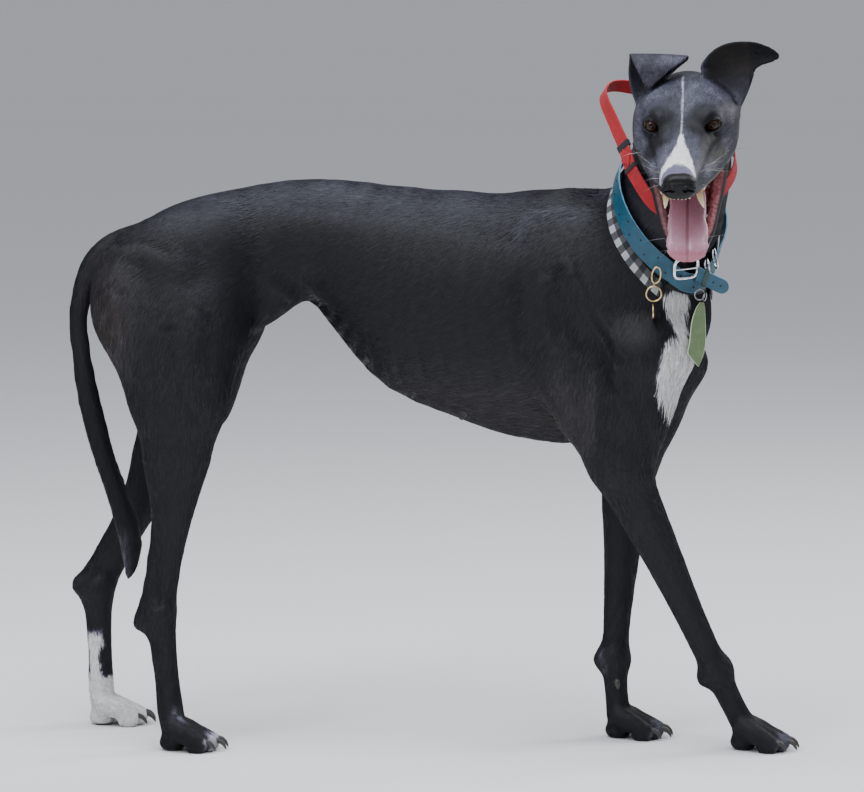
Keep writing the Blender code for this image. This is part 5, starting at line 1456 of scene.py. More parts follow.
def make_coat(name, chosen, count, seed, line, ref, slot, look=None):
    """Tufts rooted at random places of the chosen faces, with their own unwrap."""
    rng = np.random.default_rng(seed)
    tri = skin_faces[chosen]
    a, b, c = (skin_points[tri[:, i]] for i in range(3))
    weight = np.linalg.norm(np.cross(b - a, c - a), axis=1) / hair_length[tri].mean(1) ** 1.3
    weight *= (bare[tri].max(1) < 0.5)
    pick = rng.choice(len(tri), count, p=weight / weight.sum())
    r1, r2 = np.sqrt(rng.random(count)), rng.random(count)
    share = np.stack([1 - r1, r1 * (1 - r2), r1 * r2], 1)
    corner = tri[pick]

    def at_root(values):
        return (values[corner] * (share[:, :, None] if values.ndim == 2 else share)).sum(1)

    root, normal, way = at_root(skin_points), at_root(skin_normals), at_root(lie)
    normal /= np.linalg.norm(normal, axis=1)[:, None]
    length = at_root(hair_length) * rng.uniform(0.75, 1.2, count)
    lift = at_root(hair_lift) * rng.uniform(0.3, 1.7, count)
    side = np.cross(normal, way)
    side /= np.linalg.norm(side, axis=1)[:, None]
    turn = rng.normal(0, 0.10, count)[:, None]
    way = np.cross(side, normal)
    way, side = way * np.cos(turn) + side * np.sin(turn), side * np.cos(turn) - way * np.sin(turn)
    half = length * TUFT_SHARE * 0.5 * rng.uniform(0.8, 1.25, count)
    tip, tip_normal, keep = np.empty_like(root), np.empty_like(root), np.ones(count, bool)
    worn = worn_tree.find_nearest
    aim = root + way * length[:, None]
    wearing = (np.abs((root - COLLAR_CENTRE) @ COLLAR_AXIS) < .05) | (root[:, 0] > .18) & (root[:, 2] > .62)
    for i, p in enumerate(aim.tolist()):
        tip[i], tip_normal[i] = hide_tree.find_nearest(p)[:2]
        if wearing[i]:
            keep[i] = worn(root[i])[3] > 0.0018 and worn(tip[i])[3] > 0.0016
    reach = np.linalg.norm(tip - root, axis=1)
    keep &= reach > length * 0.5
    root, normal, way, side, half, tip, tip_normal, length, lift = (
        v[keep] for v in (root, normal, way, side, half, tip, tip_normal, length, lift))
    n = len(root)
    sag = np.maximum(length / 8 * ((tip_normal - normal) * way).sum(1), 0)
    top = root * 0.62 + tip * 0.38 + normal * (sag + 0.00016 + length * 0.008 + lift * 0.25)[:, None]
    sunk = root - normal * 0.00015
    verts = np.stack([sunk + side * half[:, None], sunk - side * half[:, None], top,
                      tip + tip_normal * lift[:, None]], 1)
    verts[..., 2] = np.maximum(verts[..., 2], 0.0002)
    ways = np.stack([normal + side * 0.5 - way * 0.15, normal - side * 0.5 - way * 0.15, normal,
                     tip_normal + way * 0.25], 1).reshape(-1, 3)
    ways /= np.linalg.norm(ways, axis=1)[:, None]
    faces = (np.array(((0, 1, 2), (0, 2, 3), (2, 1, 3), (0, 3, 1)))[None] + 4 * np.arange(n)[:, None, None])
    coat = mesh_object(name, verts.reshape(-1, 3) + MIDDLE, faces.reshape(-1, 3), coat_material)
    coat.data.normals_split_custom_set_from_vertices(ways)
    hair_pale, hair_brown, _ = marks(root)
    spread = 0.11 + 1.15 * hair_pale * (1.02 - hair_pale)
    hair_pale = np.clip(hair_pale + (rng.random(n) - 0.5) * spread, 0, 1)
    note(coat.data, "pale", np.repeat(hair_pale, 4))
    note(coat.data, "brown", np.repeat(hair_brown, 4))
    note(coat.data, "tone", np.repeat(rng.random(n), 4))
    flat = unwrap(root, line, ref) if look is None else look(root)
    patch = np.array(((-1, -1), (1, -1), (0, 0.2), (0, 1))) * 0.0015
    strand = np.array(((0, 0), (1, 0), (0.5, 0.4), (0.5, 1)))
    corners = faces.reshape(-1)
    for layer, place in (("OFBake", (flat[:, None, :] + patch[None]).reshape(-1, 2)),
                         ("strand", np.tile(strand, (n, 1)))):
        uv = coat.data.uv_layers.new(name=layer)
        uv.data.foreach_set("uv", place[corners].astype(np.float32).ravel())
    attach(coat, "root")


coat_paint = Paint("coat", Roughness=0.46, Specular_IOR_Level=0.24)
strand_uv = coat_paint.node('ShaderNodeUVMap', {"uv_map": "strand"})
tone = coat_paint.noted("tone")
spread_out = coat_paint.scaled(strand_uv, (7.0, 0.9, 0))
offset = coat_paint.node('ShaderNodeCombineXYZ', {}, (tone * 91.0, tone * 37.0, tone * 13.0))
streak_place = coat_paint.node('ShaderNodeVectorMath', {"operation": 'ADD'}, (spread_out, offset))
streak = coat_paint.noise(streak_place, 1.0, 2)
hair_colour = coat_paint.ramp(coat_paint.noted("pale") + (streak - 0.5) * 0.16, *HAIR_STOPS)
hair_colour = coat_paint.mix(coat_paint.noted("brown") * 0.8, hair_colour, BROWN_HAIR)
shade = 0.70 + tone * 0.45 + (streak - 0.5) * 0.5
hair_colour = coat_paint.node('ShaderNodeVectorMath', {"operation": 'SCALE'}, {0: hair_colour, 3: shade})
coat_material = coat_paint.wear(Base_Color=hair_colour, Roughness=0.38 + streak * 0.2,
                                Normal=coat_paint.bump((streak, 0.00012)))

hair_length, hair_lift = hair_at(skin_points, member)
hair_length *= np.clip((rim - 0.0020) / 0.009, 0.30, 1)
outward = skin_points - np.where((head_h[:, 1] > 0)[:, None], head_point(EYE_SEATS["left"]),
                                 head_point(EYE_SEATS["right"]))
outward -= skin_normals * (outward * skin_normals).sum(1)[:, None]
outward /= np.maximum(np.linalg.norm(outward, axis=1), 1e-6)[:, None]
lie = lie + outward * (3.0 * np.exp(-(np.minimum(rim, .05) / 0.006) ** 2))[:, None]
lie /= np.linalg.norm(lie, axis=1)[:, None]
face_member = member[skin_faces[:, 0]]
face_middle = skin_points[skin_faces].mean(1)


def faces_of(*names):
    """Which faces of the hide lie in the named parts."""
    return np.isin(face_member, [FLESH.index(n) for n in names])


TRUNK_LINE = ((-.40, 0, .58), (-.10, 0, .62), (.10, -.03, .55), (.30, -.12, .50))
NECK_LINE = ((.16, -.02, .60), (.25, -.07, .64), (.296, -.122, .70), (.303, -.205, .768))
middle_y = np.interp(face_middle[:, 0], (-.12, .06, .18, .28), (0, -.020, -.048, -.086))
make_coat("coat_trunk_right", faces_of("trunk") & (face_middle[:, 1] < middle_y), 47000, 11, TRUNK_LINE,
          (0, 0, 1), "trunk")
make_coat("coat_trunk_left", faces_of("trunk") & (face_middle[:, 1] >= middle_y), 43000, 12, TRUNK_LINE,
          (0, 0, 1), "trunk")
make_coat("coat_neck", faces_of("neck"), 27000, 13, NECK_LINE, (0, -1, 0), "neck")
make_coat("coat_head", faces_of("head"), 48500, 14,
          [head_point((f, 0, -.02)) for f in (-.13, .05, .15)], HEAD[2], "head")
make_coat("coat_lower_jaw", faces_of("lower_jaw"), 9000, 15,
          [head_point(jaw_point((f, 0, -.055))) for f in (-.05, .12)], HEAD[2], "lower_jaw")
for seed, (leg, end, side, count) in enumerate(((FORE_RIGHT, "fore", "right", 17000),
                                                (FORE_LEFT, "fore", "left", 17000),
                                                (HIND_RIGHT, "hind", "right", 27000),
                                                (HIND_LEFT, "hind", "left", 27000)), 16):
    line = (leg['top'], leg['mid'], leg['low'], leg['ball'], arr(leg['ball']) + foot_ways(leg)[1] * .06)
    node = end + "leg_" + side
    make_coat("coat_" + node, faces_of(node, end + "paw_" + side), count, seed, line, (0, 1, 0.01), node)
make_coat("coat_tail", faces_of("tail"), 11000, 20, [(x, 0, z) for x, z, _ in TAIL_LINE], (0, 1, 0), "tail")


def ear_unwrap(ear):
    """Unwrap of an ear: its front and its back side by side, root below."""
    def look(points):
        seen = ear.look(points)
        return np.stack([0.25 + 0.22 * seen[:, 3] + 0.5 * (seen[:, 2] > 0), 0.03 + 0.94 * seen[:, 1]], 1)
    return look


for seed, side in enumerate(("left", "right"), 21):
    make_coat("coat_ear_" + side, faces_of("ear_" + side), 8500, seed, None, None, "ear_" + side,
              ear_unwrap(ears[side]))

# ---------------------------------------------------------------- eyes
# Two round eyes close under the lids, about 21.6 mm across: a dark limbal ring, an amber-brown
# iris with fine spokes and a round pupil, all under a clear wet cornea that bulges a little.
IRIS, PUPIL = 7.3, 3.1      # radii in millimetres
CORNEA = 0.0009             # how far it bulges
towards_viewer = unit(HEAD @ unit(arr((0, -LENS_DISTANCE, LENS_HEIGHT)) - EYE_LINE))

eye_paint = Paint("eye", Roughness=0.15, Coat_Weight=0.34, Coat_Roughness=0.02, Specular_IOR_Level=0.1)
ring = eye_paint.noted("ring")
spoke = eye_paint.node('ShaderNodeCombineXYZ', {}, (eye_paint.noted("spoke_x") * 9.0,
                                                    eye_paint.noted("spoke_y") * 9.0, ring * 0.35))
fibre = eye_paint.noise(spoke, 1.6, 3)
iris = eye_paint.ramp(ring / IRIS + (fibre - 0.5) * 0.22, (0.38, (.016, .008, .004)),
                      (0.50, (.052, .024, .011)), (0.72, (.042, .018, .008)),
                      (0.88, (.016, .008, .005)), (1.0, (.004, .003, .003)))
white = eye_paint.mix(eye_paint.step(ring, IRIS, IRIS + 3.0), (.016, .010, .009), (.075, .055, .048))
ball = eye_paint.mix(eye_paint.step(ring, IRIS - 0.25, IRIS + 0.25), iris, white)
ball = eye_paint.mix(eye_paint.step(ring, PUPIL - 0.15, PUPIL + 0.2), (.002, .002, .002), ball)
eye_material = eye_paint.wear(Base_Color=ball)

for side in EYE_SEATS:
    seat, look, _, _ = eye_ways(side)
    gaze = unit(look * 0.80 + towards_viewer * 0.20)
    across = unit(np.cross(HEAD[2] @ HEAD.T, gaze))
    above = np.cross(gaze, across)
    tilts = np.concatenate([np.linspace(0, .80, 29)[1:], np.linspace(.80, math.pi, 15)[1:-1]])
    around = np.linspace(0, 2 * math.pi, 48, endpoint=False)
    verts, rings, spokes = [], [], []
    for tilt in tilts:
        size = EYE_RADIUS + CORNEA * max(0, 1 - (tilt / 0.60) ** 2)
        for a in around:
            way = gaze * math.cos(tilt) + (across * math.cos(a) + above * math.sin(a)) * math.sin(tilt)
            verts.append(head_point(seat + way * size) + MIDDLE)
            rings.append(EYE_RADIUS * 1000 * (math.sin(tilt) if tilt < math.pi / 2 else 1))
            spokes.append((math.cos(a), math.sin(a)))
    verts += [head_point(seat + gaze * size) + MIDDLE for size in (EYE_RADIUS + CORNEA, -EYE_RADIUS)]
    rings += [0.0, EYE_RADIUS * 1000]
    spokes += [(0, 0), (0, 0)]
    n, m = len(around), len(tilts)
    faces = [f[:1] + f[:0:-1] for f in tube_faces(m, n, capped=False)]
    faces += [(n * m, j, (j + 1) % n) for j in range(n)]
    faces += [(n * m + 1, (m - 1) * n + (j + 1) % n, (m - 1) * n + j) for j in range(n)]
    eye = mesh_object("eyeball_" + side, verts, faces, eye_material)
    note(eye.data, "ring", rings)
    note(eye.data, "spoke_x", [s[0] for s in spokes])
    note(eye.data, "spoke_y", [s[1] for s in spokes])
    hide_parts("eye_" + side)
    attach(eye, "root")
    "eye_" + side

# ---------------------------------------------------------------- nose
# Bare black leather at the tip of the muzzle, finely pebbled and wet: two comma-shaped nostrils
# with slits that run out to the sides, and a groove down the middle.
NOSE_CENTRE, NOSE_SIZE = (0.1330, 0.0010, -0.0265), (0.0127, 0.0200, 0.0152)


def nose_field(pts):
    """Distance from the leather of the nose, less its groove, nostrils and slits."""
    h = in_head(pts) - NOSE_CENTRE
    q = np.abs(h / NOSE_SIZE)
    size = ((q ** 2.5).sum(1)) ** 0.4
    n = np.linalg.norm(h, axis=1)
    d = n - n / np.maximum(size, 1e-6)
    f, l, u = h.T
    d = d + 0.0011 * np.exp(-(l / 0.0009) ** 2) * smooth_step(-u, -.003, .002)
    d = d + 0.0010 * np.exp(-((u - .0095 + 18 * l * l) / 0.0022) ** 2) * (f > -.004)
    s = np.abs(l)
    hole = np.sqrt(((f - .0098) / .0085) ** 2 + ((s - .0078) / .0036) ** 2 + ((u - .0005) / .0042) ** 2) - 1
    bend = u + .0010 + 55 * np.maximum(s - .0095, 0) ** 2
    slit = np.sqrt(((f - .0070) / .0120) ** 2 + ((s - .0130) / .0062) ** 2 + (bend / .0012) ** 2) - 1
    return np.maximum(d, -blend(hole * 0.0036, slit * 0.0012, 0.001))


nose_middle = head_point(NOSE_CENTRE)
nose_points, nose_faces = skin_net(nose_field, nose_middle - 0.025, nose_middle + 0.025, 0.0007)
nose_paint = Paint("nose_leather", Coat_Weight=0.14, Coat_Roughness=0.10, Specular_IOR_Level=0.18)
place = nose_paint.place()
pebble = nose_paint.cells(place, 1150)
nose_material = nose_paint.wear(
    Base_Color=nose_paint.mix(nose_paint.noise(place, 500, 3), (.0016, .0015, .0017), (.0060, .0052, .0060)),
    Roughness=0.28 + pebble * 0.25,
    Normal=nose_paint.bump((1 - pebble, 0.00030), (nose_paint.noise(place, 2600, 2), 0.00008)))
nose = mesh_object("nose_pad", nose_points + MIDDLE, nose_faces, nose_material)
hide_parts("nose")
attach(nose, "root")

# ---------------------------------------------------------------- tongue
# Soft wet muscle that lies in the jaw and hangs over its front, broad and flat at the tip, with a
# groove down the middle, edges turned up a little and a velvet of fine papillae.
TONGUE_RUN = [(jaw_point((f, 0, u)), half, arr(jaw_point((f, 0, u + thick))) - jaw_point((f, 0, u)))
              for f, u, half, thick in ((0.004, -0.040, .019, .0060), (0.035, -0.038, .0215, .0060),
                                        (0.065, -0.036, .0220, .0055), (0.092, -0.034, .0235, .0050),
                                        (0.110, -0.0335, .0245, .0045))]
for f, u, half, lean in ((0.0070, -0.0065, .0240, 35), (0.0100, -0.0125, .0215, 12),
                         (0.0104, -0.0175, .0165, 0), (0.0098, -0.0208, .0075, -5)):
    a = math.radians(lean)
    way = arr((math.cos(a), 0, math.sin(a)))
    TONGUE_RUN.append((arr(TONGUE_RUN[4][0]) + arr((f, 0, u)), half, way * 0.0036))
rows = spline([tuple(p) + (half,) + tuple(t) for p, half, t in TONGUE_RUN], 8)
verts, runs, shares = [], [], []
AROUND = 60
for i, row in enumerate(rows):
    run = i / (len(rows) - 1)
    middle, half, thick = row[:3], row[3], row[4:7]
    fade = min(1.0, (1 - run) * 9 + 0.25)
    for a in np.linspace(0, 2 * math.pi, AROUND, endpoint=False):
        x, y = math.cos(a), math.sin(a)
        x = math.copysign(abs(x) ** 0.85, x)
        lift = y * (0.72 + 0.10 * math.sin(run * 40 + x * 3) * (y > 0) * x * x)
        if y > 0:
            lift -= 0.50 * math.exp(-(x / 0.055) ** 2) * fade - 0.30 * x * x * abs(x) * y * 2
        side = x * (1 + 0.025 * math.sin(run * 31 + 2 * x) + 0.015 * math.sin(run * 57))
        verts.append(head_point(middle + arr((0, half * side, 0)) + thick * lift * 1.15) + MIDDLE)
        runs.append(run)
        shares.append(x)
tongue_paint = Paint("tongue", Coat_Weight=0.55, Coat_Roughness=0.16, Subsurface_Weight=0.12,
                     Subsurface_Scale=0.004, Subsurface_Radius=(1.0, 0.35, 0.25))
place = tongue_paint.place()
run, share = tongue_paint.noted("run"), tongue_paint.noted("share")
# painted shade: the groove down the middle of the tongue is darkened
groove_shade = tongue_paint.step(0.16 - share * share * 16.0, 0.0, 0.16)
papillae = tongue_paint.cells(place, 1250)
blotch = tongue_paint.noise(place, 190, 3)
# pink along the tongue: darker at the root inside the mouth as painted shade, a pale band on the upper
# hanging part as a painted sheen, darker pink again at the tip
pink = tongue_paint.ramp(run + (blotch - 0.5) * 0.25, (0.0, (.30, .09, .12)), (0.30, (.40, .19, .25)),
                         (0.58, (.50, .26, .335)), (0.70, (.42, .145, .205)), (1.0, (.36, .095, .135)))
pink = tongue_paint.mix(groove_shade * 0.50, pink, (.22, .060, .085))
pink = tongue_paint.mix(tongue_paint.step(papillae, .45, .05) * 0.30, pink, (.66, .38, .40))
tongue_material = tongue_paint.wear(
    Base_Color=pink, Roughness=0.30 + papillae * 0.25,
    Normal=tongue_paint.bump((1 - papillae, 0.00022), (blotch, 0.0006)))
tongue = mesh_object("tongue_soft", verts, tube_faces(len(rows), AROUND), tongue_material)
note(tongue.data, "run", runs)
note(tongue.data, "share", shares)


def turned_out(mesh):
    """Turn the faces so that their normals point out."""
    bm = bmesh.new()
    bm.from_mesh(mesh)
    bmesh.ops.recalc_face_normals(bm, faces=bm.faces)
    bm.to_mesh(mesh)
    bm.free()


turned_out(tongue.data)
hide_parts("tongue")
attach(tongue, "root")

# ---------------------------------------------------------------- teeth
# Ivory teeth, a little yellow at the root, set in ridges of wet pink gum: canines, three incisors
# and the pointed side teeth of each half, above and below.
def mirrored(rows):
    """Rows of one side, and the same again on the other."""
    return list(rows) + [(r[0], -r[1]) + tuple(r[2:]) for r in reversed(rows[:-1])]


teeth_paint = Paint("gum_and_teeth", Coat_Weight=0.6, Coat_Roughness=0.10)
place = teeth_paint.place()
blotch = teeth_paint.noise(place, 420, 3)
ivory = teeth_paint.ramp(teeth_paint.noted("crown") + (blotch - 0.5) * 0.3, (0.0, (.30, .17, .055)),
                         (0.45, (.50, .36, .17)), (1.0, (.70, .62, .45)))
gum = teeth_paint.mix(teeth_paint.step(blotch, .42, .62), (.38, .115, .125), (.085, .040, .045))
teeth_material = teeth_paint.wear(
    Base_Color=teeth_paint.mix(teeth_paint.noted("tooth"), gum, ivory),
    Roughness=0.34 - teeth_paint.noted("tooth") * 0.12,
    Normal=teeth_paint.bump((blotch, 0.00035), (teeth_paint.noise(place, 1600, 2), 0.00006)))


def gum_with_teeth(name, place, arch, teeth, node):
    """A ridge of gum along the arch with its teeth, each from root to end with a radius."""
    ridge = Loft([tuple(head_point(place(p[:3]))) + (p[3],) * 3 for p in arch], side=HEAD[2], sub=4, k=0.003)
    made = []
    for root, end, r in teeth:
        a, b = head_point(place(root)), head_point(place(end))
        bend = HEAD[0] * np.linalg.norm(b - a) * 0.07
        rows = (tuple(a) + (r,) * 3, tuple((a + b) / 2 + bend) + (r * 0.80,) * 3, tuple(b) + (r * 0.22,) * 3)
        made.append(Loft(rows, side=HEAD[1], sub=3, k=0.0010))
    field = union([ridge] + made)
    lo, hi = arr([m.lo for m in [ridge] + made]).min(0), arr([m.hi for m in [ridge] + made]).max(0)
    points, faces = skin_net(field, lo - 0.003, hi + 0.003, 0.0009)
    points = drawn_in(points, faces, field, .0006)
    gap = ridge(points)
    best, crown = np.full(len(points), 1.0), np.zeros(len(points))
    for tooth, (root, end, r) in zip(made, teeth):
        d = tooth(points)
        a, b = head_point(place(root)), head_point(place(end))
        t = np.clip((points - a) @ (b - a) / ((b - a) @ (b - a)), 0, 1)
        crown = np.where(d < best, t, crown)
        best = np.minimum(best, d)
    obj = mesh_object(name, points + MIDDLE, faces, teeth_material)
    note(obj.data, "tooth", smooth_step(gap - best, .0001, .0009))
    note(obj.data, "crown", crown)
    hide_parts(node)
    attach(obj, "root")


upper_teeth, lower_teeth = [], []
for s in (1, -1):
    upper_teeth.append(((0.101, s * 0.0185 + 0.002, -0.044), (0.104, s * 0.0225 + 0.004, -0.065), 0.0045))
    lower_teeth.append(((0.096, s * 0.0150, -0.048), (0.099, s * 0.0172, -0.0385), 0.0036))
    for f, l in ((0.1168, 0.0022), (0.1160, 0.0066), (0.1140, 0.0108)):
        upper_teeth.append(((f, s * l, -0.044), (f + 0.001, s * l, -0.0500), 0.0025))
        lower_teeth.append(((f - 0.0105, s * l * 0.9, -0.050), (f - 0.0095, s * l * 0.9, -0.0438), 0.0022))
    for f, l in ((0.088, 0.0225), (0.074, 0.0255), (0.058, 0.0285)):
        upper_teeth.append(((f, s * l, -0.046), (f, s * l, -0.0545), 0.0038))
    for f, l in ((0.080, 0.0195), (0.064, 0.0225), (0.048, 0.0255)):
        lower_teeth.append(((f, s * l, -0.049), (f, s * l, -0.0425), 0.0033))
gum_with_teeth("teeth_upper", lambda p: p,
               mirrored(((0.050, .0290, -.0455, .0040), (0.080, .0240, -.0455, .0042),
                         (0.101, .0190, -.0440, .0046), (0.1150, .0080, -.0430, .0036),
                         (0.1170, .0000, -.0430, .0034))), upper_teeth, "upper_teeth")
gum_with_teeth("teeth_lower", jaw_point,
               mirrored(((0.042, .0265, -.0500, .0036), (0.070, .0215, -.0505, .0036),
                         (0.094, .0150, -.0505, .0038), (0.1050, .0070, -.0510, .0034),
                         (0.1070, .0000, -.0510, .0034))), lower_teeth, "lower_teeth")

# ---------------------------------------------------------------- claws, teats and whiskers
# Blunt dark horn claws, one to a toe and a dewclaw on the inside of each foreleg; small leathery
# teats along the belly; stiff tapered whiskers on the muzzle, chin, cheeks and brows.
def tube(path, radii, sides, closed=False):
    """Round body along the points, or round them and back, with one radius or one for each."""
    path, verts, a = arr(path), [], None
    n = len(path)
    for i, radius in enumerate(np.broadcast_to(radii, n)):
        before, after = ((i - 1) % n, (i + 1) % n) if closed else (max(i - 1, 0), min(i + 1, n - 1))
        t = unit(path[after] - path[before])
        a = unit(np.cross(t, (0.31, 0.2, 0.93))) if a is None else unit(a - t * (a @ t))
        b = np.cross(t, a)
        for s in np.arange(sides) * 2 * math.pi / sides:
            verts.append(path[i] + (a * math.cos(s) + b * math.sin(s)) * radius)
    return verts, tube_faces(n, sides, closed)


def joined(bodies):
    """Points and faces of several bodies as one mesh."""
    verts, faces = [], []
    for v, f in bodies:
        base = len(verts)
        verts += list(v)
        faces += [tuple(i + base for i in face) for face in f]
    return arr(verts), faces


claw_paint = Paint("claw_horn", Coat_Weight=0.25, Coat_Roughness=0.3)
place = claw_paint.place()
growth = claw_paint.noise(claw_paint.scaled(place, (1, 1, 0.25)), 900, 3)
claw_material = claw_paint.wear(
    Base_Color=claw_paint.mix(growth, (.010, .009, .008), (.045, .038, .034)),
    Roughness=0.30 + growth * 0.3, Normal=claw_paint.bump((growth, 0.00025)))
for leg, node in ((HIND_RIGHT, "hindpaw_right"), (HIND_LEFT, "hindpaw_left"), (FORE_RIGHT, "forepaw_right"),
                  (FORE_LEFT, "forepaw_left")):
    ball, ahead, left = foot_ways(leg)
    bodies = []
    for lateral, length in TOES:
        tip = ball + ahead * length + left * lateral * 1.08
        path = [tip + ahead * a + arr((0, 0, z - ball[2])) for a, z in
                ((.004, .0135), (.008, .0140), (.012, .0128), (.0155, .0098), (.0180, .0058), (.0188, .0030))]
        bodies.append(tube(path, (.0036, .0036, .0031, .0025, .0016, .0005), 10))
    if 'withers' in leg:
        low, down = arr(leg['low']), unit(arr(leg['ball']) - arr(leg['low']))
        root = low + down * 0.022 + arr((0, -leg['out'] * 0.014, 0))
        way = arr((0.2, -leg['out'] * 0.7, 0))
        path = [root + way * a + down * b for a, b in ((0, 0), (.004, .004), (.006, .009), (.0055, .014))]
        bodies.append(tube(path, (.0042, .0034, .0024, .0006), 10))
    verts, faces = joined(bodies)
    claws = mesh_object("claws_" + node, verts + MIDDLE, faces, claw_material)
    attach(claws, "root")

teat_paint = Paint("teat_skin", Roughness=0.5)
wrinkle = teat_paint.noise(teat_paint.place(), 900, 3)
teat_material = teat_paint.wear(Base_Color=teat_paint.mix(wrinkle, (.008, .006, .006), (.030, .022, .022)),
                                Normal=teat_paint.bump((wrinkle, 0.0004)))
bodies = []
for x, y, size in ((-.138, -.030, .7), (-.081, -.041, 1.0), (-.022, -.048, .8), (.039, -.052, 1.15)):
    for s in (1, -1):
        centre = np.interp(x, (-.12, 0, .06), (0, -.013, -.020))
        hit = hide_tree.ray_cast(Vector((x, centre + s * (y - centre), -.1)), Vector((0, 0, 1)))
        p, n = arr(hit[0]), arr(hit[1])
        way = unit(n + arr((-.15, 0, -.35)))
        path = [p + way * a * size for a in (-.002, .0005, .002, .004, .006, .0072, .0076)]
        bodies.append(tube(path, arr((.0062, .0046, .0034, .0029, .0028, .0020, .0006)) * size, 14))
verts, faces = joined(bodies)
teats = mesh_object("teats", verts + MIDDLE, faces, teat_material)
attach(teats, "root")

rng = np.random.default_rng(31)
bodies, shades = [], []
roots = [(p, n, s, .011 + .0040 * k + .001 * row, 0.7) for p, n, s, k, row in whisker_roots if (k + row) % 2]
for at, size in (((.085, .018, -.128), .020), ((.070, .026, -.118), .024), ((.058, .020, -.138), .020),
                 ((.016, .052, -.030), .024), ((-.012, .055, -.040), .022)):
    for s in (1, -1):
        found = hide_tree.find_nearest(Vector(head_point((at[0], s * at[1], at[2]))))
        roots.append((arr(found[0]), arr(found[1]), s, size, 0.6))
for p, n, s, size, strong in roots:
    way = unit(n * 0.9 + HEAD[1] * s * 0.45 - HEAD[0] * 0.30 + rng.normal(0, .22, 3))
    size = size * rng.uniform(0.6, 1.15)
    fall = (-HEAD[0] * 0.35 + arr((0, 0, -0.30)) + rng.normal(0, .08, 3)) * size
    path = [p + way * size * t + fall * t * t for t in (-.02, .2, .4, .6, .8, 1.0)]
    bodies.append(tube(path, arr((.00030, .00026, .00021, .00016, .00011, .00004)) * (0.3 + 0.5 * strong), 5))
    shades += [float(rng.random() < 0.55)] * len(bodies[-1][0])
verts, faces = joined(bodies)
whisker_paint = Paint("whisker", Roughness=0.35)
whisker_material = whisker_paint.wear(Base_Color=whisker_paint.mix(
    whisker_paint.noted("shade") * 0.9 + whisker_paint.noise(whisker_paint.place(), 300) * 0.1,
    (.010, .010, .011), (.42, .41, .40)))
whiskers = mesh_object("whiskers", verts + MIDDLE, faces, whisker_material)
note(whiskers.data, "shade", shades)
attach(whiskers, "root")

# ---------------------------------------------------------------- check and black webbing
# The lowest collar: flat nylon webbing woven in a black, grey and white check, with a plain black
# length at the throat, both sewn across near their ends. The leather collar covers its upper edge.
SIDE_A = unit(np.cross(COLLAR_AXIS, (0, 0, 1)))
SIDE_B = np.cross(COLLAR_AXIS, SIDE_A)
SELVEDGE_TURNS = np.linspace(0, 2 * math.pi, 36, endpoint=False)


def height(p):
    """How far a point stands off the coat."""
    place, normal, _, distance = hide_tree.find_nearest(Vector(p))
    return math.copysign(distance, (Vector(p) - place).dot(normal)) - COAT_DEPTH


def cleared(low, high, ways, gap, closed):
    """Move a strap's two edges out until it stands off the flesh by the gap."""
    n = len(low)
    for _ in range(8):
        lift = np.zeros(n)
        for i in range(n):
            k = (i + 1) % n if closed else min(i + 1, n - 1)
            for a in (0, 0.25, 0.5, 0.75, 1):
                here, there = low[i] * (1 - a) + high[i] * a, low[k] * (1 - a) + high[k] * a
                short = gap - min(height(here), height((here + there) / 2))
                if short > 0:
                    lift[i] = max(lift[i], short)
                    lift[k] = max(lift[k], short * 0.6)
        low, high = low + ways * lift[:, None], high + ways * lift[:, None]
    return low, high


def softened(rows, closed, sub=5):
    """Smooth run through the rows, carried round where it closes."""
    if not closed:
        return spline(rows, sub)
    rows = np.concatenate([rows[-2:], rows, rows[:3]])
    return spline(rows, sub)[2 * sub:(len(rows) - 3) * sub]


def neck_ring(shift, width, gap, span=(0, 360), count=36):
    """Middle, flat side and outer side of a band round the neck; the span is in degrees."""
    closed = span[1] - span[0] >= 360
    turns = np.linspace(span[0], span[1], count + (0 if closed else 1), endpoint=not closed)
    ways = arr([SIDE_A * math.cos(t) + SIDE_B * math.sin(t) for t in np.radians(turns)])
    edges = []
    for o in (-1, 1):
        c = COLLAR_CENTRE + COLLAR_AXIS * (shift + o * width / 2)
        far = [hide_tree.ray_cast(Vector(c), Vector(d))[3] for d in ways]
        edges.append(arr([c + d * (reach + COAT_DEPTH + gap) for d, reach in zip(ways, far)]))
    if closed:
        edges = [(np.roll(v, 1, 0) + np.roll(v, -1, 0) + v * 2) / 4 for v in edges]
    low, high = cleared(edges[0], edges[1], ways, gap, closed)
    rows = softened(np.concatenate([(low + high) / 2, high - low, ways], 1), closed)
    wide = rows[:, 3:6] / np.linalg.norm(rows[:, 3:6], axis=1)[:, None]
    out = rows[:, 6:9] - wide * (rows[:, 6:9] * wide).sum(1)[:, None]
    return rows[:, :3], wide, out / np.linalg.norm(out, axis=1)[:, None], closed


def straight(path, wide, out):
    """Run of a flat strap that keeps its directions."""
    return path, np.tile(wide, (len(path), 1)), np.tile(out, (len(path), 1)), False


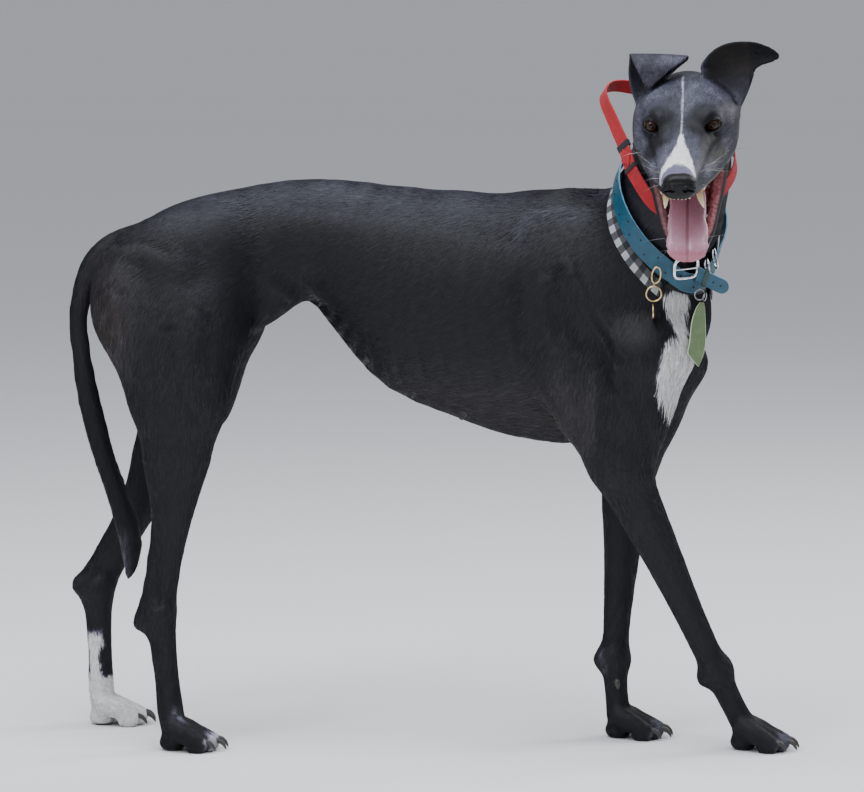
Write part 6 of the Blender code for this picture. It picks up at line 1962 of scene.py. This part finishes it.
def strap(name, run, width, thick, material, square=0.22):
    """Band with softened edges: its inner face follows the run; its map holds metres along, across."""
    path, wide, out, closed = run
    n, m = len(path), len(SELVEDGE_TURNS)
    widths = np.broadcast_to(width, n)
    ahead = np.linalg.norm(np.roll(path, -1, 0) - path, axis=1)
    far = np.concatenate([[0], np.cumsum(ahead)])
    c, s = np.cos(SELVEDGE_TURNS), np.sin(SELVEDGE_TURNS)
    share, depth = np.copysign(np.abs(c) ** square, c), (np.copysign(np.abs(s) ** square, s) + 1) / 2
    verts = (path[:, None] + wide[:, None] * (share[None, :, None] * widths[:, None, None] / 2)
             + out[:, None] * (depth[None, :, None] * thick)).reshape(-1, 3)
    faces, flat = [], []
    for i in range(n if closed else n - 1):
        k = (i + 1) % n
        for j in range(m):
            l = (j + 1) % m
            faces.append((i * m + j, k * m + j, k * m + l, i * m + l))
            flat += [(far[i], share[j] * widths[i] / 2), (far[i + 1], share[j] * widths[k] / 2),
                     (far[i + 1], share[l] * widths[k] / 2), (far[i], share[l] * widths[i] / 2)]
    if not closed:
        for base, ring in ((0, range(m)), (n - 1, range(m - 1, -1, -1))):
            faces.append(tuple(base * m + j for j in ring))
            flat += [(far[base], share[j] * widths[base] / 2) for j in ring]
    piece = mesh_object(name, verts + MIDDLE, faces, material)
    piece.data.uv_layers.new(name="strap").data.foreach_set("uv", arr(flat).astype(np.float32).ravel())
    note(piece.data, "share", np.tile(share, n))
    turned_out(piece.data)
    return piece


def strap_map(paint):
    """A strap's map, its metres along and across, and the share of its half width."""
    flat = paint.node('ShaderNodeUVMap', {"uv_map": "strap"})
    along_it = paint.node('ShaderNodeSeparateXYZ', {}, (flat,))
    return flat, along_it, Sock(paint, along_it.out.node.outputs[1]), paint.noted("share")


def sine(value):
    return value.paint.node('ShaderNodeMath', {"operation": 'SINE'}, (value,))


def weave(paint, along_it, across_it, pitch):
    """Raised threads of a plain weave, from 0 to 1."""
    turn = 2 * math.pi / pitch
    return sine(along_it * turn + sine(across_it * turn * 0.5) * 1.2) * sine(across_it * turn) * 0.5 + 0.5


def worn_on(piece, node):
    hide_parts(node)
    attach(piece, "root")


class Repeat:
    """A Geometry Nodes tree that sets one small thing at every place, laid to the surface there."""

    def __init__(self, name, **sizes):
        self.name, self.sizes = name, sizes
        self.group = bpy.data.node_groups.new(name, 'GeometryNodeTree')
        self.group.interface.new_socket("Places", in_out='INPUT', socket_type='NodeSocketGeometry')
        for key in sizes:
            self.group.interface.new_socket(key, in_out='INPUT', socket_type='NodeSocketFloat')
        self.group.interface.new_socket("Made", in_out='OUTPUT', socket_type='NodeSocketGeometry')
        self.given = self.group.nodes.new('NodeGroupInput').outputs

    def node(self, kind, settings=None, **inputs):
        made = self.group.nodes.new(kind)
        for key, value in (settings or {}).items():
            setattr(made, key, value)
        for key, value in inputs.items():
            socket = made.inputs[key.replace("_", " ")]
            if isinstance(value, bpy.types.NodeSocket):
                self.group.links.new(value, socket)
            else:
                socket.default_value = value
        return made.outputs[0]

    def made(self, shape, material, places, outs, aheads):
        """The shape at all the places, each with its way out of the surface and its way ahead."""
        turned = None
        for name, axis, pivot in (("out", 'Z', 'AUTO'), ("ahead", 'X', 'Z')):
            way = self.node('GeometryNodeInputNamedAttribute', {"data_type": 'FLOAT_VECTOR'}, Name=name)
            inputs = {"Vector": way} if turned is None else {"Vector": way, "Rotation": turned}
            turned = self.node('FunctionNodeAlignRotationToVector', {"axis": axis, "pivot_axis": pivot},
                               **inputs)
        set_out = self.node('GeometryNodeInstanceOnPoints', Points=self.given["Places"], Instance=shape,
                            Rotation=turned)
        real = self.node('GeometryNodeRealizeInstances', Geometry=set_out)
        done = self.node('GeometryNodeSetMaterial', Geometry=real, Material=material)
        self.group.links.new(done, self.group.nodes.new('NodeGroupOutput').inputs[0])
        mesh = bpy.data.meshes.new(self.name)
        mesh.from_pydata([tuple(p) for p in arr(places) + MIDDLE], [], [])
        for name, values in (("out", outs), ("ahead", aheads)):
            mesh.attributes.new(name, 'FLOAT_VECTOR', 'POINT').data.foreach_set("vector", arr(values).ravel())
        obj = bpy.data.objects.new(self.name, mesh)
        bpy.context.scene.collection.objects.link(obj)
        modifier = obj.modifiers.new(self.name, 'NODES')
        modifier.node_group = self.group
        for item in self.group.interface.items_tree:
            if item.name in self.sizes:
                modifier[item.identifier] = self.sizes[item.name]
        return with_modifiers(obj)


def stitches(name, material, places, outs, aheads, length, thick):
    """Short rounded stitches of thread."""
    tree = Repeat(name, Length=length, Thickness=thick)
    ball = tree.node('GeometryNodeMeshUVSphere', Segments=10, Rings=6, Radius=0.5)
    size = tree.node('ShaderNodeCombineXYZ', X=tree.given["Length"], Y=tree.given["Thickness"],
                     Z=tree.given["Thickness"])
    shape = tree.node('GeometryNodeTransform', Geometry=ball, Scale=size)
    return tree.made(shape, material, places, outs, aheads)


def thread(name, colour):
    """Twisted sewing thread."""
    paint = Paint(name, Roughness=0.75)
    twist = paint.noise(paint.place(), 2500, 2)
    return paint.wear(Base_Color=paint.mix(twist, tuple(0.55 * c for c in colour), colour),
                      Normal=paint.bump((twist, 0.0001)))


def webbing_paint(name, colours, pitch=0.0011):
    """Nylon webbing; the colours are given as a function of the strap's own map."""
    paint = Paint(name, Roughness=0.6, Sheen_Weight=0.10, Sheen_Roughness=0.4, Specular_IOR_Level=0.35)
    flat, along_it, across_it, share = strap_map(paint)
    threads = weave(paint, along_it, across_it, pitch)
    dirt = paint.noise(paint.place(), 160, 4)
    colour = colours(paint, along_it, across_it, share)
    # painted shade between the raised threads of the weave
    colour = paint.mix((1.0 - threads) * 0.45, colour, (.004, .004, .005))
    colour = paint.mix(dirt * dirt * 0.5, colour, (.030, .026, .022))
    return paint.wear(Base_Color=colour, Roughness=0.55 + dirt * 0.25,
                      Normal=paint.bump((threads, 0.00035), (dirt, 0.0003)))


def check(paint, along_it, across_it, share):
    """Black, white and half-tone squares, as two colours make them in warp and weft."""
    square = 0.0088
    a = (along_it / square) % 2.0 > 1.0
    b = across_it / square % 2.0 > 1.0
    fine = (along_it / 0.0011) % 2.0 > 1.0
    colour = paint.mix(a * b, (.045, .046, .052), (.62, .64, .66))
    grey = (a + b - 2.0 * a * b) * (0.55 + 0.25 * fine)
    colour = paint.mix(grey * 0.5, colour, (.20, .21, .23))
    return paint.mix((1.0 - a) * (1.0 - b) * 0.8, colour, (.009, .009, .011))


check_material = webbing_paint("check_webbing", check)
black_material = webbing_paint("black_webbing", lambda paint, a, b, share: paint.mix(
    share * share, (.010, .010, .011), (.020, .020, .023)))
check_run = neck_ring(-0.0165, 0.0175, 0.0015, (110, 432), 40)

# The black length lies on the breast, half under the leather, between the two ends of the check.
path, out = [], []
start = COLLAR_CENTRE - COLLAR_AXIS * 0.0060
for t in np.radians(np.linspace(77, 103, 8)):
    way = SIDE_A * math.cos(t) + SIDE_B * math.sin(t)
    far = hide_tree.ray_cast(Vector(start), Vector(way))[3]
    place, normal, _, _ = hide_tree.find_nearest(Vector(start + way * (far + 0.0015) - COLLAR_AXIS * 0.0065))
    path.append(arr(place) + arr(normal) * (COAT_DEPTH + 0.0015))
    out.append(arr(normal))
path, out = arr(path), arr(out)
wide = arr([unit(COLLAR_AXIS - o * (o @ COLLAR_AXIS)) for o in out])
low, high = cleared(path - wide * 0.00825, path + wide * 0.00825, out, 0.0012, False)
rows = softened(np.concatenate([(low + high) / 2, wide, out], 1), False)
black_run = (rows[:, :3], rows[:, 3:6], rows[:, 6:9], False)
worn_on(strap("webbing_check", check_run, 0.0175, 0.0018, check_material), "collar_check")
worn_on(strap("webbing_black", black_run, 0.0165, 0.0018, black_material), "collar_black")
places, outs, aheads = [], [], []
for run, width, rows in ((check_run, .0175, (2, 5, -6, -3)), (black_run, .0165, (1, 3, -4, -2))):
    for row in rows:
        for across_it in np.linspace(-.42, .42, 8) * width:
            places.append(run[0][row] + run[1][row] * across_it + run[2][row] * 0.00185)
            outs.append(run[2][row])
            aheads.append(run[1][row])
seams = stitches("webbing_stitches", thread("black_thread", (.018, .018, .020)), places, outs, aheads,
                 0.0017, 0.0005)
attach(seams, "root")

# ---------------------------------------------------------------- leather collar
# A 24 mm strap of teal leather, punched all round with small holes, coloured with a shaded and a lit copy of
# the teal as painted light, and pale blue along its edges, rubbed wear with a painted highlight. Its free end
# runs out past the buckle through a keeper of the same leather.
def leather_paint(name, deep, lit, edge):
    """Grained, creased leather: a shaded and a lit copy of its colour mixed in clouds, which is painted
    light, and its edges pale, partly rubbed wear and partly a painted highlight.
    """
    paint = Paint(name, Roughness=0.4, Coat_Weight=0.12, Coat_Roughness=0.25)
    flat, along_it, across_it, share = strap_map(paint)
    place = paint.place()
    grain = paint.cells(place, 1500)
    cloud = paint.noise(place, 95, 4)
    crease = paint.noise(paint.scaled(flat, (900, 60, 0)), 1.0, 3)
    # painted light: the deep and the lit copy of the colour, mixed in clouds
    colour = paint.mix(cloud, deep, lit)
    colour = paint.mix(paint.step(grain, .30, .05) * 0.35, colour, deep)
    # pale edges: rubbed wear with a painted highlight along them
    edge_rub_and_highlight = paint.step(share * share + (cloud - 0.5) * 0.10, .955, 1.0)
    colour = paint.mix(edge_rub_and_highlight * 0.85, colour, edge)
    return paint.wear(Base_Color=colour, Roughness=0.34 + cloud * 0.22,
                      Normal=paint.bump((1.0 - grain, 0.00022), (crease, 0.00035), (cloud, 0.0008)))


teal_material = leather_paint("teal_leather", (.0010, .036, .070), (.0028, .095, .158), (.16, .40, .58))
teal_run = neck_ring(0.0040, 0.0240, 0.0042, count=34)
worn_on(strap("leather_collar", teal_run, 0.0240, 0.0022, teal_material, 0.16), "collar_teal")

end_wide = unit((0.22, -0.50, 0.83))
end_way = unit((0.92, 0.32, -0.35))
end_out = unit(np.cross(end_way, end_wide))
end_path = spline([(0.3215, -0.1538, 0.5975), (0.3360, -0.1490, 0.5900), (0.3490, -0.1430, 0.5835),
                   (0.3610, -0.1370, 0.5785)], 14)
far = np.concatenate([[0], np.cumsum(np.linalg.norm(np.diff(end_path, axis=0), axis=1))])
round_off = np.clip((far - far[-1] + 0.0105) / 0.0105, 0, 0.995)
worn_on(strap("leather_end", straight(end_path, end_wide, end_out), 0.0210 * np.sqrt(1 - round_off ** 2),
              0.0022, teal_material, 0.16), "collar_end")


def keeper(name, middle, way, wide, out, half_wide, half_thick, width, material):
    """Loop of strap bent round another strap."""
    turns = np.linspace(0, 2 * math.pi, 40, endpoint=False)
    c, s = np.cos(turns)[:, None], np.sin(turns)[:, None]
    path = (middle + np.copysign(np.abs(c) ** 0.35, c) * wide * half_wide
            + np.copysign(np.abs(s) ** 0.35, s) * out * half_thick)
    facing = c * wide * 0.4 + s * out
    facing /= np.linalg.norm(facing, axis=1)[:, None]
    piece = strap(name, (path, np.tile(way, (40, 1)), facing, True), width, 0.0010, material)
    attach(piece, "root")


keeper_material = leather_paint("keeper_leather", (.004, .020, .014), (.012, .050, .036), (.10, .20, .12))
keeper("leather_keeper", arr((0.3318, -0.1503, 0.5922)) + end_out * 0.0011, end_way, end_wide,
       end_out, 0.0113, 0.0019, 0.0048, keeper_material)

# painted shade: each punched hole is a dark disc laid on the strap for its shadowed depth, inside a dark
# raised lip for its cut edge
hole_paint = Paint("hole_shade_and_edge", Roughness=0.8)
hole_material = hole_paint.wear(Base_Color=hole_paint.mix(
    hole_paint.noise(hole_paint.place(), 1500), (.0015, .003, .004), (.004, .012, .016)))
holes = Repeat("punched_holes", Radius=0.00125, Lip=0.00022)
ring = holes.node('GeometryNodeCurvePrimitiveCircle', Resolution=20, Radius=holes.given["Radius"])
lip = holes.node('GeometryNodeCurvePrimitiveCircle', Resolution=8, Radius=holes.given["Lip"])
lip_mesh = holes.node('GeometryNodeCurveToMesh', Curve=ring, Profile_Curve=lip)
hole_shade_disc = holes.node('GeometryNodeMeshCylinder', Vertices=20, Radius=holes.given["Radius"], Depth=0.0002)
both = holes.group.nodes.new('GeometryNodeJoinGeometry')
holes.group.links.new(lip_mesh, both.inputs[0])
holes.group.links.new(hole_shade_disc, both.inputs[0])
places, outs, aheads = [], [], []
path, wide, out, _ = teal_run
for k, i in enumerate(range(3, len(path) - 2, 5)):
    places.append(path[i] + out[i] * 0.0022 + wide[i] * (0.0045 if k % 2 else -0.0045))
    outs.append(out[i])
    aheads.append(wide[i])
for i in (20, 30):
    places.append(end_path[i] + end_out * 0.0022)
    outs.append(end_out)
    aheads.append(end_wide)
punched = holes.made(both.outputs[0], hole_material, places, outs, aheads)
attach(punched, "root")

# ---------------------------------------------------------------- buckle, rings and tags
# Bent and soldered wire fittings: a chromed buckle with its tongue, dee and clip, small steel rings, a brass
# link, ring and round tag, each tarnished in patches and finely scratched.
def metal_paint(name, bright, dull, roughness):
    """Polished metal, tarnished in patches and finely scratched."""
    paint = Paint(name, Metallic=1.0)
    place = paint.place()
    tarnish = paint.noise(place, 260, 4)
    scratch = paint.noise(paint.scaled(place, (1, 1, 6)), 1800, 2)
    return paint.wear(Base_Color=paint.mix(paint.step(tarnish, .45, .75), bright, dull),
                      Roughness=roughness + tarnish * 0.16 + scratch * 0.08,
                      Normal=paint.bump((scratch, 0.00005), (tarnish, 0.00008)))


def oval(centre, a, b, count=56, square=1.0):
    """Points round an oval; square below 1 fills out its corners."""
    turns = np.arange(count) * 2 * math.pi / count
    c, s = np.cos(turns), np.sin(turns)
    return (arr(centre) + np.copysign(np.abs(c) ** square, c)[:, None] * arr(a)
            + np.copysign(np.abs(s) ** square, s)[:, None] * arr(b))


def wire(path, r, closed=True):
    """Round bar along a path, or round it and back to its start."""
    return tube(path, r, 14, closed)


chrome = metal_paint("chrome", (.86, .87, .89), (.30, .30, .32), 0.06)
steel = metal_paint("dull_steel", (.42, .42, .43), (.16, .16, .17), 0.22)
brass = metal_paint("brass", (.78, .58, .30), (.36, .22, .10), 0.16)
across, upward = unit((0.92, 0.28, 0.10)), unit((0.02, -0.38, 0.92))
facing = np.cross(across, upward)
buckle_at, ring_at = arr((0.3080, -0.1600, 0.6040)), arr((0.3253, -0.1520, 0.5715))
prong = spline([buckle_at + across * a + upward * b + facing * c for a, b, c in
                ((-.0150, 0, .0004), (-.006, .0004, .0022), (.006, .0004, .0026), (.0152, 0, .0020))], 8)
curl = oval(buckle_at - across * 0.0150 + upward * 0.0035, upward * 0.0030, facing * 0.0026, 24)
dee = oval((.3340, -.1500, .6065), (-.0010, .0005, .0085), (.0022, -.0055, 0))
hook = oval((.3450, -.1330, .6145), (-.0020, .0010, .0120), (.0020, -.0050, 0))
link = oval((.2716, -.1650, .5960), (.0015, -.0020, .0100), (.0052, 0, -.0010))
loop = oval((.2687, -.1655, .5735), (.0092, 0, 0), (0, -.0012, .0091), 64)
split = oval(ring_at, (.0060, .0020, .0015), (-.0010, .0010, .0060))
small = oval(ring_at + (.0062, .0022, -.0030), (.0020, -.0040, .0010), (.0010, .0010, .0052), 40)
for node, paint, bodies in (
        ("buckle", chrome, [wire(oval(buckle_at, across * .0150, upward * .0130, 72, 0.5), 0.0021),
                            wire(prong, 0.0011, False), wire(curl, 0.0009)]),
        ("d_ring", chrome, [wire(dee, .0013)]), ("clip", chrome, [wire(hook, .0012)]),
        ("brass_link", brass, [wire(link, .0011)]), ("brass_ring", brass, [wire(loop, .0010)]),
        ("steel_ring", steel, [wire(split, .0008), wire(small, .0006)])):
    verts, faces = joined(bodies)
    worn_on(mesh_object("fitting_" + node, verts + MIDDLE, faces, paint), node)

DISC_SIDES = 40
disc_rows = ((-.0007, .0001), (-.0007, .0088), (-.0009, .0092), (-.0006, .0098),      # across and out
             (.0006, .0098), (.0009, .0092), (.0007, .0088), (.0007, .0001))
verts = [arr((.2676 + x, -.1670 + r * math.cos(t), .5515 + r * math.sin(t))) for x, r in disc_rows
         for t in np.linspace(0, 2 * math.pi, DISC_SIDES, endpoint=False)]
disc = mesh_object("fitting_brass_disc", arr(verts) + MIDDLE, tube_faces(len(disc_rows), DISC_SIDES), brass)
worn_on(disc, "brass_disc")

# ---------------------------------------------------------------- olive tag
# A long leaf-shaped plate of olive enamel hung from the small steel ring, scuffed on its faces and pale along
# its rounded edge, worn there and with a painted highlight.
tag_shape = ((0.0010, -0.0020, 0.0030), (0.0085, -0.0075, 0.0048), (0.0245, -0.0135, 0.0056),
             (0.0480, -0.0165, 0.0060), (0.0620, -0.0190, 0.0035), (0.0710, -0.0120, 0.0000),
             (0.0790, -0.0045, -0.0035))
tag_top, tag_down, tag_side = arr((0.3270, -0.1565, 0.5635)), unit((0, -0.13, -1)), unit((1, 0.45, 0))
tag_face = np.cross(tag_side, tag_down)
tag_rows = spline([row + (0,) for row in tag_shape], 10)
tag_path = (tag_top + tag_down * tag_rows[:, :1] + tag_side * (tag_rows[:, 1:2] + tag_rows[:, 2:3]) / 2
            - tag_face * 0.0008)
tag_paint = Paint("olive_enamel", Coat_Weight=0.3, Coat_Roughness=0.3)
place, share = tag_paint.place(), tag_paint.noted("share")
cloud = tag_paint.noise(place, 130, 4)
scuff = tag_paint.noise(tag_paint.scaled(place, (8, 8, 1)), 500, 3)
olive = tag_paint.mix(cloud, (.085, .125, .055), (.17, .235, .11))
olive = tag_paint.mix(tag_paint.step(scuff, .60, .75) * 0.4, olive, (.34, .42, .28))
# pale rounded edge: wear with a painted highlight
olive = tag_paint.mix(tag_paint.step(share * share, .80, .93), olive, (.50, .62, .42))
tag_material = tag_paint.wear(Base_Color=olive, Roughness=0.35 + scuff * 0.3,
                              Normal=tag_paint.bump((scuff, 0.00012), (cloud, 0.0004)))
tag = strap("tag_leaf", straight(tag_path, tag_side, tag_face),
            np.maximum(tag_rows[:, 2] - tag_rows[:, 1], 0.0006), 0.0016, tag_material, 0.30)
worn_on(tag, "tag_olive")

# ---------------------------------------------------------------- red slip collar
# A loop of red nylon webbing that lies high on the neck and stands away from it behind, sewn in a
# white box where it doubles, with a folded keeper of the same webbing set cornerwise on it.
slip_line = ((0.209, -0.128, 0.812, -0.90, -0.30, 0.30), (0.221, -0.142, 0.780, -0.70, -0.70, -0.10),
             (0.237, -0.165, 0.742, -0.60, -0.80, -0.10), (0.248, -0.188, 0.712, -0.50, -0.80, -0.30),
             (0.270, -0.202, 0.682, -0.20, -0.80, -0.50), (0.302, -0.200, 0.671, 0.00, -0.80, -0.60),
             (0.331, -0.186, 0.688, 0.50, -0.70, -0.50), (0.350, -0.162, 0.725, 0.85, -0.45, -0.20),
             (0.355, -0.136, 0.765, 0.90, 0.30, 0.10), (0.338, -0.108, 0.797, 0.70, 0.60, 0.40),
             (0.300, -0.100, 0.815, 0.00, 0.80, 0.60), (0.255, -0.104, 0.820, -0.20, 0.85, 0.45),
             (0.222, -0.112, 0.823, -0.60, 0.50, 0.60))
smooth = spline(slip_line + slip_line[:3], 3)[3:3 + 3 * len(slip_line)]
middle, wide, out = smooth[:, :3], [], []
for i, row in enumerate(smooth):
    tangent = unit(middle[(i + 1) % len(middle)] - middle[i - 1])
    o = unit(row[3:] - tangent * (row[3:] @ tangent))
    out.append(o)
    wide.append(np.cross(tangent, o))
wide, out = arr(wide), arr(out)
low, high = cleared(middle - wide * 0.0090, middle + wide * 0.0090, out, 0.0012, True)
rows = softened(np.concatenate([(low + high) / 2, high - low, out], 1), True, 5)
wide = rows[:, 3:6] / np.linalg.norm(rows[:, 3:6], axis=1)[:, None]
out = rows[:, 6:9] - wide * (rows[:, 6:9] * wide).sum(1)[:, None]
out /= np.linalg.norm(out, axis=1)[:, None]
path = rows[:, :3]
# painted light: a shaded and a lit copy of the red, the lit one towards the edges as a painted highlight and
# in cloudy patches
red_material = webbing_paint("red_webbing", lambda paint, a, b, share: paint.mix(
    paint.step(share * share, .80, 1.0) * 0.6 + paint.noise(paint.place(), 90, 3) * 0.35,
    (.54, .004, .012), (.76, .022, .040)))
worn_on(strap("webbing_red", (path, wide, out, True), 0.0180, 0.0020, red_material), "collar_red")

seen = np.argmin(np.linalg.norm(path - arr((.2395, -.168, .738)), axis=1))
at, side_way, face_way = path[seen], wide[seen], out[seen]
down_way = np.cross(side_way, face_way)
steps = np.linspace(-1, 1, 25)
fold_path = at + face_way * 0.0021 + down_way * (steps * 0.0125)[:, None]
fold = strap("webbing_fold", straight(fold_path, side_way, face_way),
             0.0002 + 0.0170 * (1 - np.abs(steps)), 0.0022, red_material, 0.3)
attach(fold, "root")
# two narrow bands of black webbing round the strap, one on each side of the fold
for name, shift, size in (("slip_dark_band_upper", -.0165, .0055), ("slip_dark_band_lower", .0165, .0080)):
    i = np.argmin(np.linalg.norm(path - at - down_way * shift, axis=1))
    keeper(name, path[i] + out[i] * 0.0010, unit(np.cross(wide[i], out[i])), wide[i], out[i], 0.0094, 0.0016,
           size, black_material)
places, outs, aheads = [], [], []
i = np.argmin(np.linalg.norm(path - arr((.2335, -.1600, .7500)), axis=1))
down_way = np.cross(wide[i], out[i])
box = ((-1, -1), (1, -1), (1, 1), (-1, 1), (-1, -1), (1, 1))
for (a, b), (c, d) in zip(box[:-1], box[1:]):
    count = 5 if (a == c or b == d) else 7
    for t in (np.arange(count) + 0.5) / count:
        off = wide[i] * (a + (c - a) * t) * 0.0066 + down_way * (b + (d - b) * t) * 0.0066
        places.append(path[i] + out[i] * 0.0021 + off)
        outs.append(out[i])
        aheads.append(wide[i] * (c - a) + down_way * (d - b))
in_box = len(places)
for k in range(len(path)):
    for edge in (-1, 1):
        for t in (0.25, 0.75):
            j = (k + 1) % len(path)
            here = path[k] * (1 - t) + path[j] * t
            places.append(here + out[k] * 0.00205 + wide[k] * edge * 0.0072)
            outs.append(out[k])
            aheads.append(path[j] - path[k])
white_seam = stitches("slip_box_stitches", thread("white_thread", (.72, .70, .70)), places[:in_box],
                      outs[:in_box], aheads[:in_box], 0.0022, 0.00075)
red_seam = stitches("slip_edge_stitches", thread("red_thread", (.62, .03, .04)), places[in_box:],
                    outs[in_box:], aheads[in_box:], 0.0018, 0.00050)
for seam in (white_seam, red_seam):
    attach(seam, "root")
